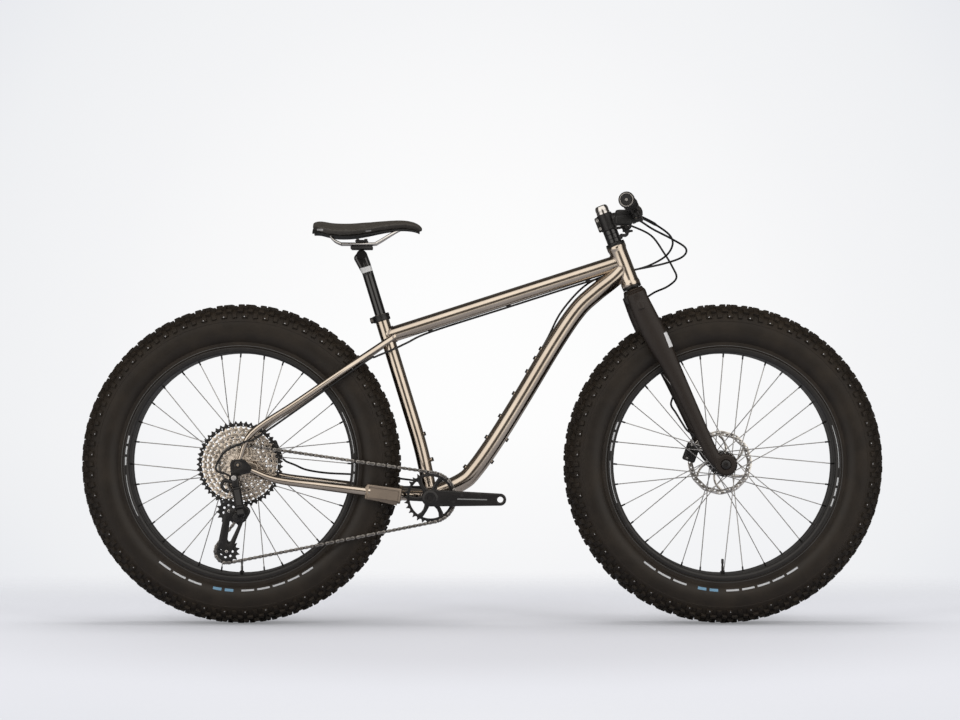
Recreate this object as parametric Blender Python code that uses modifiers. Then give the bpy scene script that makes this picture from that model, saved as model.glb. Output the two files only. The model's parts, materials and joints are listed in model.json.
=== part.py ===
"""Fat tire bike, built from the separate pieces that it comes apart into.

Units are metres. +X is the way the bike rides, +Y is its left side and +Z is up. The origin lies on the
ground, in the middle plane, half way between the axles. The drive side faces -Y.
"""
import math

import bmesh
import bpy
from mathutils import Matrix, Quaternion, Vector

# Fits
FIT = 0.0003  # gap between pieces that touch on the real bike
WELD = 0.00001  # vertices nearer than this are one vertex

# Wheels
WHEELBASE = 1.184
TYRE_RADIUS = 0.393
TYRE_WIDTH = 0.126
TYRE_WALL = 0.004
TYRE_SQUARENESS = 2.5  # 2 is a round section, more is a flatter one
TYRE_STEPS = 28
CROWN_STRIP = 0.030  # flat middle row of knobs
KNOB_HEIGHT = 0.005
KNOB_SLOPE = 0.003
BEAD_RADIUS = 0.2795
BEAD_LIFT = 0.002  # how far the bead stands over the rim's edge
RIM_RADIUS = 0.2855
RIM_INNER_RADIUS = 0.271
RIM_WIDTH = 0.100
RIM_FLANGE = 0.0025
RIM_WELL = 0.0035
RIM_STEPS = 24
VALVE_RADIUS = 0.003
VALVE_LENGTH = 0.036
SPOKES_A_SIDE = 16
SPOKE_RADIUS = 0.0011
SPOKE_CROSS_ANGLE = math.radians(67.5)
SPOKE_RIM_OFFSET = 0.024
SPOKE_LAP = 0.0003  # crossing spokes lie this far to each side of their common cone
SPOKE_SPIN = 0.3  # turns the edges of crossing spokes apart
FLANGE_RADIUS = 0.031
FLANGE_THICKNESS = 0.0035
SPOKE_CIRCLE_RADIUS = 0.0275
FRONT_HUB_WIDTH = 0.150
FRONT_FLANGE_LEFT = 0.046
FRONT_FLANGE_RIGHT = 0.056
FRONT_AXLE_RADIUS = 0.0075
REAR_HUB_WIDTH = 0.197
REAR_FLANGE_LEFT = 0.062
REAR_FLANGE_RIGHT = 0.046
REAR_AXLE_RADIUS = 0.006
HUB_BODY_RADIUS = 0.016
HUB_END_RADIUS = 0.0125
ROTOR_RADIUS = 0.080
ROTOR_THICKNESS = 0.0020
ROTOR_BAND = 0.014
ROTOR_INSET = 0.0115  # from the end of the hub to the rotor's middle
ROTOR_ARMS = 6
ROTOR_ARM_WIDTH = 0.008

# Frame
CHAINSTAY_RUN = 0.466  # rear axle to bottom bracket, along the ground
BRACKET_DROP = 0.080
BRACKET_WIDTH = 0.100
BRACKET_RADIUS = 0.0225
HEAD_ANGLE = math.radians(68.8)
FORK_OFFSET = 0.051
FORK_LENGTH = 0.481  # front axle to crown race, along the steering axis
HEAD_TUBE_LENGTH = 0.105
HEAD_TUBE_RADIUS = 0.022
CUP_HEIGHT = 0.0085
CUP_RADIUS = 0.0240
STEERER_RADIUS = 0.0143
STEERER_BORE = 0.0175  # inside of the head tube
BRACKET_BORE = 0.0205
CUP_DEPTH = 0.009
SPINDLE_RADIUS = 0.015
HANGER_BORE = 0.0052
TOP_TUBE_RADIUS = 0.019
DOWN_TUBE_RADIUS = 0.022
# Each bend of the down tube, from head tube to bottom bracket: its share of the straight line between
# them, and how far it lies below that line.
DOWN_TUBE_BENDS = (
    (0.00, 0.0000),
    (0.05, -0.0023),
    (0.13, -0.0140),
    (0.21, -0.0202),
    (0.34, -0.0105),
    (0.56, 0.0155),
    (0.72, 0.0326),
    (0.84, 0.0400),
    (0.90, 0.0347),
    (1.00, 0.0000),
)
DOWN_TUBE_REACH = -0.0045  # down tube's start over the head tube's middle
SEAT_ANGLE = math.radians(73.0)
SEAT_TUBE_RISE = 0.447
SEAT_TUBE_SHIFT = 0.0117  # how far ahead of the bottom bracket the upper seat tube points
SEAT_TUBE_BEND = 0.120  # height of its bend over the bottom bracket
SEAT_TUBE_RADIUS = 0.017
SEAT_BORE_DEPTH = 0.210
SEAT_POST_RADIUS = 0.0136
COLLAR_HEIGHT = 0.017
COLLAR_WALL = 0.0035
TOP_TUBE_DROP = 0.056  # top tube's middle below the end of the seat tube
TOP_TUBE_REACH = 0.012  # top tube's end over the head tube's middle
# Chainstay bends, from the bottom bracket back: share of the way from rear axle to bottom bracket,
# distance from the middle plane, height over the line between them, radius.
CHAINSTAY_BENDS = (
    (0.990, 0.028, 0.0000, 0.0125),
    (0.865, 0.055, -0.0060, 0.0125),
    (0.785, 0.0750, -0.0105, 0.0120),
    (0.650, 0.0815, -0.0120, 0.0120),
    (0.412, 0.0890, -0.0170, 0.0105),
    (0.197, 0.102, -0.0200, 0.0085),
    (0.070, 0.1033, -0.0080, 0.0070),
)
YOKE_SIZE = (0.084, 0.012, 0.038)
YOKE_SHARE = 0.748
YOKE_SIDE = 0.0765
YOKE_TOE = math.radians(8)
YOKE_SLOPE = math.radians(8)
# Seat stay bends, from the top down: share of the straight run, distance from the middle plane.
SEAT_STAY_BENDS = (
    (0.00, 0.0235),
    (0.10, 0.0400),
    (0.25, 0.0660),
    (0.38, 0.0800),
    (0.69, 0.0920),
    (1.00, 0.1030),
)
SEAT_STAY_START = 0.020  # ahead of the seat tube's middle
SEAT_STAY_BEND_AHEAD = 0.034  # its lower bend, from the rear axle
SEAT_STAY_BEND_RISE = 0.077
STAY_RADIUS = 0.0078
STAY_END_RADIUS = 0.0043
BRIDGE_SHARE = 0.16
BRIDGE_RADIUS = 0.006
DROPOUT_THICKNESS = 0.009
DROPOUT_RADIUS = 0.0155
TONGUE_SIZE = (0.034, 0.009, 0.030)
TONGUE_PLACE = (0.026, -0.006)
HANGER_PLACE = (-0.008, -0.031)  # derailleur bolt, from the rear axle
HANGER_RADIUS = 0.0115
BOSS_RADIUS = 0.0045
BOSS_HEIGHT = 0.0025
BOSS_SHARES_ABOVE = (0.419, 0.470, 0.555, 0.642, 0.727, 0.852)
BOSS_SHARES_BELOW = (0.698, 0.785)
BOSS_RISES = (0.085, 0.148)  # seat tube bosses, over the bottom bracket
GUIDE_SHARES = (0.175, 0.507, 0.845)  # hose guides under the top tube
GUIDE_SIZE = (0.012, 0.014, 0.008)

# Drive
CHAIN_PITCH = 0.0127
CHAIN_LINE = 0.0735  # chain's middle from the bike's middle plane
CHAIN_HALF_HEIGHT = 0.004
CHAIN_PLATE_INSIDE = 0.00135
CHAIN_PLATE = 0.0011
CHAIN_PIN_STEP = 8  # links between the pins that are modelled
TOOTH_HEIGHT = 0.0035
RING_TEETH = 30
RING_THICKNESS = 0.0020
RING_BAND = 0.009
COG_TEETH = (10, 12, 14, 16, 18, 21, 24, 28, 33, 39, 45, 51)
COG_PITCH = 0.00365
COG_THICKNESS = 0.0016
COG_IN_USE = 6
FREEHUB_RADIUS = 0.0165
PULLEY_TEETH = 14
PULLEY_HOLE = 0.0035
CRANK_LENGTH = 0.1695
CRANK_ANGLE = math.radians(-1.35)
CRANK_SIDE = 0.105
CRANK_THICKNESS = 0.014
CRANK_BOSS_RADIUS = 0.020
CRANK_TIP_RADIUS = 0.0145
PEDAL_HOLE_RADIUS = 0.0072

# Derailleur, by points measured from the rear axle
LINK_TOP = Vector((-0.002, -0.116, -0.059))
LINK_RUN = Vector((0.010, -0.0213, -0.0440))
LINK_TRAVEL = Vector((0, 0.9, -0.436))
LINK_SIZE = (0.018, 0.005, 0.008)
LINK_SPREAD = 0.012
CLUTCH_RADIUS = 0.0135
CAGE_PIVOT = (0.002, -0.125)
GUIDE_PULLEY = (-0.024, -0.113)
TENSION_PULLEY = (-0.030, -0.2115)
CAGE_PLATE = 0.0018
CAGE_HALF_GAP = 0.0040

# Fork and cockpit
# Fork leg bends, from the crown down: share of the fork's length, how far ahead of the steering axis,
# half the leg's width as seen from the side.
FORK_LEG_BENDS = (
    (0.975, -0.0030, 0.0240),
    (0.842, 0.0000, 0.0280),
    (0.705, 0.0065, 0.0285),
    (0.537, 0.0150, 0.0215),
    (0.245, 0.0237, 0.0175),
    (0.063, 0.0300, 0.0165),
    (0.000, 0.0450, 0.0120),
)
FORK_LEG_SIDE = 0.0812
FORK_LEG_FLATNESS = 0.45  # its thickness as a share of its width
FORK_END_RADIUS = 0.027
FORK_END_THICKNESS = 0.013
CROWN_SIZE = (0.050, 0.178, 0.036)
SPACER_HEIGHT = 0.033
SPACER_RADIUS = 0.018
STEM_CLAMP_HEIGHT = 0.042
STEM_CLAMP_RADIUS = 0.0195
STEM_LENGTH = 0.0695
STEM_DROP = 0.0045
STEM_FACE_WIDTH = 0.046
STEM_FACE_RADIUS = 0.0215
CAP_HEIGHT = 0.022
CAP_RADIUS = 0.0165
BAR_CLAMP_RADIUS = 0.0159
BAR_RADIUS = 0.0111
# Handlebar bends on one side: distance from the middle plane, ahead, rise, radius.
BAR_BENDS = (
    (0.000, 0.0000, 0.0000, BAR_CLAMP_RADIUS),
    (0.038, 0.0000, 0.0000, BAR_CLAMP_RADIUS),
    (0.085, -0.0015, 0.0012, 0.0135),
    (0.130, -0.0065, 0.0030, BAR_RADIUS),
    (0.390, -0.0410, 0.0060, BAR_RADIUS),
)
GRIP_LENGTH = 0.132
GRIP_RADIUS = 0.0155
GRIP_FLANGE_RADIUS = 0.019
LEVER_DROP_ANGLE = math.radians(56)
LEVER_CLAMP_SIDE = 0.236
LEVER_BODY_REACH = 0.026
LEVER_BODY_RADIUS = 0.010
LEVER_PIVOT_OUT = 0.018
LEVER_PIVOT_REACH = 0.0415
LEVER_BLADE_RADIUS = 0.0048
SHIFTER_SIDE = 0.196
SHIFTER_SIZE = (0.044, 0.038, 0.026)
SHIFTER_PLACE = (-0.022, -0.033)  # from the bar's middle line, ahead and up
SHIFTER_HUB_RADIUS = 0.006
SHIFTER_HUB_HEIGHT = 0.0075

# Seat
POST_STICKS_OUT = 0.1565
POST_INSERTION = 0.150
POST_HEAD_RADIUS = 0.0125
POST_HEAD_WIDTH = 0.034
CRADLE_SIZE = (0.054, 0.052, 0.010)
RAIL_RADIUS = 0.0035
RAIL_SIDE = 0.022
RAIL_HEIGHT = 0.0235  # rail's middle over the end of the seat post
# One rail, from its back end to the nose: ahead of the post's end, side, over the clamped stretch.
RAIL_BENDS = (
    (-0.0730, 0.034, 0.0125),
    (-0.0660, 0.032, 0.0065),
    (-0.0520, 0.026, 0.0008),
    (-0.0420, 0.022, 0.0000),
    (0.0260, 0.022, 0.0000),
    (0.0400, 0.021, 0.0028),
    (0.0700, 0.016, 0.0150),
    (0.0880, 0.010, 0.0205),
    (0.0950, 0.000, 0.0222),
)
# Sections of the saddle, from its back: ahead of the post's end, half width, height, droop of its edge.
SADDLE_SECTIONS = (
    (-0.120, 0.046, 0.066, 0.012),
    (-0.102, 0.067, 0.070, 0.016),
    (-0.068, 0.0735, 0.064, 0.018),
    (-0.026, 0.062, 0.0615, 0.018),
    (0.014, 0.042, 0.066, 0.020),
    (0.054, 0.029, 0.071, 0.018),
    (0.094, 0.023, 0.0735, 0.017),
    (0.130, 0.018, 0.0665, 0.016),
    (0.151, 0.010, 0.0540, 0.012),
)
SADDLE_ACROSS = 8
PAD_THICKNESS = 0.011
SHELL_TOP = PAD_THICKNESS + 2 * FIT
SHELL_THICKNESS = 0.003

# Brakes and hoses
CALIPER_SIZE = (0.032, 0.024, 0.048)
FRONT_CALIPER_ANGLE = math.radians(160)
REAR_CALIPER_ANGLE = math.radians(22)
CALIPER_REACH = 0.076
CALIPER_LUG = (0.020, 0.008, 0.030)
FRONT_CALIPER_LEAN = Vector((0.002, 0.0065, 0))
REAR_CALIPER_LEAN = Vector((0, 0.010, -0.020))
PORT_RADIUS = 0.0042
PORT_HEIGHT = 0.006
HOSE_RADIUS = 0.0025
HOSE_BESIDE_TUBE = (0.0194, 0.0166)  # out from the down tube's middle line, and to its left
# The free loop of the shift housing ahead of the head tube, from the shifter to the top tube.
SHIFT_LOOP = (
    (0.372, -0.165, 0.983),
    (0.412, -0.120, 0.963),
    (0.462, -0.070, 0.942),
    (0.500, -0.020, 0.922),
    (0.495, 0.025, 0.903),
    (0.450, 0.043, 0.887),
    (0.379, 0.032, 0.872),
    (0.322, 0.029, 0.861),
    (0.285, 0.021, 0.8465),
)
# From the last guide under the top tube to the derailleur.
SHIFT_TAIL = (
    (-0.185, -0.014, 0.690),
    (-0.222, -0.030, 0.672),
    (-0.262, -0.052, 0.655),
    (-0.294, -0.069, 0.637),
    (-0.530, -0.1040, 0.4700),
    (-0.572, -0.1160, 0.4500),
    (-0.618, -0.1170, 0.4280),
    (-0.640, -0.114, 0.400),
    (-0.642, -0.116, 0.380),
)
BRAKE_LOOP = (
    (0.415, -0.130, 0.975),
    (0.455, -0.070, 0.953),
    (0.468, -0.015, 0.932),
    (0.455, 0.030, 0.906),
    (0.417, 0.047, 0.884),
    (0.379, 0.046, 0.872),
    (0.335, 0.041, 0.850),
    (0.298, 0.033, 0.828),
)
DOWN_TUBE_STRETCH = (0.18, 0.26, 0.34, 0.46, 0.58, 0.68, 0.76, 0.82)
# From the down tube, over the left chainstay, to the rear caliper.
BRAKE_TAIL = (
    (-0.058, 0.032, 0.393),
    (-0.100, 0.040, 0.372),
    (-0.140, 0.040, 0.370),
    (-0.200, 0.066, 0.362),
    (-0.260, 0.084, 0.361),
    (-0.321, 0.088, 0.3645),
    (-0.390, 0.0915, 0.368),
    (-0.440, 0.0935, 0.392),
    (-0.466, 0.0910, 0.422),
    (-0.484, 0.0880, 0.4345),
)
FRONT_BRAKE_LOOP = (
    (0.424, 0.120, 0.962),
    (0.455, 0.085, 0.915),
    (0.474, 0.066, 0.880),
    (0.484, 0.068, 0.853),
    (0.463, 0.086, 0.832),
    (0.425, 0.1010, 0.814),
    (0.393, 0.1035, 0.782),
)
LEG_STRETCH = (0.78, 0.70, 0.60, 0.50, 0.42)
# From the fork leg to the front caliper: height along the steering axis, ahead of it, left.
FRONT_BRAKE_TAIL = (
    (0.178, -0.009, 0.084),
    (0.155, -0.006, 0.072),
    (0.125, -0.001, 0.065),
    (0.104, 0.004, 0.0636),
)


def axle(end):
    """The middle of the front (+1) or rear (-1) axle."""
    return Vector((end * WHEELBASE / 2, 0, TYRE_RADIUS))


FRONT_AXLE = axle(1)
REAR_AXLE = axle(-1)
LEFT = Vector((0, 1, 0))
BRACKET = REAR_AXLE + Vector((CHAINSTAY_RUN, 0, -BRACKET_DROP))
STEER_UP = Vector((-math.cos(HEAD_ANGLE), 0, math.sin(HEAD_ANGLE)))
STEER_AHEAD = Vector((math.sin(HEAD_ANGLE), 0, math.cos(HEAD_ANGLE)))
STEER_FOOT = FRONT_AXLE - FORK_OFFSET * STEER_AHEAD
SEAT_UP = Vector((-math.cos(SEAT_ANGLE), 0, math.sin(SEAT_ANGLE)))
SEAT_AHEAD = Vector((math.sin(SEAT_ANGLE), 0, math.cos(SEAT_ANGLE)))
SEAT_FOOT = BRACKET + Vector((SEAT_TUBE_SHIFT, 0, 0))
SEAT_TOP = SEAT_FOOT + SEAT_UP * SEAT_TUBE_RISE / math.sin(SEAT_ANGLE)


def on_steerer(height, ahead=0.0, left=0.0):
    """A point by its height along the steering axis, and how far ahead and left of the axis it is."""
    return STEER_FOOT + height * STEER_UP + ahead * STEER_AHEAD + left * LEFT


def on_seat_tube(height, ahead=0.0, left=0.0):
    """A point by its height along the upper seat tube, measured from the tube's end."""
    return SEAT_TOP + height * SEAT_UP + ahead * SEAT_AHEAD + left * LEFT


def paint(name, colour, roughness, metallic):
    """A material with one colour."""
    made = bpy.data.materials.new(name)
    made.use_nodes = True
    surface = made.node_tree.nodes["Principled BSDF"]
    surface.inputs["Base Color"].default_value = (*colour, 1)
    surface.inputs["Roughness"].default_value = roughness
    surface.inputs["Metallic"].default_value = metallic
    return made


for startup_object in list(bpy.data.objects):
    bpy.data.objects.remove(startup_object, do_unlink=True)
BIKE = bpy.data.collections.new("fat_tire_bike")
bpy.context.scene.collection.children.link(BIKE)

TITANIUM = paint("titanium", (0.55, 0.51, 0.46), 0.28, 1.0)
CARBON = paint("carbon", (0.022, 0.020, 0.020), 0.30, 0.0)
BLACK_METAL = paint("black_metal", (0.030, 0.028, 0.027), 0.38, 0.6)
SILVER = paint("silver", (0.62, 0.62, 0.62), 0.25, 1.0)
STEEL = paint("steel", (0.50, 0.50, 0.49), 0.30, 1.0)
TYRE_RUBBER = paint("tyre_rubber", (0.025, 0.024, 0.023), 0.80, 0.0)
GRIP_RUBBER = paint("grip_rubber", (0.018, 0.018, 0.018), 0.85, 0.0)
BLACK_PLASTIC = paint("black_plastic", (0.025, 0.025, 0.025), 0.50, 0.0)
COVER = paint("saddle_cover", (0.030, 0.028, 0.027), 0.60, 0.0)


def make_object(name, data, colour):
    """Links a mesh or curve into the bike's collection."""
    data.materials.clear()
    data.materials.append(colour)
    obj = bpy.data.objects.new(name, data)
    BIKE.objects.link(obj)
    return obj


def round_off(obj):
    """Shades a round piece smooth and keeps its sharp edges."""
    obj.data.shade_smooth()
    obj.data.set_sharp_from_angle(angle=math.radians(40))
    return obj


def along(direction, spin=0.0):
    """The turn that takes local Z to a direction, after a spin about local Z."""
    return Vector((0, 0, 1)).rotation_difference(direction) @ Quaternion((0, 0, 1), spin)


def from_bmesh(name, work, colour, place, turn=None):
    """Makes an object of a bmesh and frees it."""
    mesh = bpy.data.meshes.new(name)
    work.to_mesh(mesh)
    work.free()
    obj = make_object(name, mesh, colour)
    obj.location = place
    obj.rotation_mode = "QUATERNION"
    if turn is not None:
        obj.rotation_quaternion = turn
    return obj


def cylinder(name, start, end, radius, colour, sides=16, end_radius=None, spin=0.0):
    """A cylinder from start to end, or a cone if it ends on another radius."""
    work = bmesh.new()
    bmesh.ops.create_cone(
        work,
        cap_ends=True,
        segments=sides,
        radius1=radius,
        radius2=radius if end_radius is None else end_radius,
        depth=(end - start).length,
    )
    obj = from_bmesh(name, work, colour, (start + end) / 2, along(end - start, spin))
    return round_off(obj)


def block(name, centre, size, colour, turn=None, bevel=0.0):
    """A box by its middle and its size, with rounded edges if bevel is over 0."""
    work = bmesh.new()
    bmesh.ops.create_cube(work, size=1.0)
    bmesh.ops.scale(work, vec=size, verts=work.verts)
    obj = from_bmesh(name, work, colour, centre, turn)
    if bevel:
        rounding = obj.modifiers.new("Rounding", "BEVEL")
        rounding.width = bevel
        rounding.segments = 1
    return obj


def plate(name, outlines, middle, thickness, colour):
    """A flat piece across Y: a 2D curve in X and Z, whose later outlines are holes."""
    curve = bpy.data.curves.new(name, "CURVE")
    curve.dimensions = "2D"
    curve.fill_mode = "BOTH"
    curve.extrude = thickness / 2
    for outline in outlines:
        spline = curve.splines.new("POLY")
        spline.points.add(len(outline) - 1)
        for point, (x, z) in zip(spline.points, outline):
            point.co = (x, z, 0, 1)
        spline.use_cyclic_u = True
    obj = make_object(name, curve, colour)
    obj.location = (0, middle, 0)
    obj.rotation_mode = "QUATERNION"
    obj.rotation_quaternion = Quaternion((1, 0, 0), math.pi / 2)
    return obj


def tube(name, points, radius, colour, rounds=2):
    """A round bar along points. Radius is one value, or one for each point; it has 4 + 2 rounds sides."""
    radii = [radius] * len(points) if isinstance(radius, float) else list(radius)
    curve = bpy.data.curves.new(name, "CURVE")
    curve.dimensions = "3D"
    curve.bevel_depth = max(radii)
    curve.bevel_resolution = rounds
    curve.use_fill_caps = True
    curve.twist_mode = "MINIMUM"
    spline = curve.splines.new("POLY")
    spline.points.add(len(points) - 1)
    for point, place, wide in zip(spline.points, points, radii):
        point.co = (*place, 1)
        point.radius = wide / curve.bevel_depth
    spline.use_smooth = True
    return make_object(name, curve, colour)


def turned(name, profile, centre, direction, colour, steps, ring=True, spin=0.0):
    """Turns (radius, distance along direction) pairs about a line through centre.

    The profile runs down its outer side. A ring's profile is closed, and any other starts and ends on
    the line.
    """
    mesh = bpy.data.meshes.new(name)
    count = len(profile)
    edges = [(index, index + 1) for index in range(count - 1)]
    if ring:
        edges.append((count - 1, 0))
    mesh.from_pydata([(radius, 0, height) for radius, height in profile], edges, [])
    obj = make_object(name, mesh, colour)
    obj.location = centre
    obj.rotation_mode = "QUATERNION"
    obj.rotation_quaternion = along(direction, spin)
    screw = obj.modifiers.new("Turn", "SCREW")
    screw.angle = 2 * math.pi
    screw.steps = steps
    screw.render_steps = steps
    screw.use_merge_vertices = True
    screw.merge_threshold = WELD
    screw.use_smooth_shade = False
    return obj


def as_mesh(obj):
    """Replaces a curve, or a mesh with modifiers, by the closed mesh that it evaluates to."""
    graph = bpy.context.evaluated_depsgraph_get()
    mesh = bpy.data.meshes.new_from_object(obj.evaluated_get(graph))
    work = bmesh.new()
    work.from_mesh(mesh)
    bmesh.ops.remove_doubles(work, verts=work.verts, dist=WELD)
    bmesh.ops.dissolve_degenerate(work, edges=work.edges, dist=WELD)
    bmesh.ops.recalc_face_normals(work, faces=work.faces)
    work.to_mesh(mesh)
    work.free()
    name = obj.name
    place = obj.matrix_world.copy()
    bpy.data.objects.remove(obj, do_unlink=True)
    made = bpy.data.objects.new(name, mesh)
    BIKE.objects.link(made)
    made.matrix_world = place
    return made


def combine(base, others, operation="UNION"):
    """Joins the others to base, or cuts them from it, and removes them."""
    base = as_mesh(base)
    for other in others:
        tool = as_mesh(other)
        step = base.modifiers.new(operation, "BOOLEAN")
        step.operation = operation
        step.object = tool
        base = as_mesh(base)
        bpy.data.objects.remove(tool, do_unlink=True)
    return round_off(base)


def smooth_route(points, parts):
    """Points of a smooth curve that passes through the given ones, with parts steps between each two."""
    spots = [Vector(point) for point in points]
    ends = [2 * spots[0] - spots[1], *spots, 2 * spots[-1] - spots[-2]]
    route = []
    for before, start, end, after in zip(ends, ends[1:], ends[2:], ends[3:]):
        for step in range(parts):
            t = step / parts
            route.append(
                0.5
                * (
                    2 * start
                    + (end - before) * t
                    + (2 * before - 5 * start + 4 * end - after) * t * t
                    + (3 * start - before - 3 * end + after) * t * t * t
                )
            )
    route.append(spots[-1])
    return route


def circle(centre, radius, sides, start=0.0):
    """An outline of (x, z) pairs round a centre."""
    turns = [start + 2 * math.pi * index / sides for index in range(sides)]
    return [(centre.x + radius * math.cos(turn), centre.z + radius * math.sin(turn)) for turn in turns]


def hang_on(pivot_name, place, objects):
    """Parents objects to an empty on their joint's axis, without moving them."""
    pivot = bpy.data.objects.new(pivot_name, None)
    BIKE.objects.link(pivot)
    pivot.location = place
    pivot.empty_display_size = 0.03
    for obj in objects:
        obj.parent = pivot
        obj.matrix_parent_inverse = Matrix.Translation(-Vector(place))
    return pivot


def tyre_section(inset):
    """Half of the tyre's section, as (radius, side) pairs from the rim up, that far inside its surface."""
    crown = (TYRE_RADIUS - KNOB_HEIGHT) / math.cos(math.pi / TYRE_STEPS)
    middle = (RIM_RADIUS + crown) / 2 - 0.003
    wide = TYRE_WIDTH / 2 - inset
    tall = crown - middle - inset
    power = 2 / TYRE_SQUARENESS
    section = []
    for turn in (-0.66, 0.0, 0.45, 0.84):
        rise = math.copysign(abs(math.sin(turn)) ** power, turn)
        section.append((middle + tall * rise, wide * math.cos(turn) ** power))
    section.append((crown - inset, CROWN_STRIP / 2))
    return section


def tyre(name, centre):
    """A tyre casing open at the rim, with every second block of three tread rows raised."""
    bead = RIM_WIDTH / 2 - RIM_FLANGE - FIT
    flats = math.cos(math.pi / TYRE_STEPS)
    foot = (BEAD_RADIUS + FIT) / flats
    outer = [(foot, bead), ((RIM_RADIUS + BEAD_LIFT) / flats, bead), *tyre_section(0.0)]
    inner = [(foot, bead - TYRE_WALL), *tyre_section(TYRE_WALL)[1:4]]
    half = outer + [(radius, -side) for radius, side in reversed(outer)]
    half += [(radius, -side) for radius, side in inner]
    half += list(reversed(inner))
    spin = math.pi / TYRE_STEPS
    obj = as_mesh(turned(name, half, centre, LEFT, TYRE_RUBBER, TYRE_STEPS, spin=spin))
    work = bmesh.new()
    work.from_mesh(obj.data)
    work.normal_update()
    blocks = []
    for face in work.faces:
        middle = face.calc_center_median()
        reach = math.hypot(middle.x, middle.y)
        slot = round(TYRE_STEPS * math.atan2(middle.y, middle.x) / (2 * math.pi) - 0.5) % 2
        outward = face.normal.dot(Vector((middle.x, middle.y, 0))) > 0
        on_crown = abs(middle.z) < CROWN_STRIP / 4
        on_shoulder = TYRE_WIDTH * 0.39 < abs(middle.z) and reach > TYRE_RADIUS * 0.9
        if outward and reach > TYRE_RADIUS * 0.9:
            if (on_crown and slot == TREAD_PHASE) or (on_shoulder and slot != TREAD_PHASE):
                blocks.append(face)
    bmesh.ops.inset_individual(work, faces=blocks, thickness=KNOB_SLOPE, depth=KNOB_HEIGHT)
    work.to_mesh(obj.data)
    work.free()
    return obj


TREAD_PHASE = (TYRE_STEPS // 4 - 1) % 2  # puts a crown block at the bottom of the wheel


def rim(name, centre):
    """A drop-centre rim with its valve at the bottom."""
    edge = RIM_WIDTH / 2
    half = [
        (RIM_RADIUS, edge),
        (RIM_INNER_RADIUS + RIM_WELL, edge),
        (RIM_INNER_RADIUS, edge - 0.006),
    ]
    inside = [
        (BEAD_RADIUS - RIM_WELL, RIM_WIDTH * 0.30),
        (BEAD_RADIUS, RIM_WIDTH * 0.34),
        (BEAD_RADIUS, edge - RIM_FLANGE),
        (RIM_RADIUS, edge - RIM_FLANGE),
    ]
    outer_run = list(reversed(inside)) + [(radius, -side) for radius, side in inside]
    inner_run = [(radius, -side) for radius, side in half] + list(reversed(half))
    spin = math.pi / RIM_STEPS
    hoop = turned(name, outer_run + inner_run, centre, LEFT, BLACK_METAL, RIM_STEPS, spin=spin)
    valve_top = centre - Vector((0, 0, RIM_INNER_RADIUS + RIM_WELL / 2))
    valve_end = valve_top + Vector((0, 0, VALVE_LENGTH))
    valve = cylinder(name + "_valve", valve_top, valve_end, VALVE_RADIUS, SILVER, sides=8)
    return combine(hoop, [valve])


def spokes(name, centre, side, flange):
    """Sixteen spokes of one side, crossing three others each and touching where they cross."""
    start_radius = FLANGE_RADIUS + SPOKE_RADIUS + FIT
    end_radius = RIM_INNER_RADIUS * math.cos(math.pi / RIM_STEPS) - SPOKE_RADIUS / 2 - FIT
    bars = []
    for index in range(SPOKES_A_SIDE):
        lean = 1 if index % 2 else -1
        turn = 2 * math.pi * (index + 0.25 * (1 + side)) / SPOKES_A_SIDE
        seat = turn - lean * SPOKE_CROSS_ANGLE
        rim_spot = Vector((end_radius * math.cos(turn), side * SPOKE_RIM_OFFSET, end_radius * math.sin(turn)))
        hub_spot = Vector(
            (SPOKE_CIRCLE_RADIUS * math.cos(seat), side * flange, SPOKE_CIRCLE_RADIUS * math.sin(seat))
        )
        run = rim_spot - hub_spot
        flat_run = Vector((run.x, 0, run.z))
        flat_hub = Vector((hub_spot.x, 0, hub_spot.z))
        half_b = flat_hub.dot(flat_run) / flat_run.dot(flat_run)
        rest = (flat_hub.dot(flat_hub) - start_radius**2) / flat_run.dot(flat_run)
        share = -half_b + math.sqrt(half_b * half_b - rest)
        lap = Vector((0, lean * SPOKE_LAP, 0))
        start = centre + hub_spot + share * run + lap
        end = centre + rim_spot + lap
        bar_name = f"{name}_{index}"
        bars.append(
            cylinder(bar_name, start, end, SPOKE_RADIUS, STEEL, sides=4, spin=SPOKE_SPIN * lean)
        )
    bars[0].name = name
    return combine(bars[0], bars[1:])


def hub_shell(name, centre, width, left_flange, right_flange, bore):
    """A turned hub with two spoke flanges, bored for its through axle."""
    end = width / 2 - FIT
    half_flange = FLANGE_THICKNESS / 2
    profile = [(bore, end), (HUB_END_RADIUS, end), (HUB_END_RADIUS, left_flange + 0.006)]
    for flange in (left_flange, -right_flange):
        outward = [(HUB_BODY_RADIUS + 0.003, flange + half_flange + 0.001)]
        profile += outward
        profile += [
            (FLANGE_RADIUS, flange + half_flange),
            (FLANGE_RADIUS, flange - half_flange),
            (HUB_BODY_RADIUS + 0.003, flange - half_flange - 0.001),
        ]
    profile += [(HUB_END_RADIUS, -right_flange - 0.006), (HUB_END_RADIUS, -end), (bore, -end)]
    return turned(name, profile, centre, LEFT, BLACK_METAL, 14)


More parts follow.
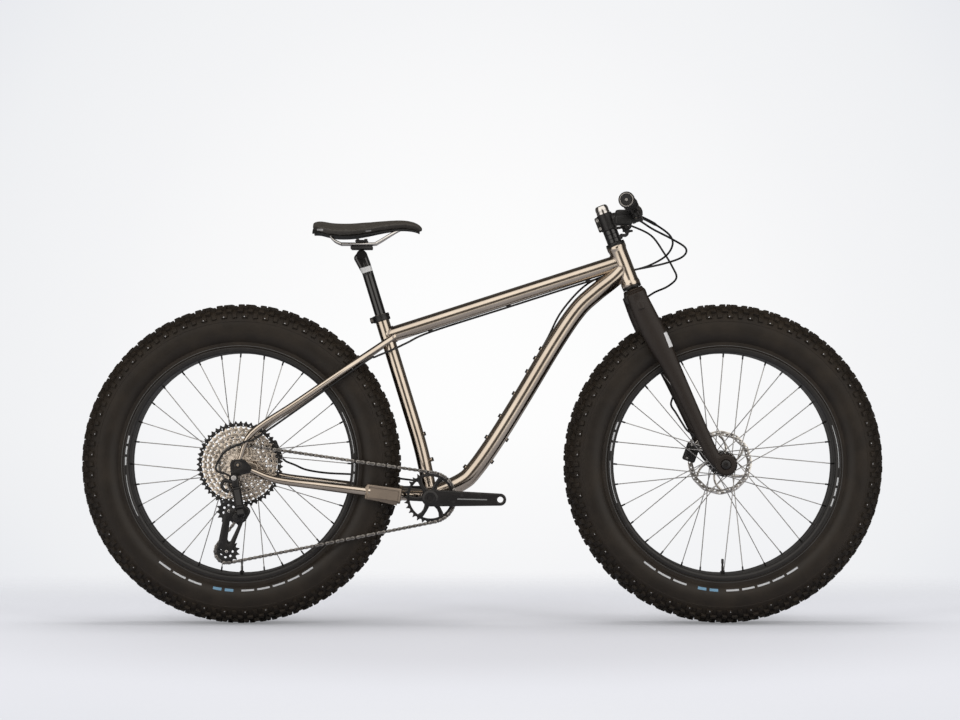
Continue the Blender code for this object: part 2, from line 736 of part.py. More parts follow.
def rotor(name, centre, middle):
    """A brake disc: a braking band held to a centre ring by slanted arms."""
    inner = ROTOR_RADIUS - ROTOR_BAND
    core = HUB_END_RADIUS + 0.010
    half = ROTOR_THICKNESS / 2
    seat = centre + middle * LEFT
    band = turned(
        name,
        [(ROTOR_RADIUS, half), (ROTOR_RADIUS, -half), (inner, -half), (inner, half)],
        seat,
        LEFT,
        STEEL,
        20,
    )
    bore = (HUB_END_RADIUS + FIT) / math.cos(math.pi / 12)
    ring = turned(
        name + "_core",
        [(core, half), (core, -half), (bore, -half), (bore, half)],
        seat,
        LEFT,
        STEEL,
        12,
    )
    arms = []
    for index in range(ROTOR_ARMS):
        turn = 2 * math.pi * index / ROTOR_ARMS
        start = Vector((math.cos(turn), 0, math.sin(turn))) * (core - 0.003)
        end = Vector((math.cos(turn + 0.5), 0, math.sin(turn + 0.5))) * (inner + 0.004)
        size = ((end - start).length, ROTOR_THICKNESS * 0.9, ROTOR_ARM_WIDTH)
        slope = math.atan2(end.z - start.z, end.x - start.x)
        arms.append(
            block(
                f"{name}_arm_{index}",
                seat + (start + end) / 2,
                size,
                STEEL,
                Quaternion((0, 1, 0), -slope),
            )
        )
    return combine(band, [ring, *arms])


def through_axle(name, centre, width, radius, grip):
    """A through axle with a low head at each end."""
    reach = width / 2 + grip
    profile = [
        (0, reach + 0.004),
        (radius * 1.3, reach + 0.004),
        (radius * 1.5, reach + FIT),
        (radius - FIT, reach + FIT),
        (radius - FIT, -reach - FIT),
        (radius * 1.5, -reach - FIT),
        (radius * 1.3, -reach - 0.003),
        (0, -reach - 0.003),
    ]
    return turned(name, profile, centre, LEFT, BLACK_METAL, 16, ring=False)


def wheel(end_name, centre, width, left_flange, right_flange, bore):
    """All the pieces of one wheel."""
    return [
        tyre(end_name + "_tyre", centre),
        rim(end_name + "_rim", centre),
        spokes(end_name + "_spokes_left", centre, 1, left_flange),
        spokes(end_name + "_spokes_right", centre, -1, right_flange),
        hub_shell(end_name + "_hub_shell", centre, width, left_flange, right_flange, bore),
        rotor(end_name + "_rotor", centre, width / 2 - ROTOR_INSET),
    ]


HEAD_FOOT = FORK_LENGTH + CUP_HEIGHT + FIT
HEAD_MIDDLE = HEAD_FOOT + HEAD_TUBE_LENGTH / 2
HEAD_END = HEAD_FOOT + HEAD_TUBE_LENGTH
DOWN_TUBE_START = on_steerer(HEAD_MIDDLE + DOWN_TUBE_REACH)
TOP_TUBE_START = on_seat_tube(-TOP_TUBE_DROP)
TOP_TUBE_END = on_steerer(HEAD_MIDDLE + TOP_TUBE_REACH)
REAR_DROPOUT_SIDE = REAR_HUB_WIDTH / 2 + DROPOUT_THICKNESS / 2
HANGER = REAR_AXLE + Vector((HANGER_PLACE[0], -REAR_DROPOUT_SIDE, HANGER_PLACE[1]))


def down_tube_route():
    """The middle line of the down tube."""
    chord = BRACKET - DOWN_TUBE_START
    below = Vector((-chord.z, 0, chord.x)).normalized()
    spots = [DOWN_TUBE_START + share * chord + drop * below for share, drop in DOWN_TUBE_BENDS]
    return smooth_route(spots, 2)


def beside_down_tube(share, above):
    """A point on the down tube's upper (+1) or lower (-1) side, and the way out from the tube there."""
    route = down_tube_route()
    chord = BRACKET - DOWN_TUBE_START
    shares = [(spot - DOWN_TUBE_START).dot(chord) / chord.dot(chord) for spot in route]
    index = next(index for index, reached in enumerate(shares) if reached >= share)
    part = (share - shares[index - 1]) / (shares[index] - shares[index - 1])
    run = route[index] - route[index - 1]
    out = above * Vector((run.z, 0, -run.x)).normalized()
    return route[index - 1] + part * run + out * DOWN_TUBE_RADIUS, out


def boss(name, seat, out):
    """A threaded boss that stands on a tube."""
    return cylinder(name, seat - 0.004 * out, seat + BOSS_HEIGHT * out, BOSS_RADIUS, TITANIUM, sides=6)


def frame_bosses():
    """Bottle cage bosses on the down and seat tubes."""
    made = []
    for share in BOSS_SHARES_ABOVE:
        made.append(boss("boss", *beside_down_tube(share, 1)))
    for share in BOSS_SHARES_BELOW:
        made.append(boss("boss", *beside_down_tube(share, -1)))
    for rise in BOSS_RISES:
        height = (rise - SEAT_TUBE_RISE) / math.sin(SEAT_ANGLE)
        made.append(boss("boss", on_seat_tube(height, SEAT_TUBE_RADIUS - 0.001), SEAT_AHEAD))
    return made


def guide_spot(share):
    """The underside of the top tube, by the share of its length."""
    run = TOP_TUBE_END - TOP_TUBE_START
    down = Vector((run.z, 0, -run.x)).normalized()
    return TOP_TUBE_START + share * run + TOP_TUBE_RADIUS * down, run.normalized(), down


def frame_guides():
    """Hose guides under the top tube."""
    made = []
    for share in GUIDE_SHARES:
        seat, run, _ = guide_spot(share)
        turn = Vector((1, 0, 0)).rotation_difference(run)
        made.append(block("guide", seat, GUIDE_SIZE, TITANIUM, turn))
    return made


def stay_side(side):
    """Chainstay, seat stay, yoke plate and dropout of one side."""
    chain_run = BRACKET - REAR_AXLE
    chain_spots = []
    chain_radii = []
    for share, out, rise, radius in CHAINSTAY_BENDS:
        chain_spots.append(REAR_AXLE + share * chain_run + Vector((0, side * out, rise)))
        chain_radii += [radius, radius]
    chainstay = tube("chainstay", smooth_route(chain_spots, 2), chain_radii[:-1], TITANIUM, 1)
    seat_start = TOP_TUBE_START + Vector((SEAT_STAY_START, 0, 0))
    seat_run = REAR_AXLE + Vector((SEAT_STAY_BEND_AHEAD, 0, SEAT_STAY_BEND_RISE)) - seat_start
    seat_spots = [
        seat_start + share * seat_run + Vector((0, side * out, 0)) for share, out in SEAT_STAY_BENDS
    ]
    seat_spots.append(REAR_AXLE + Vector((0.004, side * REAR_DROPOUT_SIDE, 0.012)))
    seat_route = smooth_route(seat_spots, 2)
    seat_radii = [STAY_RADIUS] * (len(seat_route) - 2) + [STAY_RADIUS * 0.8, STAY_END_RADIUS]
    seat_stay = tube("seat_stay", seat_route, seat_radii, TITANIUM, 1)
    yoke_place = REAR_AXLE + YOKE_SHARE * chain_run + Vector((0, side * YOKE_SIDE, -0.011))
    yoke_turn = Quaternion((0, 0, 1), -side * YOKE_TOE) @ Quaternion((0, 1, 0), YOKE_SLOPE)
    yoke = block("yoke", yoke_place, YOKE_SIZE, TITANIUM, yoke_turn, bevel=0.003)
    seat = REAR_AXLE + side * REAR_DROPOUT_SIDE * LEFT
    half = DROPOUT_THICKNESS / 2 * LEFT
    disc = cylinder("dropout", seat - half, seat + half, DROPOUT_RADIUS, TITANIUM, sides=20)
    tongue_place = seat + Vector((TONGUE_PLACE[0], 0, TONGUE_PLACE[1]))
    tongue = block("tongue", tongue_place, TONGUE_SIZE, TITANIUM, bevel=0.003)
    return [chainstay, seat_stay, yoke, disc, tongue]


def frame():
    """The welded frame, bored for steerer, seat post, bottom bracket and rear axle."""
    head = cylinder(
        "frame", on_steerer(HEAD_FOOT), on_steerer(HEAD_END), HEAD_TUBE_RADIUS, TITANIUM, sides=16
    )
    down_tube = tube("down_tube", down_tube_route(), DOWN_TUBE_RADIUS, TITANIUM, 3)
    top_tube = cylinder("top_tube", TOP_TUBE_START, TOP_TUBE_END, TOP_TUBE_RADIUS, TITANIUM, sides=12)
    bend = on_seat_tube((SEAT_TUBE_BEND - SEAT_TUBE_RISE) / math.sin(SEAT_ANGLE))
    seat_tube = tube("seat_tube", [BRACKET, bend, SEAT_TOP], SEAT_TUBE_RADIUS, TITANIUM, 4)
    shell_half = BRACKET_WIDTH / 2 * LEFT
    shell = cylinder(
        "shell", BRACKET - shell_half, BRACKET + shell_half, BRACKET_RADIUS, TITANIUM, sides=16
    )
    stay_run = REAR_AXLE + Vector((SEAT_STAY_BEND_AHEAD, 0, SEAT_STAY_BEND_RISE)) - TOP_TUBE_START
    bridge_spot = TOP_TUBE_START + Vector((SEAT_STAY_START, 0, 0)) + BRIDGE_SHARE * stay_run
    bridge_half = 0.050 * LEFT
    bridge = cylinder(
        "bridge", bridge_spot - bridge_half, bridge_spot + bridge_half, BRIDGE_RADIUS, TITANIUM, sides=8
    )
    joined = [down_tube, top_tube, seat_tube, shell, *stay_side(1), *stay_side(-1), bridge]
    welded = combine(head, joined + frame_bosses() + frame_guides())
    steerer_bore = cylinder(
        "bore", on_steerer(HEAD_FOOT - 0.02), on_steerer(HEAD_END + 0.02), STEERER_BORE, TITANIUM
    )
    post_bore = cylinder(
        "bore",
        on_seat_tube(-SEAT_BORE_DEPTH),
        on_seat_tube(0.02),
        (SEAT_POST_RADIUS + FIT) / math.cos(math.pi / 16),
        TITANIUM,
    )
    bracket_bore = cylinder(
        "bore", BRACKET - 1.5 * shell_half, BRACKET + 1.5 * shell_half, BRACKET_BORE, TITANIUM
    )
    axle_half = (REAR_HUB_WIDTH / 2 + 0.03) * LEFT
    axle_bore = cylinder(
        "bore", REAR_AXLE - axle_half, REAR_AXLE + axle_half, REAR_AXLE_RADIUS + FIT, TITANIUM
    )
    return combine(welded, [steerer_bore, post_bore, bracket_bore, axle_bore], "DIFFERENCE")


def seat_collar():
    """The clamp ring round the top of the seat tube, with its bolt behind."""
    inner = (SEAT_TUBE_RADIUS + FIT) / math.cos(math.pi / 20)
    outer = inner + COLLAR_WALL
    low = -COLLAR_HEIGHT
    profile = [(outer, 0), (outer, low), (inner, low), (inner, 0)]
    ring = turned("seat_collar", profile, on_seat_tube(-FIT), SEAT_UP, BLACK_METAL, 20)
    turn = along(SEAT_UP)
    lug_spot = on_seat_tube(low / 2, -outer - 0.002)
    lug = block("lug", lug_spot, (0.009, 0.018, COLLAR_HEIGHT * 0.8), BLACK_METAL, turn, bevel=0.002)
    bolt_spot = on_seat_tube(low / 2, -outer - 0.003)
    bolt = cylinder("bolt", bolt_spot - 0.013 * LEFT, bolt_spot + 0.013 * LEFT, 0.0035, STEEL, sides=8)
    return combine(ring, [lug, bolt])


def ring_between(name, start, end, inner, outer, colour, steps=16):
    """A plain ring from start to end."""
    length = (end - start).length
    profile = [(outer, length), (outer, 0), (inner, 0), (inner, length)]
    return turned(name, profile, start, (end - start).normalized(), colour, steps)


def headset_cups():
    """Lower and upper cups with their bearings, outside the head tube's ends."""
    bore = (STEERER_RADIUS + FIT) / math.cos(math.pi / 16)
    lower = ring_between(
        "headset_lower_cup",
        on_steerer(FORK_LENGTH + FIT),
        on_steerer(HEAD_FOOT - FIT),
        bore,
        CUP_RADIUS,
        BLACK_METAL,
    )
    upper = ring_between(
        "headset_upper_cup",
        on_steerer(HEAD_END + FIT),
        on_steerer(HEAD_END + CUP_HEIGHT),
        bore,
        CUP_RADIUS,
        BLACK_METAL,
    )
    return [lower, upper]


def bracket_cups():
    """Outboard bottom bracket cups with their bearings."""
    made = []
    for name, side in (("bb_cup_left", 1), ("bb_cup_right", -1)):
        start = BRACKET + side * (BRACKET_WIDTH / 2 + FIT) * LEFT
        end = start + side * CUP_DEPTH * LEFT
        bore = (SPINDLE_RADIUS + FIT) / math.cos(math.pi / 16)
        made.append(ring_between(name, start, end, bore, BRACKET_RADIUS, BLACK_METAL))
    return made


def derailleur_hanger():
    """The replaceable plate below the right dropout that carries the derailleur."""
    half = DROPOUT_THICKNESS / 2 * LEFT
    disc = cylinder(
        "derailleur_hanger", HANGER - half, HANGER + half, HANGER_RADIUS, BLACK_METAL, sides=16
    )
    arm_spot = HANGER + Vector((0.003, 0, 0.012))
    arm = block("arm", arm_spot, (0.017, DROPOUT_THICKNESS * 0.98, 0.022), BLACK_METAL)
    whole = combine(disc, [arm])
    seat = REAR_AXLE - REAR_DROPOUT_SIDE * LEFT
    cut = cylinder("cut", seat - 2 * half, seat + 2 * half, DROPOUT_RADIUS + FIT, BLACK_METAL, sides=20)
    hole = cylinder("hole", HANGER - 2 * half, HANGER + 2 * half, HANGER_BORE * 1.03, BLACK_METAL, sides=12)
    return combine(whole, [cut, hole], "DIFFERENCE")


def pitch_radius(teeth):
    """The radius of the chain's line on a wheel with that many teeth."""
    return CHAIN_PITCH / (2 * math.sin(math.pi / teeth))


def toothed(teeth, centre):
    """The outline of a toothed wheel round a centre."""
    pitch = pitch_radius(teeth)
    tip = pitch + TOOTH_HEIGHT * 0.55
    root = pitch - TOOTH_HEIGHT * 0.45
    pattern = ((-0.25, root), (0.25, tip))
    outline = []
    for tooth in range(teeth):
        for share, radius in pattern:
            turn = 2 * math.pi * (tooth + share) / teeth
            outline.append((centre.x + radius * math.cos(turn), centre.z + radius * math.sin(turn)))
    return outline


def hull(circles, sides=20):
    """The outline that a string pulled round some circles takes."""
    spots = sorted({spot for centre, radius in circles for spot in circle(centre, radius, sides)})
    border = []
    for run in (spots, spots[::-1]):
        part = []
        for spot in run:
            while len(part) > 1 and turns_right(part[-2], part[-1], spot):
                part.pop()
            part.append(spot)
        border += part[:-1]
    return border


def turns_right(first, second, third):
    """Whether the way through three (x, z) points turns right, or not at all."""
    ahead = (second[0] - first[0]) * (third[1] - first[1])
    across = (second[1] - first[1]) * (third[0] - first[0])
    return ahead - across <= 1e-9


def crank(name, side, forward):
    """A crank arm, seated 0.3 mm off the chainring's core or the end of the spindle."""
    tip = BRACKET + forward * CRANK_LENGTH * Vector((math.cos(CRANK_ANGLE), 0, math.sin(CRANK_ANGLE)))
    outline = hull([(BRACKET, CRANK_BOSS_RADIUS), (tip, CRANK_TIP_RADIUS)], 16)
    hole = circle(tip, PEDAL_HOLE_RADIUS, 12)
    arm = plate(name, [outline, hole], side * CRANK_SIDE, CRANK_THICKNESS, CARBON)
    if side > 0:
        return round_off(as_mesh(arm))
    end = CRANK_SIDE - CRANK_THICKNESS / 2
    spindle = cylinder(
        "spindle",
        BRACKET - (end + 0.002) * LEFT,
        BRACKET + (end - FIT) * LEFT,
        SPINDLE_RADIUS,
        SILVER,
    )
    return combine(arm, [spindle])


def chainring():
    """A direct mount chainring: toothed band, core round the spindle, and four arms."""
    inner = pitch_radius(RING_TEETH) - RING_BAND
    outlines = [toothed(RING_TEETH, BRACKET), circle(BRACKET, inner, 20)]
    band = plate("chainring", outlines, -CHAIN_LINE, RING_THICKNESS, BLACK_METAL)
    bore = (SPINDLE_RADIUS + FIT) / math.cos(math.pi / 16)
    start = BRACKET - (CHAIN_LINE - 0.002) * LEFT
    end = BRACKET - (CRANK_SIDE - CRANK_THICKNESS / 2 - FIT) * LEFT
    core = ring_between("core", start, end, bore, bore + 0.0045, BLACK_METAL)
    arms = []
    for index in range(4):
        turn = math.pi / 4 + index * math.pi / 2
        reach = (bore + 0.003 + inner + 0.003) / 2
        middle = BRACKET + reach * Vector((math.cos(turn), 0, math.sin(turn)))
        middle.y = -CHAIN_LINE - 0.0005
        size = (inner - bore, RING_THICKNESS * 1.6, 0.014)
        arms.append(block("arm", middle, size, BLACK_METAL, Quaternion((0, 1, 0), -turn)))
    return combine(band, [core, *arms])


def cog_side(index):
    """How far right of the middle plane a cog is, counted from the smallest."""
    return CHAIN_LINE + (COG_IN_USE - index) * COG_PITCH


def cassette_cogs():
    """The eleven smaller cogs, joined to their freehub body."""
    low = cog_side(len(COG_TEETH) - 2) - COG_THICKNESS / 2
    high = cog_side(0) + COG_THICKNESS / 2 + 0.0005
    bore = (HUB_END_RADIUS + FIT) / math.cos(math.pi / 16)
    body = ring_between(
        "cassette",
        REAR_AXLE - low * LEFT,
        REAR_AXLE - high * LEFT,
        bore,
        FREEHUB_RADIUS,
        SILVER,
    )
    cogs = []
    for index, teeth in enumerate(COG_TEETH[:-1]):
        outline = circle(REAR_AXLE, pitch_radius(teeth) + TOOTH_HEIGHT / 2, min(teeth, 16))
        hole = circle(REAR_AXLE, (bore + FREEHUB_RADIUS) / 2, 8)
        cogs.append(plate("cog", [outline, hole], -cog_side(index), COG_THICKNESS, SILVER))
    return combine(body, cogs)


def cassette_big_cog():
    """The largest cog with its own carrier."""
    index = len(COG_TEETH) - 1
    bore = (HUB_END_RADIUS + FIT) / math.cos(math.pi / 16)
    side = cog_side(index)
    outlines = [toothed(COG_TEETH[index], REAR_AXLE), circle(REAR_AXLE, bore, 16)]
    cog = plate("cassette_big_cog", outlines, -side, COG_THICKNESS, BLACK_METAL)
    windows = []
    for number in range(6):
        turn = number * math.pi / 3
        spot = REAR_AXLE + 0.067 * Vector((math.cos(turn), 0, math.sin(turn))) - side * LEFT
        half = 0.003 * LEFT
        windows.append(cylinder("window", spot - half, spot + half, 0.022, BLACK_METAL, sides=8))
    return combine(cog, windows, "DIFFERENCE")


def chain_wheels():
    """Centre, radius and sense of each wheel that the chain runs round, in the order of its travel."""
    return (
        (BRACKET, pitch_radius(RING_TEETH), 1),
        (REAR_AXLE, pitch_radius(COG_TEETH[COG_IN_USE]), 1),
        (from_rear_axle(GUIDE_PULLEY), pitch_radius(PULLEY_TEETH), -1),
        (from_rear_axle(TENSION_PULLEY), pitch_radius(PULLEY_TEETH), 1),
    )


def from_rear_axle(spot):
    """A point in the chain's plane by how far ahead of and over the rear axle it is."""
    return REAR_AXLE + Vector((spot[0], -CHAIN_LINE, spot[1]))


def chain_runs():
    """The direction, as an angle, of each straight run, from each wheel to the next."""
    wheels = chain_wheels()
    turns = []
    for (start, first, sense), (end, second, other) in zip(wheels, wheels[1:] + wheels[:1]):
        run = end - start
        flat = math.hypot(run.x, run.z)
        turns.append(math.atan2(run.z, run.x) + math.asin((sense * first - other * second) / flat))
    return turns


def chain_outline(offset):
    """The chain's loop, moved outward by an offset."""
    wheels = chain_wheels()
    turns = chain_runs()
    outline = []
    for index, (centre, radius, sense) in enumerate(wheels):
        arrive = turns[index - 1]
        leave = turns[index]
        sweep = (sense * (leave - arrive)) % (2 * math.pi)
        steps = max(3, round(sweep / math.radians(22)))
        for step in range(steps + 1):
            heading = arrive + sense * sweep * step / steps
            reach = sense * radius + offset
            outline.append((centre.x + reach * math.sin(heading), centre.z - reach * math.cos(heading)))
    return outline


def chain():
    """The chain's two rows of side plates, joined by pins on its free runs."""
    outlines = [chain_outline(CHAIN_HALF_HEIGHT), chain_outline(-CHAIN_HALF_HEIGHT)]
    shift = CHAIN_PLATE_INSIDE + CHAIN_PLATE / 2
    outer = plate("chain", outlines, -CHAIN_LINE - shift, CHAIN_PLATE, STEEL)
    inner = plate("chain_inner", outlines, -CHAIN_LINE + shift, CHAIN_PLATE, STEEL)
    wheels = chain_wheels()
    turns = chain_runs()
    pins = []
    for index in (0, 3):
        centre, radius, sense = wheels[index]
        after, next_radius, next_sense = wheels[(index + 1) % len(wheels)]
        heading = turns[index]
        side = Vector((math.sin(heading), 0, -math.cos(heading)))
        start = Vector((centre.x, 0, centre.z)) + sense * radius * side
        end = Vector((after.x, 0, after.z)) + next_sense * next_radius * side
        run = end - start
        step = CHAIN_PIN_STEP * CHAIN_PITCH
        for number in range(1, int(run.length / step)):
            spot = start + run.normalized() * number * step - CHAIN_LINE * LEFT
            half = (CHAIN_PLATE_INSIDE + CHAIN_PLATE * 0.7) * LEFT
            pins.append(cylinder("pin", spot - half, spot + half, 0.0022, STEEL, sides=6))
    return combine(outer, [*pins, inner])


def pulley(name, spot):
    """A toothed pulley wheel."""
    centre = from_rear_axle(spot)
    outlines = [toothed(PULLEY_TEETH, centre), circle(centre, PULLEY_HOLE, 10)]
    wheel_plate = plate(name, outlines, -CHAIN_LINE, RING_THICKNESS, BLACK_PLASTIC)
    return round_off(as_mesh(wheel_plate))


def link_axes():
    """Axis, travel and run of the derailleur's links, as unit vectors at right angles."""
    run = LINK_RUN.normalized()
    travel = (LINK_TRAVEL - LINK_TRAVEL.dot(run) * run).normalized()
    return run.cross(travel), travel, run


def link_turn():
    """The turn that lines a box up with the derailleur's links."""
    return Matrix(link_axes()).transposed().to_quaternion()


def derailleur_link(name, shift):
    """One of the two links, round at both ends."""
    axis, travel, _ = link_axes()
    start = REAR_AXLE + LINK_TOP + shift * travel
    end = start + LINK_RUN
    radius = LINK_SIZE[2] / 2
    size = (LINK_SIZE[0], LINK_SIZE[1], LINK_RUN.length)
    bar = block(name, (start + end) / 2, size, BLACK_METAL, link_turn())
    half = LINK_SIZE[0] / 2 * axis
    ends = [
        cylinder("end", spot - half * 0.98, spot + half * 0.98, radius, BLACK_METAL, sides=10)
        for spot in (start, end)
    ]
    return combine(bar, ends)


def derailleur():
    """All the derailleur's pieces, named from the hanger down."""
    axis, travel, run = link_axes()
    top = REAR_AXLE + LINK_TOP
    foot = top + LINK_RUN
    clear = LINK_SIZE[2] / 2 + FIT
    outside = REAR_DROPOUT_SIDE + DROPOUT_THICKNESS / 2 + FIT
    mount = Vector((HANGER.x, -outside, HANGER.z))
    knuckle = cylinder(
        "derailleur_b_knuckle", mount, mount - 0.016 * LEFT, HANGER_RADIUS, BLACK_METAL, sides=16
    )
    bolt = cylinder(
        "bolt", mount + 0.007 * LEFT, mount - 0.010 * LEFT, HANGER_BORE - FIT, STEEL, sides=12
    )
    upper = block("upper", top - (clear + 0.007) * run, (0.019, 0.018, 0.014), BLACK_METAL, link_turn())
    neck_spot = Vector((mount.x + 0.002, -outside - 0.008, mount.z - 0.007))
    neck = block("neck", neck_spot, (0.015, 0.0155, 0.018), BLACK_METAL)
    b_knuckle = combine(knuckle, [bolt, upper, neck])
    outer_link = derailleur_link("derailleur_outer_link", -LINK_SPREAD / 2)
    inner_link = derailleur_link("derailleur_inner_link", LINK_SPREAD / 2)
    pivot = from_rear_axle(CAGE_PIVOT)
    cage_outside = CHAIN_LINE + CAGE_HALF_GAP + CAGE_PLATE
    inner_end = Vector((pivot.x, -cage_outside - FIT, pivot.z))
    outer_end = Vector((pivot.x, foot.y + 0.001, pivot.z))
    p_knuckle = cylinder("derailleur_p_knuckle", inner_end, outer_end, CLUTCH_RADIUS, BLACK_METAL, sides=18)
    lower = block("lower", foot + (clear + 0.008) * run, (0.019, 0.018, 0.016), BLACK_METAL, link_turn())
    p_knuckle = combine(p_knuckle, [lower])
    guide = from_rear_axle(GUIDE_PULLEY)
    tension = from_rear_axle(TENSION_PULLEY)
    shift = CAGE_HALF_GAP + CAGE_PLATE / 2
    outer_outline = hull([(guide, 0.011), (pivot, 0.012), (tension, 0.011)], 14)
    inner_outline = hull([(guide, 0.009), (tension, 0.010)], 14)
    cage = plate("derailleur_cage", [outer_outline], -CHAIN_LINE - shift, CAGE_PLATE, BLACK_METAL)
    inner_plate = plate("inner_plate", [inner_outline], -CHAIN_LINE + shift, CAGE_PLATE, BLACK_METAL)
    bolts = [
        cylinder(
            "bolt",
            spot - (shift + CAGE_PLATE * 0.3) * LEFT,
            spot + (shift + CAGE_PLATE * 0.3) * LEFT,
            PULLEY_HOLE - FIT,
            STEEL,
            sides=8,
        )
        for spot in (guide, tension)
    ]
    cage = combine(cage, [*bolts, inner_plate])
    return b_knuckle, outer_link, inner_link, p_knuckle, cage


SPACER_START = HEAD_END + CUP_HEIGHT + FIT
STEM_FOOT = SPACER_START + SPACER_HEIGHT + FIT
STEM_END = STEM_FOOT + STEM_CLAMP_HEIGHT
STEM_MIDDLE = STEM_FOOT + STEM_CLAMP_HEIGHT / 2
BAR_CENTRE = on_steerer(STEM_MIDDLE - STEM_DROP, STEM_LENGTH)
FORK_END_SIDE = FRONT_HUB_WIDTH / 2 + FORK_END_THICKNESS / 2


def fork_leg(side):
    """One leg: a flattened tapering tube, and the end that holds the axle."""
    spots = []
    radii = []
    for share, ahead, half_width in FORK_LEG_BENDS:
        spot = on_steerer(share * FORK_LENGTH, ahead)
        spots.append(Vector((spot.x, 0, spot.z)))
        radii += [half_width, half_width]
    route = smooth_route(spots, 2)
    radii = [(near + far) / 2 for near, far in zip(radii, radii[1:])]
    leg = tube("leg", route, radii, CARBON, 2)
    leg.location = (0, side * FORK_LEG_SIDE, 0)
    leg.scale = (1, FORK_LEG_FLATNESS, 1)
    seat = FRONT_AXLE + side * FORK_END_SIDE * LEFT
    half = FORK_END_THICKNESS / 2 * LEFT
    return [leg, cylinder("end", seat - half, seat + half, FORK_END_RADIUS, CARBON, sides=20)]


def fork():
    """The one-piece fork: crown, legs, and the steerer that runs up through the head tube."""
    crown_spot = on_steerer(FORK_LENGTH - CROWN_SIZE[2] / 2 - 0.001)
    crown = block("fork", crown_spot, CROWN_SIZE, CARBON, along(STEER_UP), bevel=0.010)
    steerer = cylinder(
        "steerer", on_steerer(FORK_LENGTH - 0.02), on_steerer(STEM_END - 0.003), STEERER_RADIUS, CARBON
    )
    race = cylinder(
        "race", on_steerer(FORK_LENGTH - 0.012), on_steerer(FORK_LENGTH), 0.027, CARBON, 16, CUP_RADIUS
    )
    whole = combine(crown, [steerer, race, *fork_leg(1), *fork_leg(-1)])
    half = (FORK_END_SIDE + 0.02) * LEFT
    hole = cylinder(
        "hole", FRONT_AXLE - half, FRONT_AXLE + half, FRONT_AXLE_RADIUS + FIT, CARBON
    )
    return combine(whole, [hole], "DIFFERENCE")


def stem():
    """The stem and the face plate that clamps the bar to it."""
    bore = (STEERER_RADIUS + FIT) / math.cos(math.pi / 16)
    clamp = ring_between(
        "stem", on_steerer(STEM_FOOT), on_steerer(STEM_END), bore, STEM_CLAMP_RADIUS, BLACK_METAL
    )
    start = on_steerer(STEM_MIDDLE, STEM_CLAMP_RADIUS - 0.003)
    end = on_steerer(STEM_MIDDLE - STEM_DROP, STEM_LENGTH - STEM_FACE_RADIUS + 0.004)
    body = cylinder("body", start, end, 0.0165, BLACK_METAL, sides=12)
    lug_spot = on_steerer(STEM_MIDDLE, -STEM_CLAMP_RADIUS - 0.002)
    lug = block(
        "lug", lug_spot, (0.008, 0.020, STEM_CLAMP_HEIGHT * 0.9), BLACK_METAL, along(STEER_UP)
    )
    faces = []
    for name, keep in (("clamp_half", -1), ("stem_faceplate", 1)):
        half = STEM_FACE_WIDTH / 2 * LEFT
        inner = (BAR_CLAMP_RADIUS + FIT) / math.cos(math.pi / 16)
        ring = ring_between(
            name, BAR_CENTRE - half, BAR_CENTRE + half, inner, STEM_FACE_RADIUS, BLACK_METAL
        )
        cut_spot = BAR_CENTRE - keep * (0.05 - 0.0006) * STEER_AHEAD
        cut = block("cut", cut_spot, (0.1, 0.1, 0.1), BLACK_METAL, along(STEER_UP))
        faces.append(combine(ring, [cut], "DIFFERENCE"))
    return combine(clamp, [body, lug, faces[0]]), faces[1]


def steerer_spacers():
    """Spacers below the stem, and the cap above it."""
    bore = (STEERER_RADIUS + FIT) / math.cos(math.pi / 16)
    start = on_steerer(SPACER_START)
    end = on_steerer(SPACER_START + SPACER_HEIGHT)
    spacers = ring_between("steerer_spacers", start, end, bore, SPACER_RADIUS, BLACK_METAL)
    profile = [
        (0, CAP_HEIGHT),
        (CAP_RADIUS * 0.7, CAP_HEIGHT),
        (CAP_RADIUS, CAP_HEIGHT * 0.7),
        (CAP_RADIUS, 0),
        (0, 0),
    ]
    cap = turned("stem_top_cap", profile, on_steerer(STEM_END + FIT), STEER_UP, SILVER, 16, ring=False)
    return [spacers, cap]


def bar_spots(side):
    """The bends of one side of the handlebar."""
    return [BAR_CENTRE + Vector((ahead, side * out, rise)) for out, ahead, rise, _ in BAR_BENDS]


def handlebar():
    """The handlebar, from its left end to its right end."""
    spots = bar_spots(1)[::-1] + bar_spots(-1)[1:]
    radii = [bend[3] for bend in BAR_BENDS]
    return tube("handlebar", spots, radii[::-1] + radii[1:], BLACK_METAL, 3)


def bar_way(side):
    """The direction of the bar's straight end, outward."""
    spots = bar_spots(side)
    return (spots[-1] - spots[-2]).normalized()


def on_bar(side, out):
    """A point on the middle line of the bar's straight end, by its distance from the middle plane."""
    way = bar_way(side)
    end = bar_spots(side)[-1]
    return end - way * (abs(end.y) - out) / abs(way.y)


def grip(name, side):
    """A closed grip with its lock rings."""
    way = bar_way(side)
    start = bar_spots(side)[-1] - GRIP_LENGTH * way
    end = GRIP_LENGTH + 0.002
    bore = (BAR_RADIUS + FIT) / math.cos(math.pi / 12)
    profile = [
        (0, end),
        (GRIP_FLANGE_RADIUS, end),
        (GRIP_FLANGE_RADIUS, end - 0.012),
        (GRIP_RADIUS, end - 0.0125),
        (GRIP_RADIUS, 0.012),
        (GRIP_RADIUS + 0.002, 0.0115),
        (GRIP_RADIUS + 0.002, 0),
        (bore, 0),
        (bore, GRIP_LENGTH + FIT),
        (0, GRIP_LENGTH + FIT),
    ]
    return turned(name, profile, start, way, GRIP_RUBBER, 12, ring=False)


def lever_ways(side):
    """Outward along the bar, down and ahead from it, and square to both."""
    out = bar_way(side)
    reach = Vector((math.cos(LEVER_DROP_ANGLE), 0, -math.sin(LEVER_DROP_ANGLE)))
    reach = (reach - reach.dot(out) * out).normalized()
    return out, reach, out.cross(reach)


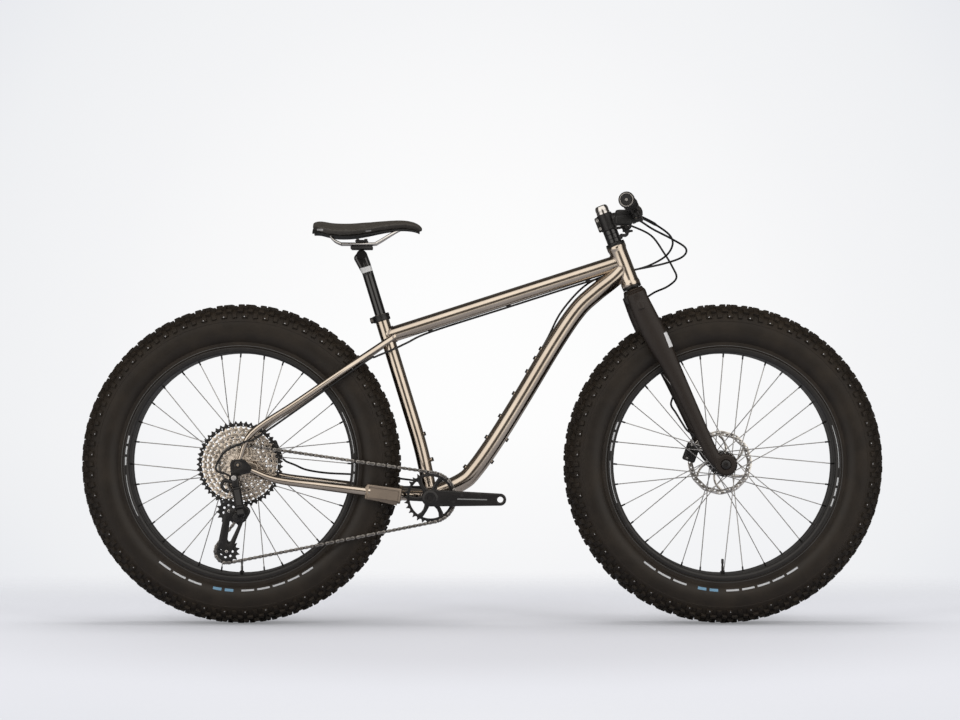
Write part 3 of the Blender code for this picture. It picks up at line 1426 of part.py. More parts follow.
def lever_pivot(side):
    """The brake lever's pivot."""
    out, reach, _ = lever_ways(side)
    return on_bar(side, LEVER_CLAMP_SIDE) + LEVER_PIVOT_OUT * out + LEVER_PIVOT_REACH * reach


def brake_lever(hand, side):
    """Lever body with its clamp and cylinder, and the blade that turns on it."""
    out, reach, across = lever_ways(side)
    seat = on_bar(side, LEVER_CLAMP_SIDE)
    bore = (BAR_RADIUS + FIT) / math.cos(math.pi / 16)
    body = ring_between(
        "brake_lever_body_" + hand, seat - 0.006 * out, seat + 0.006 * out, bore, 0.0165, BLACK_METAL
    )
    line = seat + LEVER_BODY_REACH * reach
    cylinder_body = cylinder(
        "cylinder", line - 0.050 * out, line + 0.012 * out, LEVER_BODY_RADIUS, BLACK_METAL, sides=10
    )
    turn = Matrix((out, reach, across)).transposed().to_quaternion()
    bridge = block("bridge", seat + 0.017 * reach, (0.011, 0.010, 0.018), BLACK_METAL, turn)
    ear_end = LEVER_PIVOT_REACH - LEVER_BLADE_RADIUS - FIT
    ear_spot = seat + (LEVER_PIVOT_OUT - 0.007) * out + (ear_end - 0.008) * reach
    ear = block("ear", ear_spot, (0.014, 0.016, 0.012), BLACK_METAL, turn)
    body = combine(body, [cylinder_body, bridge, ear])
    pivot = lever_pivot(side)
    spots = [
        pivot,
        pivot + 0.045 * out + 0.008 * reach,
        pivot + 0.095 * out + 0.005 * reach,
        pivot + 0.118 * out + 0.011 * reach,
    ]
    radii = [LEVER_BLADE_RADIUS, LEVER_BLADE_RADIUS, 0.0042, 0.0055]
    blade = tube("brake_lever_" + hand, spots, radii, BLACK_METAL, 2)
    return body, blade


def shifter():
    """Shifter body under the right side of the bar, with thumb lever and release lever."""
    way = bar_way(-1)
    seat = on_bar(-1, SHIFTER_SIDE)
    bore = (BAR_RADIUS + FIT) / math.cos(math.pi / 16)
    body = ring_between(
        "shifter_body", seat - 0.005 * way, seat + 0.005 * way, bore, 0.0155, BLACK_PLASTIC
    )
    middle = seat + Vector((SHIFTER_PLACE[0], 0, SHIFTER_PLACE[1]))
    case = block("case", middle, SHIFTER_SIZE, BLACK_PLASTIC, bevel=0.004)
    neck_spot = seat + Vector((-0.006, 0, -0.0195))
    neck = block("neck", neck_spot, (0.014, 0.009, 0.014), BLACK_PLASTIC)
    body = combine(body, [case, neck])
    pivot = shifter_pivot()
    levers = []
    for name, drop, tip in (
        ("shifter_thumb_lever", 0.0, Vector((-0.020, -0.036, -0.004))),
        ("shifter_release_lever", SHIFTER_HUB_HEIGHT + FIT, Vector((0.010, -0.030, -0.003))),
    ):
        top = pivot - Vector((0, 0, drop))
        foot = top - Vector((0, 0, SHIFTER_HUB_HEIGHT))
        hub = cylinder(name, foot, top, SHIFTER_HUB_RADIUS, BLACK_PLASTIC, sides=12)
        start = (top + foot) / 2
        paddle = tube("paddle", [start, start + 0.6 * tip, start + tip], 0.0034, BLACK_PLASTIC, 1)
        levers.append(combine(hub, [paddle]))
    return body, *levers


def shifter_pivot():
    """The top of the shifter levers' common pivot, under the case."""
    seat = on_bar(-1, SHIFTER_SIDE)
    height = SHIFTER_PLACE[1] - SHIFTER_SIZE[2] / 2 - FIT
    return seat + Vector((SHIFTER_PLACE[0] + 0.004, -0.008, height))


POST_END = on_seat_tube(POST_STICKS_OUT)
RAIL_LINE = POST_END + Vector((0, 0, RAIL_HEIGHT))


CRADLE_FOOT = RAIL_HEIGHT - RAIL_RADIUS - FIT - CRADLE_SIZE[2]
POST_HEAD = POST_END + Vector((0, 0, CRADLE_FOOT - FIT - POST_HEAD_RADIUS))


def seat_post():
    """The seat post, and the round head that the saddle clamp tilts on."""
    post = cylinder("seatpost", on_seat_tube(-POST_INSERTION), POST_END, SEAT_POST_RADIUS, CARBON)
    half = POST_HEAD_WIDTH / 2 * LEFT
    return combine(post, [cylinder("head", POST_HEAD - half, POST_HEAD + half, POST_HEAD_RADIUS, CARBON)])


def saddle_clamps():
    """The cradle under the rails, and the plates and bolts over them."""
    low = RAIL_RADIUS + FIT
    cradle_spot = RAIL_LINE - Vector((0, 0, low + CRADLE_SIZE[2] / 2))
    cradle = block("saddle_clamp_lower", cradle_spot, CRADLE_SIZE, BLACK_METAL, bevel=0.002)
    over_spot = RAIL_LINE + Vector((0, 0, low + 0.003))
    over = block("saddle_clamp_upper", over_spot, (0.030, 0.052, 0.006), BLACK_METAL, bevel=0.0015)
    bolts = []
    for ahead in (-0.010, 0.010):
        foot = RAIL_LINE + Vector((ahead, 0, FIT - low))
        bolts.append(cylinder("bolt", foot, foot + Vector((0, 0, 0.017)), 0.003, STEEL, sides=8))
    return [cradle, combine(over, bolts)]


def saddle_rails():
    """Both rails, one wire bent round at the nose."""
    spots = [RAIL_LINE + Vector(bend) for bend in RAIL_BENDS]
    mirrored = [Vector((spot.x, -spot.y, spot.z)) for spot in spots[-2::-1]]
    return tube("saddle_rails", smooth_route(spots + mirrored, 1), RAIL_RADIUS, SILVER, 2)


def saddle_spot(section, share, depth):
    """A point of the saddle: share runs from -1 to 1 across it, depth is down from its top."""
    ahead, half_width, height, droop = section
    side = (half_width - 0.5 * depth) * share
    return POST_END + Vector((ahead, side, height - droop * share * share - depth))


def saddle_layer(name, top, bottom, colour):
    """A layer of the saddle between two depths."""
    work = bmesh.new()
    shares = [2 * step / SADDLE_ACROSS - 1 for step in range(SADDLE_ACROSS + 1)]
    rows = []
    for section in SADDLE_SECTIONS:
        over = [work.verts.new(saddle_spot(section, share, top)) for share in shares]
        under = [work.verts.new(saddle_spot(section, share, bottom)) for share in reversed(shares)]
        rows.append(over + under)
    count = len(rows[0])
    for back, front in zip(rows, rows[1:]):
        for step in range(count):
            after = (step + 1) % count
            if step < SADDLE_ACROSS:  # the same diagonals above and below, so the layers nest
                work.faces.new((back[step], back[after], front[after]))
                work.faces.new((back[step], front[after], front[step]))
            else:
                work.faces.new((back[step], back[after], front[step]))
                work.faces.new((back[after], front[after], front[step]))
    for row in (rows[0], rows[-1]):
        for step in range(SADDLE_ACROSS):
            work.faces.new((row[step], row[step + 1], row[count - 2 - step], row[count - 1 - step]))
    bmesh.ops.recalc_face_normals(work, faces=work.faces[:])
    return from_bmesh(name, work, colour, (0, 0, 0))


def caliper_place(centre, rotor_side, angle):
    """The middle of a caliper, and its turn: local X points away from the axle."""
    outward = Vector((math.cos(angle), 0, math.sin(angle)))
    return centre + CALIPER_REACH * outward + rotor_side * LEFT, Quaternion((0, 1, 0), -angle)


def caliper(name, place, lean, port):
    """A brake caliper that straddles its rotor, its lug, and the port that its hose goes into."""
    seat, turn = place
    body = block(name, seat, CALIPER_SIZE, BLACK_METAL, turn, bevel=0.004)
    slot_spot = seat - turn @ Vector((0.010, 0, 0))
    slot = block("slot", slot_spot, (0.036, ROTOR_THICKNESS + 0.003, 0.06), BLACK_METAL, turn)
    body = combine(body, [slot], "DIFFERENCE")
    lug = block("lug", seat + lean, CALIPER_LUG, BLACK_METAL, turn)
    end, way = port_end(place, port)
    start = end - (PORT_HEIGHT + 0.004) * way
    return combine(body, [lug, cylinder("port", start, end, PORT_RADIUS, BLACK_METAL, sides=8)])


def port_end(place, port):
    """Where a caliper's port ends, and the way that it faces."""
    seat, turn = place
    end, way = port
    return seat + turn @ Vector(end), turn @ Vector(way)


FRONT_CALIPER = caliper_place(FRONT_AXLE, FRONT_HUB_WIDTH / 2 - ROTOR_INSET, FRONT_CALIPER_ANGLE)
REAR_CALIPER = caliper_place(REAR_AXLE, REAR_HUB_WIDTH / 2 - ROTOR_INSET, REAR_CALIPER_ANGLE)
FRONT_PORT = ((CALIPER_SIZE[0] / 4, 0, -CALIPER_SIZE[2] / 2 - PORT_HEIGHT), (0, 0, -1))
REAR_PORT = ((CALIPER_SIZE[0] / 2 + PORT_HEIGHT, 0, 0), (1, 0, 0))


def hose(name, spots, colour):
    """A round hose through these points."""
    return tube(name, smooth_route([Vector(spot) for spot in spots], 2), HOSE_RADIUS, colour, 0)


def straight_end(end, way):
    """The straight stretch of a hose that leaves a fitting at a point, in a direction."""
    return [end + distance * way for distance in (FIT, 0.005, 0.012)]


def lever_end(side):
    """The straight stretch of the hose that leaves a brake lever's body."""
    out, reach, _ = lever_ways(side)
    end = on_bar(side, LEVER_CLAMP_SIDE) + LEVER_BODY_REACH * reach - 0.050 * out
    return straight_end(end, -out)


def shift_housing():
    """The shift housing: free loop, guides under the top tube, right seat stay, derailleur."""
    case = on_bar(-1, SHIFTER_SIDE) + Vector((SHIFTER_PLACE[0], 0, SHIFTER_PLACE[1]))
    start = case + Vector((0.014, SHIFTER_SIZE[1] / 2, 0.003))
    spots = [*straight_end(start, LEFT), *SHIFT_LOOP]
    for share in reversed(GUIDE_SHARES):
        seat, _, down = guide_spot(share)
        spots.append(seat + (GUIDE_SIZE[2] / 2 + FIT + HOSE_RADIUS) * down)
    spots += SHIFT_TAIL
    outside = REAR_DROPOUT_SIDE + DROPOUT_THICKNESS / 2 + 0.010
    end = Vector((HANGER.x, -outside, HANGER.z))
    back = Vector((-0.9, 0, 0.436))
    spots += straight_end(end + (HANGER_RADIUS + FIT) * back, back)[::-1]
    return hose("shift_housing", spots, BLACK_PLASTIC)


def rear_brake_hose():
    """The rear brake hose: free loop, down tube, left chainstay, caliper."""
    spots = [*lever_end(-1), *BRAKE_LOOP]
    for share in DOWN_TUBE_STRETCH:
        seat, way = beside_down_tube(share, 1)
        middle = seat - DOWN_TUBE_RADIUS * way
        spots.append(middle + HOSE_BESIDE_TUBE[0] * way + HOSE_BESIDE_TUBE[1] * LEFT)
    spots += BRAKE_TAIL
    spots += straight_end(*port_end(REAR_CALIPER, REAR_PORT))[::-1]
    return hose("rear_brake_hose", spots, BLACK_PLASTIC)


def front_brake_hose():
    """The front brake hose: from the left lever round the crown and down the left fork leg."""
    spots = [*lever_end(1), *FRONT_BRAKE_LOOP]
    shares = [bend[0] for bend in FORK_LEG_BENDS]
    for share in LEG_STRETCH:
        index = next(index for index, reached in enumerate(shares) if reached <= share)
        above, below = FORK_LEG_BENDS[index - 1], FORK_LEG_BENDS[index]
        part = (above[0] - share) / (above[0] - below[0])
        ahead = above[1] + part * (below[1] - above[1])
        half_width = above[2] + part * (below[2] - above[2])
        left = FORK_LEG_SIDE + 0.8 * FORK_LEG_FLATNESS * half_width + HOSE_RADIUS + 0.003
        spots.append(on_steerer(share * FORK_LENGTH, ahead - 0.6 * half_width, left))
    spots += [on_steerer(*spot) for spot in FRONT_BRAKE_TAIL]
    spots += straight_end(*port_end(FRONT_CALIPER, FRONT_PORT))[::-1]
    return hose("front_brake_hose", spots, BLACK_PLASTIC)


# Assembly: what stays with the frame, then each moving body on its own pivot.
frame()
seat_collar()
headset_cups()
bracket_cups()
derailleur_hanger()
through_axle("rear_thru_axle", REAR_AXLE, REAR_HUB_WIDTH, REAR_AXLE_RADIUS, DROPOUT_THICKNESS)
caliper("rear_brake_caliper", REAR_CALIPER, REAR_CALIPER_LEAN, REAR_PORT)
rear_brake_hose()
shift_housing()
chain()
b_knuckle, outer_link, inner_link, p_knuckle, cage = derailleur()

cradle, clamp_plates = saddle_clamps()
hang_on("seat_height_pivot", SEAT_TOP, [seat_post()])
hang_on("saddle_tilt_pivot", POST_HEAD, [cradle, clamp_plates])
hang_on(
    "saddle_slide_pivot",
    RAIL_LINE,
    [
        saddle_rails(),
        saddle_layer("saddle_pad", 0, PAD_THICKNESS, COVER),
        saddle_layer("saddle_shell", SHELL_TOP, SHELL_TOP + SHELL_THICKNESS, BLACK_PLASTIC),
    ],
)

hang_on(
    "steering_pivot",
    STEER_FOOT,
    [
        fork(),
        *steerer_spacers(),
        *stem(),
        handlebar(),
        grip("grip_right", -1),
        grip("grip_left", 1),
        caliper("front_brake_caliper", FRONT_CALIPER, FRONT_CALIPER_LEAN, FRONT_PORT),
        front_brake_hose(),
        through_axle("front_thru_axle", FRONT_AXLE, FRONT_HUB_WIDTH, FRONT_AXLE_RADIUS, FORK_END_THICKNESS),
    ],
)
for hand, side in (("right", -1), ("left", 1)):
    lever_body, blade = brake_lever(hand, side)
    hang_on("lever_body_pivot_" + hand, on_bar(side, LEVER_CLAMP_SIDE), [lever_body])
    hang_on("brake_lever_pivot_" + hand, lever_pivot(side), [blade])
shifter_body, thumb_lever, release_lever = shifter()
hang_on("shifter_clamp_pivot", on_bar(-1, SHIFTER_SIDE), [shifter_body])
hang_on("thumb_lever_pivot", shifter_pivot(), [thumb_lever])
hang_on("release_lever_pivot", shifter_pivot(), [release_lever])

front_wheel = wheel(
    "front", FRONT_AXLE, FRONT_HUB_WIDTH, FRONT_FLANGE_LEFT, FRONT_FLANGE_RIGHT, FRONT_AXLE_RADIUS
)
hang_on("front_wheel_pivot", FRONT_AXLE, front_wheel)
rear_wheel = wheel(
    "rear", REAR_AXLE, REAR_HUB_WIDTH, REAR_FLANGE_LEFT, REAR_FLANGE_RIGHT, REAR_AXLE_RADIUS
)
hang_on("rear_wheel_pivot", REAR_AXLE, rear_wheel)
hang_on("cassette_pivot", REAR_AXLE, [cassette_cogs(), cassette_big_cog()])
cranks = [
    crank("crank_arm_right", -1, 1),
    crank("crank_arm_left", 1, -1),
    chainring(),
]
hang_on("crank_pivot", BRACKET, cranks)

link_top = REAR_AXLE + LINK_TOP
hang_on("derailleur_clamp_pivot", HANGER, [b_knuckle])
hang_on("outer_link_pivot", link_top, [outer_link])
hang_on("inner_link_pivot", link_top, [inner_link])
hang_on("p_knuckle_pivot", link_top + LINK_RUN, [p_knuckle])
hang_on("cage_pivot", from_rear_axle(CAGE_PIVOT), [cage])
hang_on("guide_pulley_pivot", from_rear_axle(GUIDE_PULLEY), [pulley("guide_pulley", GUIDE_PULLEY)])
hang_on("tension_pulley_pivot", from_rear_axle(TENSION_PULLEY), [pulley("tension_pulley", TENSION_PULLEY)])
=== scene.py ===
"""Looks of the fat tire bike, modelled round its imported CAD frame. Metres, +X ahead, +Y left, +Z up."""
import json
from math import acos, asin, atan2, copysign, cos, hypot, pi, radians, sin, sqrt

import bmesh
import bpy
from mathutils import Matrix, Quaternion, Vector

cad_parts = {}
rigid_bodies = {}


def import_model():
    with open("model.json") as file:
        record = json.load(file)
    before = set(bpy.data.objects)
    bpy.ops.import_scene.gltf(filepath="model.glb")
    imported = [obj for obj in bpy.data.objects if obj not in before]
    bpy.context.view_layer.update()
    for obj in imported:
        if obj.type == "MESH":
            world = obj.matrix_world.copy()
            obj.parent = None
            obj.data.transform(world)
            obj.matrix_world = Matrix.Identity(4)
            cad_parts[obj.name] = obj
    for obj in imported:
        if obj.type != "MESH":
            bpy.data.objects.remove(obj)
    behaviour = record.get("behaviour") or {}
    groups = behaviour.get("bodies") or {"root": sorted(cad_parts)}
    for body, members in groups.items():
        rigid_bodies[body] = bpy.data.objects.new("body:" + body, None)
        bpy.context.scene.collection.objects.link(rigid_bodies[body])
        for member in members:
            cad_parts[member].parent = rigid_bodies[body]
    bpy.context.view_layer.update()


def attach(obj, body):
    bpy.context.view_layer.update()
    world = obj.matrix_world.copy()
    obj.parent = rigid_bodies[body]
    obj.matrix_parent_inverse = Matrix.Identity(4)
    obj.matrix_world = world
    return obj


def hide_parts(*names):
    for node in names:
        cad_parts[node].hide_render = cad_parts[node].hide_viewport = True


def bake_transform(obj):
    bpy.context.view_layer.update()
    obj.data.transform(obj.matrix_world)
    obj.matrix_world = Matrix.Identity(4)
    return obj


for startup_object in list(bpy.data.objects):
    bpy.data.objects.remove(startup_object, do_unlink=True)
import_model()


def at(x, y, z):
    """A point, or a step, by its three measures."""
    return Vector((x, y, z))


def spun(turn):
    """The way out from a left-right axis, turned up from straight ahead."""
    return at(cos(turn), 0, sin(turn))


LEFT = at(0, 1, 0)
UP = at(0, 0, 1)
FRONT_AXLE = at(0.592, 0, 0.393)
REAR_AXLE = at(-0.592, 0, 0.393)
BRACKET = at(-0.126, 0, 0.313)
FIT = 0.0003
TREAD_REPEATS = 45

# Helpers: how a piece is started, shaped and put in place


def only(*pieces):
    """Selects these pieces alone, the first one active."""
    bpy.ops.object.select_all(action="DESELECT")
    for piece in pieces:
        piece.select_set(True)
    bpy.context.view_layer.objects.active = pieces[0]


def started(name):
    """Names the primitive that was just added."""
    piece = bpy.context.object
    piece.name = name
    return piece


def settle(piece, matrix=None):
    """Moves a piece and puts its place into its mesh."""
    if matrix is not None:
        piece.matrix_world = matrix @ piece.matrix_world
    only(piece)
    bpy.ops.object.transform_apply(location=True, rotation=True, scale=True)
    return piece


def edit(piece, test=None):
    """Opens a piece in edit mode with all of it selected, or the faces that pass the test."""
    only(piece)
    bpy.ops.object.mode_set(mode="EDIT")
    bpy.ops.mesh.select_all(action="SELECT")
    if test:
        pick_faces(piece, test)


def done():
    bpy.ops.object.mode_set(mode="OBJECT")


def pick_faces(piece, test):
    """Selects the faces whose middle and normal pass the test, in edit mode."""
    bpy.ops.mesh.select_mode(type="FACE")
    bpy.ops.mesh.select_all(action="DESELECT")
    for face in bmesh.from_edit_mesh(piece.data).faces:
        if test(face.calc_center_median(), face.normal):
            face.select = True
    bmesh.update_edit_mesh(piece.data)


def sunk(piece, test, border, depth, **settings):
    """Insets the faces that pass the test and sinks them."""
    edit(piece, test)
    bpy.ops.mesh.inset(thickness=border, depth=-depth, **settings)
    done()
    return piece


def modified(piece, kind, **settings):
    """Shapes a piece with one modifier."""
    modifier = piece.modifiers.new("shape", kind)
    for key, setting in settings.items():
        setattr(modifier, key, setting)
    only(piece)
    bpy.ops.object.modifier_apply(modifier=modifier.name)
    return piece


def melted(piece, cell):
    """Runs the parts of a piece into one skin."""
    piece.data.remesh_voxel_size = cell
    only(piece)
    bpy.ops.object.voxel_remesh()
    return piece


def joined(name, pieces):
    """Joins pieces into one."""
    if len(pieces) > 1:
        only(*pieces)
        bpy.ops.object.join()
    pieces[0].name = name
    return pieces[0]


def copied(piece, matrix):
    """A copy of a piece with its own mesh, moved by a matrix."""
    other = piece.copy()
    other.data = piece.data.copy()
    bpy.context.collection.objects.link(other)
    other.data.transform(matrix)
    return other


def about(centre, matrix):
    """A matrix that acts round a centre."""
    return Matrix.Translation(centre) @ matrix @ Matrix.Translation(-centre)


def ring_of(piece, count, centre):
    """Repeats a piece round a left-right axis."""
    turns = [Matrix.Rotation(2 * pi * number / count, 4, LEFT) for number in range(1, count)]
    return joined(piece.name, [piece, *(copied(piece, about(centre, turn)) for turn in turns)])


def framed(*ways):
    """The turn whose local axes are three ways at right angles."""
    return Matrix(ways).transposed().to_4x4()


def along(direction, ahead=None):
    """A turn that points local Z along a direction, and local X as near ahead as it can."""
    up = Vector(direction).normalized()
    side = up.cross(ahead or (at(1, 0, 0) if abs(up.x) < 0.9 else UP)).normalized()
    return framed(side.cross(up), side, up)


def turned(name, profile, centre, axis=LEFT, steps=32):
    """Draws a profile of (radius, distance along the axis) and spins it round the axis."""
    bpy.ops.mesh.primitive_plane_add(size=0.01)
    piece = started(name)
    edit(piece)
    bpy.ops.mesh.select_mode(type="VERT")
    bpy.ops.mesh.merge(type="CENTER")
    bpy.ops.transform.translate(value=(profile[0][0], 0, profile[0][1]))
    for near, far in zip(profile, profile[1:]):
        move = (far[0] - near[0], 0, far[1] - near[1])
        bpy.ops.mesh.extrude_region_move(TRANSFORM_OT_translate={"value": move})
    bpy.ops.mesh.select_all(action="SELECT")
    bpy.ops.mesh.spin(steps=steps, angle=2 * pi, center=(0, 0, 0), axis=(0, 0, 1))
    bpy.ops.mesh.select_all(action="SELECT")
    bpy.ops.mesh.remove_doubles(threshold=0.00001)
    bpy.ops.mesh.normals_make_consistent(inside=False)
    done()
    return settle(piece, Matrix.Translation(centre) @ along(axis))


def rod(name, start, end, radius, sides=16, chamfer=0.0):
    """A turned rod between two points, with its edges broken."""
    start, run = Vector(start), Vector(end) - Vector(start)
    length = run.length
    edge = chamfer or min(radius, length) * 0.12
    profile = [(0, 0), (radius - edge, 0), (radius, edge), (radius, length - edge), (radius - edge, length),
               (0, length)]
    return turned(name, profile, start, run, sides)


def cross_rod(name, middle, half, radius, sides=16, way=LEFT):
    """A rod with its middle at a point, across the bike unless another way is given."""
    return rod(name, middle - half * way, middle + half * way, radius, sides)


def collar(name, start, end, inner, outer, sides=32, edge=0.0006):
    """A turned ring between two points, with its edges broken."""
    length = (end - start).length
    profile = [(inner, 0), (outer - edge, 0), (outer, edge), (outer, length - edge), (outer - edge, length),
               (inner, length), (inner, 0)]
    return turned(name, profile, start, end - start, sides)


def bolt(seat, out, radius, height):
    """A socket head bolt that stands on a seat."""
    socket = radius * 0.55
    profile = [(0, height * 0.4), (socket, height * 0.4), (socket, height), (radius * 0.88, height),
               (radius, height * 0.85), (radius, -0.0005), (0, -0.0005)]
    return turned("bolt", profile, seat, out, 18)


def between(before, start, end, after, t):
    """A value on the smooth curve from start to end, between the two beyond them."""
    return 0.5 * (2 * start + (end - before) * t + (2 * before - 5 * start + 4 * end - after) * t * t
                  + (3 * start - before - 3 * end + after) * t * t * t)


def smooth_route(points, parts):
    """Points of a smooth curve through the given ones, with parts steps between each two."""
    spots = [Vector(point) for point in points]
    ends = [2 * spots[0] - spots[1], *spots, 2 * spots[-1] - spots[-2]]
    fours = zip(ends, ends[1:], ends[2:], ends[3:])
    return [between(*four, step / parts) for four in fours for step in range(parts)] + [spots[-1]]


def smooth_widths(widths, parts):
    return [spot.x for spot in smooth_route([(width, 0, 0) for width in widths], parts)]


def drawn(name, lines, dimensions, closed, radii=1.0):
    """Starts a curve of straight stretches. radii is one radius or one for each point."""
    bpy.ops.curve.primitive_nurbs_path_add()
    piece = started(name)
    piece.data.splines.clear()
    piece.data.dimensions = dimensions
    for line in lines:
        path = piece.data.splines.new("POLY")
        path.points.add(len(line) - 1)
        for number, (point, spot) in enumerate(zip(path.points, line)):
            point.co = (*spot, 0, 1)[:3] + (1,)
            point.radius = radii[number] if isinstance(radii, list) else radii
        path.use_cyclic_u = closed
    return piece


def meshed(piece):
    """Turns a curve into a mesh and merges its doubled points."""
    only(piece)
    bpy.ops.object.convert(target="MESH")
    edit(piece)
    bpy.ops.mesh.remove_doubles(threshold=0.000005)
    done()
    return piece


def swept(name, points, radii, sides=16, closed=False):
    """A tube along a drawn path."""
    piece = drawn(name, [points], "3D", closed, radii)
    piece.data.bevel_depth = 1.0
    piece.data.bevel_resolution = (sides - 4) // 2
    piece.data.use_fill_caps = not closed
    return meshed(piece)


def plate(name, outlines, side, thickness, edge=0.0003, steps=1):
    """A flat plate in the bike's plane: (x, z) outlines, holes among them, cut to a thickness."""
    piece = drawn(name, outlines, "2D", True)
    shape = piece.data
    shape.fill_mode = "BOTH"
    shape.extrude = thickness / 2 - edge
    shape.bevel_depth = edge
    shape.bevel_resolution = steps
    shape.offset = -edge
    return settle(meshed(piece), Matrix.Translation(side * LEFT) @ Matrix.Rotation(pi / 2, 4, "X"))


def box(name, size, middle=(0, 0, 0)):
    """A sharp box, to be shaped further."""
    bpy.ops.mesh.primitive_cube_add(size=1)
    piece = started(name)
    piece.scale = size
    piece.location = middle
    return settle(piece)


def block(name, centre, size, turn=None, bevel=0.0015, segments=2):
    """A box with its edges rounded. turn is a matrix or None."""
    piece = box(name, size)
    edit(piece)
    bpy.ops.mesh.bevel(offset=bevel, segments=segments, affect="EDGES")
    done()
    return settle(piece, Matrix.Translation(centre) @ (turn or Matrix.Identity(4)))


def circle(centre, radius, sides):
    """An outline of (x, z) pairs round a centre."""
    turns = [2 * pi * index / sides for index in range(sides)]
    return [(centre[0] + radius * cos(turn), centre[-1] + radius * sin(turn)) for turn in turns]


def hull(*circles, sides=40):
    """The outline that a string pulled round some circles, given as (centre, radius), takes."""
    spots = sorted({spot for centre, radius in circles for spot in circle(centre, radius, sides)})
    border = []
    for run in (spots, spots[::-1]):
        part = []
        for x, z in run:
            while len(part) > 1 and (part[-1][0] - part[-2][0]) * (z - part[-2][1]) - (
                part[-1][1] - part[-2][1]
            ) * (x - part[-2][0]) <= 1e-10:
                part.pop()
            part.append((x, z))
        border += part[:-1]
    return border


def cut(piece, *cutters):
    """Cuts pieces out of another."""
    for cutter in cutters:
        modified(piece, "BOOLEAN", operation="DIFFERENCE", solver="EXACT", object=cutter)
        bpy.data.objects.remove(cutter, do_unlink=True)
    return piece


def shifted(profile, step):
    """A profile moved along its axis."""
    return [(radius, side + step) for radius, side in profile]


def mirrored(profile):
    """A profile's other half, run back."""
    return [(radius, -side) for radius, side in reversed(profile)]


def finish(name, pieces, material, body, nodes="", angle=40, slot=None):
    """Joins a piece, gives it its material, parents it to the body it moves with and hides the model's parts
    that it stands for.
    """
    piece = joined(name, pieces if isinstance(pieces, list) else [pieces])
    piece.data.materials.clear()
    piece.data.materials.append(material)
    only(piece)
    bpy.ops.object.shade_smooth_by_angle(angle=radians(angle))
    nodes = nodes.split()
    slot = slot or SLOTS[material.name.split(".")[0]]
    if body:
        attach(piece, body)
    if nodes:
        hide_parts(*nodes)
    return piece


# Materials

SLOTS = {}
SURFACE = ("Colour", "Roughness", "Height")


def add(tree, kind, inputs=None, **settings):
    """Adds a shader node: settings are its properties, inputs are numbers or the sockets that feed it."""
    node = tree.nodes.new("ShaderNode" + kind)
    for key, setting in settings.items():
        setattr(node, key, setting)
    for key, given in (inputs or {}).items():
        if isinstance(given, bpy.types.NodeSocket):
            tree.links.new(given, node.inputs[key])
        else:
            node.inputs[key].default_value = given
    return node


def sum_of(tree, operation, *values):
    """The result of a Math node."""
    return add(tree, "Math", dict(enumerate(values)), operation=operation).outputs[0]


def vector(tree, operation, *values):
    """The vector that a Vector Math node puts out."""
    return add(tree, "VectorMath", dict(enumerate(values)), operation=operation).outputs[0]


def reach_of(tree, offset, stretch):
    """How long an offset is, each axis stretched."""
    stretched = vector(tree, "MULTIPLY", offset, stretch)
    return add(tree, "VectorMath", {0: stretched}, operation="LENGTH").outputs["Value"]


def scaled(tree, colour, tone):
    return add(tree, "VectorMath", {0: colour, "Scale": tone}, operation="SCALE").outputs[0]


def blend_colour(tree, share, one, other):
    return add(tree, "Mix", {0: share, 6: one, 7: other}, data_type="RGBA").outputs[2]


def blend_value(tree, share, one, other):
    return add(tree, "Mix", {0: share, 2: one, 3: other}, data_type="FLOAT").outputs[0]


def mapped(tree, value, low, high, bottom=0.0, top=1.0, kind="LINEAR"):
    """A value that goes from bottom to top while another goes from low to high."""
    given = {0: value, 1: low, 2: high, 3: bottom, 4: top}
    return add(tree, "MapRange", given, interpolation_type=kind).outputs[0]


def new_group(name, inputs, outputs=SURFACE):
    """A node group with named inputs and outputs: its tree, what it is given and what it puts out."""
    tree = bpy.data.node_groups.new(name, "ShaderNodeTree")
    for label, start in inputs.items():
        kind = "Float" if isinstance(start, float) else {3: "Vector", 4: "Color"}[len(start)]
        socket = tree.interface.new_socket(label, in_out="INPUT", socket_type="NodeSocket" + kind)
        socket.default_value = start
    for label in outputs:
        kind = "Color" if label == "Colour" else "Float"
        tree.interface.new_socket(label, in_out="OUTPUT", socket_type="NodeSocket" + kind)
    return tree, tree.nodes.new("NodeGroupInput").outputs, tree.nodes.new("NodeGroupOutput").inputs


def object_spot(tree):
    return add(tree, "TexCoord").outputs["Object"]


def noise(tree, scale, detail=3.0, spot=None):
    given = {"Vector": spot or object_spot(tree), "Scale": scale, "Detail": detail}
    return add(tree, "TexNoise", given).outputs["Fac"]


def swayed(tree, value, strength, base):
    """A base value, swayed by how far another stands off one half."""
    return sum_of(tree, "MULTIPLY_ADD", sum_of(tree, "SUBTRACT", value, 0.5), strength, base)


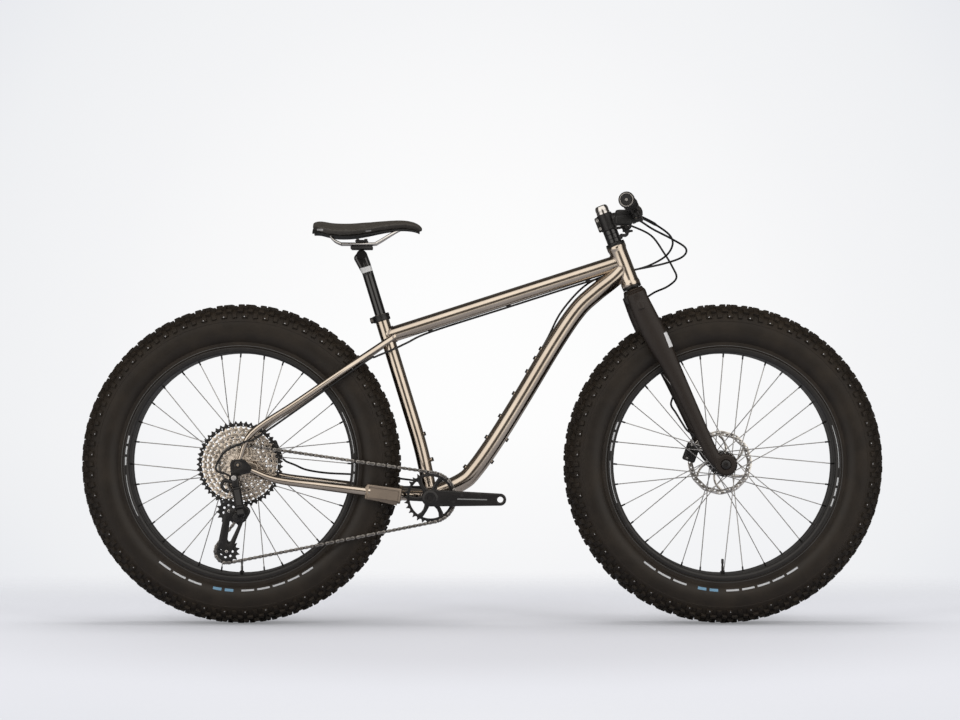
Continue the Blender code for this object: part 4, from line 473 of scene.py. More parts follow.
def wear_group():
    """Uneven tone, fine grain and light scuffs, from a plain colour and roughness."""
    tree, given, result = new_group("surface_wear", {
        "Colour": (0.5, 0.5, 0.5, 1), "Roughness": 0.4, "Grain Scale": 400.0, "Spread": 0.1, "Scuffs": 0.1})
    cloud = noise(tree, 13.0, 2.0)
    grain = noise(tree, given["Grain Scale"], 4.0)
    scuff = sum_of(tree, "MULTIPLY", mapped(tree, noise(tree, 55.0, 6.0), 0.6, 0.78), given["Scuffs"])
    uneven = sum_of(tree, "SUBTRACT", sum_of(tree, "ADD", cloud, grain), 1.0)
    toned = scaled(tree, given["Colour"], sum_of(tree, "MULTIPLY_ADD", uneven, given["Spread"], 1.0))
    tree.links.new(blend_colour(tree, scuff, toned, (0.24, 0.235, 0.23, 1)), result["Colour"])
    rough = sum_of(tree, "MULTIPLY_ADD", uneven, given["Spread"], given["Roughness"])
    tree.links.new(sum_of(tree, "MULTIPLY_ADD", scuff, 0.5, rough), result["Roughness"])
    tree.links.new(sum_of(tree, "MULTIPLY_ADD", cloud, 0.3, grain), result["Height"])
    return tree


def brushed_group():
    """Lines of brushing along a direction, with a warmer and a cooler tone of the metal."""
    tree, given, result = new_group("brushed_metal", {
        "Colour": (0.5, 0.5, 0.5, 1), "Second Colour": (0.4, 0.4, 0.4, 1), "Roughness": 0.25,
        "Stretch": (60.0, 700.0, 700.0)})
    lines = noise(tree, 1.0, 3.0, vector(tree, "MULTIPLY", object_spot(tree), given["Stretch"]))
    share = mapped(tree, noise(tree, 9.0), 0.35, 0.65)
    mixed = blend_colour(tree, share, given["Colour"], given["Second Colour"])
    tree.links.new(scaled(tree, mixed, swayed(tree, lines, 0.14, 1.0)), result["Colour"])
    rough = swayed(tree, lines, 0.1, given["Roughness"])
    tree.links.new(swayed(tree, noise(tree, 38.0, 5.0), 0.12, rough), result["Roughness"])
    tree.links.new(lines, result["Height"])
    return tree


def ring_bars_group():
    """Plain bars on a ring round a centre in the bike's plane, between two shares of a whole turn."""
    tree, given, result = new_group("ring_bars", {
        "Centre": (0, 0, 0), "Radius": 0.3, "Half Width": 0.002, "Start": 0.0, "Span": 0.2, "Bars": 5.0,
        "Filled": 0.7}, ("Mask",))
    offset = vector(tree, "SUBTRACT", object_spot(tree), given["Centre"])
    axes = add(tree, "SeparateXYZ", {0: offset}).outputs
    turn = sum_of(tree, "DIVIDE", sum_of(tree, "ARCTAN2", axes[2], axes[0]), 2 * pi)
    turn = sum_of(tree, "FRACT", sum_of(tree, "ADD", sum_of(tree, "SUBTRACT", turn, given["Start"]), 2.0))
    share = sum_of(tree, "DIVIDE", turn, given["Span"])
    off = sum_of(tree, "ABSOLUTE", sum_of(tree, "SUBTRACT", reach_of(tree, offset, (1, 0, 1)),
                                          given["Radius"]))
    cell = sum_of(tree, "FRACT", sum_of(tree, "MULTIPLY", share, given["Bars"]))
    mask = 1.0
    for value, limit in ((off, given["Half Width"]), (share, 1.0), (cell, given["Filled"])):
        mask = sum_of(tree, "MULTIPLY", mask, sum_of(tree, "LESS_THAN", value, limit))
    tree.links.new(mask, result["Mask"])
    return tree


def panel_group():
    """A plain rectangle printed on a surface: its middle, its two directions, and how deep it reaches."""
    tree, given, result = new_group("printed_panel", {
        "Centre": (0, 0, 0), "Along": (1, 0, 0), "Across": (0, 0, 1), "Half Length": 0.01, "Half Width": 0.01,
        "Depth": 0.01}, ("Mask",))
    offset = vector(tree, "SUBTRACT", object_spot(tree), given["Centre"])
    facing = vector(tree, "CROSS_PRODUCT", given["Along"], given["Across"])
    mask = 1.0
    for way, limit in ((given["Along"], "Half Length"), (given["Across"], "Half Width"), (facing, "Depth")):
        reach = add(tree, "VectorMath", {0: offset, 1: way}, operation="DOT_PRODUCT").outputs["Value"]
        near = sum_of(tree, "LESS_THAN", sum_of(tree, "ABSOLUTE", reach), given[limit])
        mask = sum_of(tree, "MULTIPLY", mask, near)
    tree.links.new(mask, result["Mask"])
    return tree


def rubber_group():
    """Rubber with a fine skin, fine rings on its sidewall and brown bloom in patches."""
    tree, given, result = new_group("tyre_rubber_skin", {
        "Colour": (0.02, 0.018, 0.015, 1), "Bloom": (0.05, 0.04, 0.03, 1), "Centre": (0, 0, 0),
        "Roughness": 0.55})
    reach = reach_of(tree, vector(tree, "SUBTRACT", object_spot(tree), given["Centre"]), (1, 0, 1))
    side_wall = mapped(tree, reach, 0.352, 0.34)
    cloud = noise(tree, 16.0, 4.0)
    rings = sum_of(tree, "SINE", sum_of(tree, "MULTIPLY", reach, 2 * pi / 0.0021))
    bloom = mapped(tree, cloud, 0.42, 0.72, 0.0, 0.8)
    tree.links.new(blend_colour(tree, bloom, given["Colour"], given["Bloom"]), result["Colour"])
    smooth = sum_of(tree, "MULTIPLY_ADD", side_wall, -0.2, given["Roughness"])
    tree.links.new(swayed(tree, cloud, 0.25, smooth), result["Roughness"])
    fine = sum_of(tree, "MULTIPLY", sum_of(tree, "MULTIPLY", rings, side_wall), 0.18)
    tree.links.new(sum_of(tree, "ADD", fine, noise(tree, 900.0)), result["Height"])
    return tree


WEAR = wear_group()
BRUSHED = brushed_group()
RING_BARS = ring_bars_group()
PANEL = panel_group()
RUBBER = rubber_group()


def dressed(name, slot, group, given, metallic, strength, distance=0.0003, coat=0.0, shine=0.5):
    """A material for a slot, whose colour, roughness and bump come from a node group."""
    SLOTS[name] = slot
    made = bpy.data.materials.new(name)
    made.use_nodes = True
    tree = made.node_tree
    inputs = tree.nodes["Principled BSDF"].inputs
    for key, value in (("Metallic", metallic), ("Coat Weight", coat), ("Coat Roughness", 0.12),
                       ("Specular IOR Level", shine)):
        inputs[key].default_value = value
    source = add(tree, "Group", given, node_tree=group).outputs
    height = {"Height": source["Height"], "Strength": strength, "Distance": distance}
    tree.links.new(source["Colour"], inputs["Base Color"])
    tree.links.new(source["Roughness"], inputs["Roughness"])
    tree.links.new(add(tree, "Bump", height).outputs[0], inputs["Normal"])
    return made


def worn(name, slot, colour, roughness, grain, spread, scuffs, strength, coat=0.0, shine=0.32):
    """A finish with uneven tone, grain and a few scuffs."""
    given = {"Colour": (*colour, 1), "Roughness": roughness, "Grain Scale": grain, "Spread": spread,
             "Scuffs": scuffs}
    return dressed(name, slot, WEAR, given, 0.0, strength, coat=coat, shine=shine)


def brushed(name, slot, colour, second, roughness, stretch, strength=0.12):
    """A brushed metal. stretch is how fine its lines are along each axis."""
    given = {"Colour": (*colour, 1), "Second Colour": (*second, 1), "Roughness": roughness,
             "Stretch": stretch}
    return dressed(name, slot, BRUSHED, given, 1.0, strength)


def marked(material, group, given, colour):
    """Prints a plain colour on a material where a mask group says so."""
    tree = material.node_tree
    inputs = tree.nodes["Principled BSDF"].inputs
    mask = add(tree, "Group", given, node_tree=group).outputs["Mask"]
    for key, blend, value in (("Base Color", blend_colour, (*colour, 1)), ("Roughness", blend_value, 0.4)):
        tree.links.new(blend(tree, mask, inputs[key].links[0].from_socket, value), inputs[key])
    return material


def bars(material, centre, radius, half_width, start, span, count, filled, colour):
    """Prints a run of plain bars round a centre; start and span are shares of a whole turn."""
    given = {"Centre": centre, "Radius": radius, "Half Width": half_width, "Start": start, "Span": span,
             "Bars": count, "Filled": filled}
    return marked(material, RING_BARS, given, colour)


def panel(material, centre, along_way, across, half_length, half_width, depth, colour):
    """Prints a plain rectangle."""
    given = {"Centre": centre, "Along": along_way, "Across": across, "Half Length": half_length,
             "Half Width": half_width, "Depth": depth}
    return marked(material, PANEL, given, colour)


def tyre_look(end, centre):
    """Tyre rubber with plain pale bars on the lower part of the sidewall."""
    given = {"Colour": (0.0105, 0.0072, 0.0045, 1), "Bloom": (0.021, 0.015, 0.0095, 1), "Centre": centre,
             "Roughness": 0.62}
    made = dressed(end + "_tyre_rubber", "tyre", RUBBER, given, 0.0, 0.35, 0.0004, shine=0.27)
    # Runs of bars: pale and blue bars low on the sidewall, a thin grey ring by the bead, and pale dots round
    # the shoulder, one for each tread repeat.
    for run in (
        (0.3085, 0.0021, 0.64, 0.065, 3, 0.82, (0.52, 0.52, 0.52)),
        (0.3085, 0.0032, 0.716, 0.03, 2, 0.72, (0.16, 0.3, 0.42)),
        (0.3085, 0.0021, 0.752, 0.1, 5, 0.8, (0.52, 0.52, 0.52)),
        (0.2897, 0.0007, 0.0, 1.0, 1, 1.0, (0.07, 0.068, 0.065)),
        (0.361, 0.0011, 0.0, 1.0, TREAD_REPEATS, 0.045, (0.42, 0.41, 0.4)),
    ):
        bars(made, centre, *run)
    return made


def rim_look(end, centre, start):
    """Black rim with plain pale bars on two parts of its edge."""
    made = worn(end + "_rim_black", "black_metal", (0.014, 0.0125, 0.0115), 0.36, 500.0, 0.1, 0.05, 0.12)
    for first in (start, start + 0.5):
        bars(made, centre, 0.2795, 0.0018, first, 0.045, 3, 0.75, (0.55, 0.55, 0.54))
        bars(made, centre, 0.2795, 0.0007, first + 0.055, 0.06, 1, 1.0, (0.5, 0.5, 0.49))
    return made


TITANIUM = brushed("brushed_titanium", "titanium", (0.5, 0.435, 0.365), (0.42, 0.36, 0.3), 0.165,
                   (90, 500, 500), 0.08)
YOKE_METAL = brushed("blasted_titanium", "titanium", (0.25, 0.205, 0.165), (0.2, 0.165, 0.135), 0.36,
                     (300, 300, 300), 0.2)
WELD = brushed("weld_bead", "titanium", (0.45, 0.39, 0.33), (0.32, 0.28, 0.26), 0.3, (500, 500, 500), 0.2)
CARBON = worn("black_carbon", "carbon", (0.013, 0.0085, 0.006), 0.46, 700.0, 0.1, 0.04, 0.1)
GLOSS = worn("gloss_black", "carbon", (0.0085, 0.008, 0.008), 0.16, 700.0, 0.04, 0.03, 0.04, 0.6)
BLACK_METAL = worn("black_anodised", "black_metal", (0.011, 0.01, 0.0095), 0.34, 600.0, 0.12, 0.08, 0.15)
GRIP = worn("grip_rubber", "grip", (0.0095, 0.0095, 0.009), 0.72, 900.0, 0.15, 0.06, 0.5)
PLASTIC = worn("black_plastic", "black_plastic", (0.012, 0.0115, 0.011), 0.45, 800.0, 0.1, 0.05, 0.25)
HOSE = worn("hose_black", "black_plastic", (0.0095, 0.009, 0.009), 0.38, 900.0, 0.08, 0.02, 0.1)
COVER = worn("saddle_cover", "cover", (0.029, 0.025, 0.02), 0.52, 1100.0, 0.12, 0.05, 0.55, 0.0, 0.5)
SILVER = brushed("polished_silver", "silver", (0.62, 0.6, 0.57), (0.5, 0.48, 0.46), 0.2, (400, 400, 400))
STEEL = brushed("spoke_steel", "steel", (0.44, 0.43, 0.42), (0.36, 0.35, 0.34), 0.45, (300, 300, 300))
COG_STEEL = brushed("cog_steel", "silver", (0.6, 0.53, 0.45), (0.44, 0.385, 0.33), 0.26, (250, 250, 250), 0.2)
CHAIN_STEEL = brushed("chain_steel", "steel", (0.1, 0.092, 0.085), (0.07, 0.064, 0.06), 0.34, (500, 500, 500))
LINK_STEEL = brushed("chain_outer_plates", "steel", (0.26, 0.245, 0.23), (0.17, 0.16, 0.15), 0.28,
                     (500, 500, 500))

# Wheels

CASING_MIDDLE = 0.3345
CASING_TALL = 0.05
CASING_WIDE = 0.0602
CASING_POWER = 0.8
CASING_TOP = CASING_MIDDLE + CASING_TALL


def casing_point(turn, inset=0.0):
    """(radius, side) on the casing: turn is 0 at its widest place and a quarter turn at the crown."""
    lift = copysign(abs(sin(turn)) ** CASING_POWER, turn)
    reach = max(cos(turn), 0.0) ** CASING_POWER
    return CASING_MIDDLE + (CASING_TALL - inset) * lift, (CASING_WIDE - inset) * reach


def casing(centre):
    """The tyre's casing, with mould lines on its sidewall and a step where the tread begins."""
    outer = [(0.28, 0.0468), (0.2868, 0.0472), (0.2885, 0.0482), (0.2902, 0.0474)]
    outer += [casing_point(turn) for turn in (-0.72, -0.6, -0.46, -0.32, -0.18, -0.04, 0.1, 0.2)]
    outer.append(casing_point(0.215, -0.0008))
    outer += [casing_point(turn, -0.001) for turn in (0.3, 0.42, 0.56, 0.72, 0.9, 1.1, 1.34)]
    inner = [(0.28, 0.044), *(casing_point(turn, 0.003) for turn in (-0.6, -0.2, 0.2, 0.6, 1.1))]
    inner.append((CASING_TOP - 0.003, 0.0))
    loop = [*outer, (CASING_TOP + 0.0008, 0.0), *mirrored(outer), *mirrored(inner[::-1]), *inner[-2::-1],
            outer[0]]
    return turned("casing", loop, centre, LEFT, 96)


def knob(centre, side, share, length, width, height=0.0065, skew=0.0):
    """One tread block: a box shaped by hand, seated on the casing. share is its place in the repeat."""
    turn = acos((abs(side) / CASING_WIDE) ** (1 / CASING_POWER)) if side else pi / 2
    radius, reach = casing_point(turn, -0.0008)
    near = casing_point(turn - 0.02)
    far = casing_point(min(turn + 0.02, pi / 2))
    run = at(far[0] - near[0], 0, far[1] - near[1]) if side else at(0, 0, -1)
    normal = at(-run.z, 0, run.x).normalized()
    sign = -1 if side < 0 else 1
    piece = box("knob", (length, width, height + 0.0015), (0, 0, height / 2 - 0.00075))
    edit(piece, lambda _, way: way.z > 0.9)
    bpy.ops.transform.resize(value=(0.8, 0.8, 1))
    bpy.ops.mesh.inset(thickness=min(length, width) * 0.09, depth=0.0)
    bpy.ops.transform.translate(value=(0, 0, 0.0004))
    pick_faces(piece, lambda _, way: way.z < -0.9)
    bpy.ops.mesh.delete(type="FACE")
    done()
    place = Matrix.Translation((0, sign * reach, radius)) @ along((0, sign * normal.z, normal.x), at(1, 0, 0))
    settle(piece, place @ Matrix.Rotation(sign * skew, 4, "Z"))
    turn = Matrix.Rotation(2 * pi * share / TREAD_REPEATS, 4, LEFT)
    return settle(piece, Matrix.Translation(centre) @ turn)


def tread(centre):
    """All the tread blocks: one repeat is modelled, then copied round the wheel."""
    unit = [knob(centre, sign * side, *block_size) for sign in (-1, 1) for side, *block_size in (
        (0.0095, 0.0, 0.015, 0.014, 0.0065, 0.1), (0.0175, 0.5, 0.0165, 0.013, 0.0065, -0.2),
        (0.032, 0.22, 0.015, 0.012, 0.0062, 0.15), (0.0335, 0.74, 0.0165, 0.011, 0.0062, -0.1),
        (0.046, 0.02, 0.016, 0.01, 0.006), (0.0465, 0.5, 0.014, 0.011, 0.006, 0.15),
        (0.055, 0.26, 0.015, 0.012, 0.0045), (0.055, 0.75, 0.012, 0.013, 0.0045, -0.1),
    )]
    unit.append(knob(centre, 0.0, 0.27, 0.01, 0.012))
    return ring_of(joined("tread", unit), TREAD_REPEATS, centre)


def rim(centre):
    """The rim: a wide hoop with rounded corners, a hooked edge and a shallow spoke bed."""
    half = [
        (0.279, 0.0468), (0.285, 0.047), (0.2855, 0.0482), (0.2852, 0.0497), (0.2838, 0.05), (0.2785, 0.05),
        (0.2752, 0.0492), (0.2726, 0.047), (0.2712, 0.043), (0.2706, 0.033), (0.2712, 0.027), (0.2722, 0.024),
        (0.2712, 0.021), (0.2706, 0.015),
    ]
    inner = [(0.2745, 0.03), (0.278, 0.038)]
    return turned("rim", [*half, *mirrored(half), *mirrored(inner), *inner, half[0]], centre, LEFT, 96)


def valve(centre):
    """The valve stem with its lock nut and cap."""
    profile = [
        (0, -0.004), (0.003, -0.004), (0.003, 0.0035), (0.0058, 0.0035), (0.0058, 0.0062), (0.003, 0.0066),
        (0.003, 0.018), (0.0025, 0.0185), (0.0025, 0.024), (0.0033, 0.0245), (0.0033, 0.034), (0.0024, 0.036),
        (0, 0.0362),
    ]
    return turned("valve", profile, centre - 0.2712 * UP, UP, 16)


def spokes(centre, side, flange):
    """The sixteen spokes of one side, laced three cross, with heads and elbows; and their nipples."""
    wires = []
    nipples = []
    for number, lean in enumerate((-1, 1)):
        turn = pi / 8 * (number + 0.25 * (1 + side))
        seat = centre + 0.0275 * spun(turn - lean * radians(67.5)) + side * flange * LEFT
        lap = lean * 0.0026 * LEFT
        tip = centre + 0.2722 * spun(turn) + side * 0.024 * LEFT
        run = (tip - seat - lap).normalized()
        wires.append(swept("spoke", [seat - 1.3 * lap, seat + 0.5 * lap, seat + lap + 0.0016 * run, tip],
                           0.0012, 8))
        wires.append(rod("head", seat - 0.85 * lap, seat - 1.35 * lap, 0.0021, 10))
        nipples.append(rod("nipple", tip + 0.001 * run, tip - 0.011 * run, 0.0021, 8))
    return [ring_of(joined("set", pieces), 8, centre) for pieces in (wires, nipples)]


def hub(centre, width, left_flange, right_flange, bore):
    """The hub shell with its flanges, waist and end caps."""
    cap = shifted([(bore, 0), (0.0095, 0), (0.01, -0.0008), (0.01, -0.006), (0.0125, -0.0065)],
                  width / 2 - FIT)
    flange = [
        (0.0125, 0.008), (0.0165, 0.0055), (0.02, 0.0024), (0.0302, 0.0018), (0.031, 0.001), (0.031, -0.001),
        (0.0302, -0.0018), (0.02, -0.0024), (0.0185, -0.005), (0.0158, -0.012),
    ]
    left, right = (cap + shifted(flange, place) for place in (left_flange, right_flange))
    return turned("hub", [*left, *mirrored(right), cap[0]], centre, LEFT, 40)


def rotor(centre, middle):
    """The brake disc: a wavy drilled band, curved arms and a bolted centre."""
    rings = []
    for radius, depth, phase in ((0.0793, 0.0007, 0.0), (0.0664, 0.0009, 0.5)):
        turns = [2 * pi * step / 120 for step in range(120)]
        rings.append([(centre + (radius + depth * cos(12 * (turn + phase))) * spun(turn)).xz
                      for turn in turns])
    for step in range(36):
        rings.append(circle(centre + (0.0754, 0.073, 0.0706)[step % 3] * spun(2 * pi * step / 36), 0.0019, 8))
    made = [plate("band", rings, middle, 0.0019)]
    made.append(plate("core", [circle(centre, 0.0235, 48), circle(centre, 0.0128, 32)], middle, 0.0021))
    shares = [step / 6 for step in range(7)]
    run = [centre + middle * LEFT + (0.0215 + share * 0.0465) * spun(0.55 * share ** 1.4) for share in shares]
    arm = swept("arm", run, [0.0044, 0.0036, 0.003, 0.0028, 0.0029, 0.0033, 0.004], 12)
    settle(arm, about(middle * LEFT, Matrix.Scale(0.24, 4, LEFT)))
    head = bolt(centre + (middle + 0.0009) * LEFT + 0.0185 * UP, LEFT, 0.003, 0.0016)
    return made + [ring_of(arm, 6, centre), ring_of(head, 6, centre)]


def through_axle(centre, width, radius, grip):
    """A through axle's two ends, with a tool socket in the right one."""
    reach = width / 2 + grip
    profile = [
        (0, reach + 0.0036), (radius * 1.25, reach + 0.0036), (radius * 1.45, reach + 0.0028),
        (radius * 1.45, reach), (radius - FIT, reach), (radius - FIT, -reach), (radius * 1.45, -reach),
        (radius * 1.45, -reach - 0.002), (radius * 1.25, -reach - 0.0028), (0.0036, -reach - 0.0028),
        (0.0036, -reach + 0.004), (0, -reach + 0.004),
    ]
    return turned("axle", profile, centre, LEFT, 24)


for end, centre, width, left_flange, right_flange, bore, grip, bars_start, axle_body in (
    ("front", FRONT_AXLE, 0.15, 0.046, 0.056, 0.0075, 0.013, -0.06, "steering"),
    ("rear", REAR_AXLE, 0.197, 0.062, 0.046, 0.006, 0.009, 0.46, "frame"),
):
    body = end + "_wheel"
    finish(end + "_tyre_tread", [casing(centre), tread(centre)], tyre_look(end, centre), body, end + "_tyre",
           28)
    finish(end + "_hoop", rim(centre), rim_look(end, centre, bars_start), body, end + "_rim", 30)
    finish(end + "_valve", valve(centre), BLACK_METAL, body)
    for hand, side, flange in (("left", 1, left_flange), ("right", -1, right_flange)):
        wires, nipples = spokes(centre, side, flange)
        finish(f"{end}_laced_spokes_{hand}", wires, STEEL, body, f"{end}_spokes_{hand}", 60)
        finish(f"{end}_nipples_{hand}", nipples, BLACK_METAL, body)
    finish(end + "_hub", hub(centre, width, left_flange, right_flange, bore), BLACK_METAL, body,
           end + "_hub_shell")
    finish(end + "_brake_disc", rotor(centre, width / 2 - 0.0115), SILVER, body, end + "_rotor", slot="steel")
    finish(end + "_axle_ends", through_axle(centre, width, bore, grip), BLACK_METAL, axle_body,
           end + "_thru_axle")

# Frame

HEAD_ANGLE = radians(68.8)
STEER_UP = at(-cos(HEAD_ANGLE), 0, sin(HEAD_ANGLE))
STEER_AHEAD = at(sin(HEAD_ANGLE), 0, cos(HEAD_ANGLE))
STEER_TURN = framed(STEER_AHEAD, LEFT, STEER_UP)
STEER_FOOT = FRONT_AXLE - 0.051 * STEER_AHEAD
SEAT_ANGLE = radians(73)
SEAT_UP = at(-cos(SEAT_ANGLE), 0, sin(SEAT_ANGLE))
SEAT_AHEAD = at(sin(SEAT_ANGLE), 0, cos(SEAT_ANGLE))
SEAT_RISE = 0.447
SEAT_TOP = BRACKET + at(0.0117, 0, 0) + SEAT_UP * SEAT_RISE / sin(SEAT_ANGLE)
FORK_LENGTH = 0.481
HEAD_LOW = 0.4898
HEAD_HIGH = 0.5948
HEAD_RADIUS = 0.022
TOP_RADIUS = 0.019
DOWN_RADIUS = 0.022
SEAT_RADIUS = 0.017
SHELL_RADIUS = 0.0225
DROPOUT_SIDE = 0.103


def on_steerer(height, ahead=0.0, left=0.0):
    """A point by its height along the steering axis, and how far ahead and left of the axis it is."""
    return STEER_FOOT + height * STEER_UP + ahead * STEER_AHEAD + left * LEFT


def on_seat_tube(height, ahead=0.0, left=0.0):
    """A point by its height along the seat tube, measured from the tube's end."""
    return SEAT_TOP + height * SEAT_UP + ahead * SEAT_AHEAD + left * LEFT


def seat_height(rise):
    """The height along the seat tube of a level above the bracket."""
    return (rise - SEAT_RISE) / sin(SEAT_ANGLE)


DOWN_START = on_steerer(0.5378)
TOP_START = on_seat_tube(-0.056)
TOP_END = on_steerer(0.5543)
TOP_RUN = TOP_END - TOP_START
TOP_BELOW = at(TOP_RUN.z, 0, -TOP_RUN.x).normalized()
STAY_START = TOP_START + at(0.02, 0, 0)
STAY_RUN = REAR_AXLE + at(0.034, 0, 0.077) - STAY_START
DOWN_BENDS = (
    (0.0, 0.0), (0.05, -0.0023), (0.13, -0.014), (0.21, -0.0202), (0.34, -0.0105), (0.56, 0.0155),
    (0.72, 0.0326), (0.84, 0.04), (0.9, 0.0347), (1.0, 0.0),
)
CHAINSTAY_BENDS = (
    (0.99, 0.028, 0.0, 0.0125), (0.865, 0.055, -0.006, 0.0125), (0.785, 0.075, -0.0105, 0.012),
    (0.65, 0.0815, -0.012, 0.012), (0.412, 0.089, -0.017, 0.0105), (0.197, 0.102, -0.02, 0.0085),
    (0.07, 0.1033, -0.008, 0.007),
)
SEAT_STAY_BENDS = ((0.0, 0.0235), (0.1, 0.04), (0.25, 0.066), (0.38, 0.08), (0.69, 0.092), (1.0, 0.103))


def down_route(parts):
    """The middle line of the down tube."""
    chord = BRACKET - DOWN_START
    below = at(-chord.z, 0, chord.x).normalized()
    return smooth_route([DOWN_START + share * chord + drop * below for share, drop in DOWN_BENDS], parts)


def on_down_tube(share, above):
    """A point on the down tube's upper (+1) or lower (-1) side, and the way out from the tube there."""
    route = down_route(2)
    chord = BRACKET - DOWN_START
    shares = [(spot - DOWN_START).dot(chord) / chord.dot(chord) for spot in route]
    index = next(index for index, reached in enumerate(shares) if reached >= share)
    part = (share - shares[index - 1]) / (shares[index] - shares[index - 1])
    run = route[index] - route[index - 1]
    out = above * at(run.z, 0, -run.x).normalized()
    return route[index - 1] + part * run + out * DOWN_RADIUS, out


def weld(start, end, small, spot, axis, big):
    """A rippled bead where a tube that starts outside and ends inside a bigger one meets its surface."""
    way = (end - start).normalized()
    side = way.cross(axis).normalized()
    lift = side.cross(way)
    run = way - way.dot(axis) * axis
    count = max(40, int(2 * pi * small / 0.0016) // 2 * 2)
    path = []
    for step in range(count):
        turn = 2 * pi * step / count
        edge = start + small * (cos(turn) * side + sin(turn) * lift)
        gap = (edge - spot) - (edge - spot).dot(axis) * axis
        half = gap.dot(run)
        root = max(half * half - run.dot(run) * (gap.dot(gap) - big * big), 0.0)
        path.append(edge + way * (-half - sqrt(root)) / run.dot(run))
    return swept("weld", path, [0.0023, 0.0017] * (count // 2), 8, closed=True)


def main_triangle():
    """Head tube, top tube, down tube, seat tube and bottom bracket shell."""
    head = [
        (0.0182, 0), (0.0232, 0), (0.0238, 0.001), (0.0238, 0.008), (0.0228, 0.0105), (0.022, 0.015),
        (0.022, 0.09),
        (0.0228, 0.0945), (0.0238, 0.097), (0.0238, 0.104), (0.0232, 0.105), (0.0182, 0.105), (0.0182, 0),
    ]
    shell = [(0.0205, -0.05), (0.0221, -0.05), (0.0226, -0.0494), (0.0226, 0.0494), (0.0221, 0.05),
             (0.0205, 0.05), (0.0205, -0.05)]
    bend = on_seat_tube(seat_height(0.12))
    low = BRACKET.lerp(bend, 0.7)
    high = bend.lerp(SEAT_TOP, 0.15)
    curve = [low.lerp(bend, step / 4).lerp(bend.lerp(high, step / 4), step / 4) for step in range(5)]
    return [
        turned("head_tube", head, on_steerer(HEAD_LOW), STEER_UP, 48),
        swept("top_tube", [TOP_START.lerp(TOP_END, share / 8) for share in range(9)], TOP_RADIUS, 32),
        swept("down_tube", down_route(6), DOWN_RADIUS, 32),
        swept("seat_tube", [BRACKET, *curve, high.lerp(SEAT_TOP, 0.5), SEAT_TOP], SEAT_RADIUS, 32),
        turned("shell", shell, BRACKET, LEFT, 40),
    ]


def stay_routes(side):
    """The middle lines and radii of one chainstay and one seat stay."""
    chain_run = BRACKET - REAR_AXLE
    chain_spots = [REAR_AXLE + share * chain_run + at(0, side * out, lift)
                   for share, out, lift, _ in CHAINSTAY_BENDS]
    seat_spots = [STAY_START + share * STAY_RUN + side * out * LEFT for share, out in SEAT_STAY_BENDS]
    seat_line = smooth_route([*seat_spots, REAR_AXLE + at(0.004, side * DROPOUT_SIDE, 0.012)], 6)
    radii = [0.0078] * (len(seat_line) - 6) + [0.0076, 0.0072, 0.0068, 0.0064, 0.006, 0.0056]
    widths = smooth_widths([bend[-1] for bend in CHAINSTAY_BENDS], 5)
    return smooth_route(chain_spots, 5), widths, seat_line, radii


def stays(side):
    """Chainstay, seat stay and dropout of one side."""
    chain_line, chain_radii, seat_line, seat_radii = stay_routes(side)
    axle = REAR_AXLE + side * DROPOUT_SIDE * LEFT
    tongue = hull((axle, 0.0155), (axle + at(0.036, 0, -0.008), 0.0125))
    foot = hull((axle + at(0.001, 0, 0.006), 0.0085), (axle + at(0.007, 0, 0.024), 0.0062))
    return [
        swept("chainstay", chain_line[14:], chain_radii[14:], 24),
        swept("yoke_arm", chain_line[:9], chain_radii[:9], 24),
        swept("seat_stay", seat_line, seat_radii, 24), plate("dropout", [tongue], axle.y, 0.009, 0.0012, 2),
        plate("dropout_foot", [foot], axle.y, 0.0084, 0.0012, 2),
        collar("dropout_boss", axle + side * 0.004 * LEFT, axle + side * 0.0049 * LEFT, 0.006, 0.0125),
    ]


def yoke(side):
    """The flat yoke plate between a chainstay and the bottom bracket, with a shallow pocket in its face."""
    turn = Quaternion((0, 0, 1), -side * radians(8)) @ Quaternion((0, 1, 0), radians(8))
    spot = REAR_AXLE + 0.752 * (BRACKET - REAR_AXLE) + at(0, side * 0.0765, -0.011)
    piece = block("yoke", spot, (0.088, 0.0225, 0.038), turn.to_matrix().to_4x4(), 0.003, 4)
    edit(piece, lambda _, way: side * way.y > 0.97)
    bpy.ops.mesh.inset(thickness=0.0045, depth=0)
    bpy.ops.mesh.inset(thickness=0.0006, depth=-0.0008)
    done()
    return piece


def frame_welds():
    """A bead at every joint of the frame."""
    route = down_route(6)
    joints = [
        (TOP_START, TOP_END, TOP_RADIUS, TOP_END, STEER_UP, HEAD_RADIUS),
        (TOP_END, TOP_START, TOP_RADIUS, SEAT_TOP, SEAT_UP, SEAT_RADIUS + 0.0023),
        (on_seat_tube(-0.35), BRACKET, SEAT_RADIUS, BRACKET, LEFT, SHELL_RADIUS),
        (route[6], DOWN_START, DOWN_RADIUS - 0.0002, DOWN_START, STEER_UP, HEAD_RADIUS),
        (route[-8], BRACKET, DOWN_RADIUS - 0.0002, BRACKET, LEFT, SHELL_RADIUS),
    ]
    for side in (1, -1):
        chain_line, _, seat_line, _ = stay_routes(side)
        joints.append((chain_line[5], chain_line[0], 0.0125, BRACKET, LEFT, SHELL_RADIUS))
        joints.append((seat_line[8], seat_line[1], 0.0078, SEAT_TOP, SEAT_UP, SEAT_RADIUS))
    return [weld(*joint) for joint in joints]


def bosses():
    """Threaded bosses, with the screws that close them."""
    seats = [on_down_tube(share, 1) for share in (0.383, 0.419, 0.47, 0.555, 0.642, 0.727, 0.852)]
    seats += [on_down_tube(share, -1) for share in (0.698, 0.785)]
    seats += [(on_seat_tube(seat_height(rise), SEAT_RADIUS - 0.0005), SEAT_AHEAD) for rise in (0.085, 0.148)]
    rings = [rod("boss", seat - 0.003 * out, seat + 0.0012 * out, 0.0052, 20, 0.0006) for seat, out in seats]
    return rings, [bolt(seat + 0.0012 * out, out, 0.005, 0.0036) for seat, out in seats]


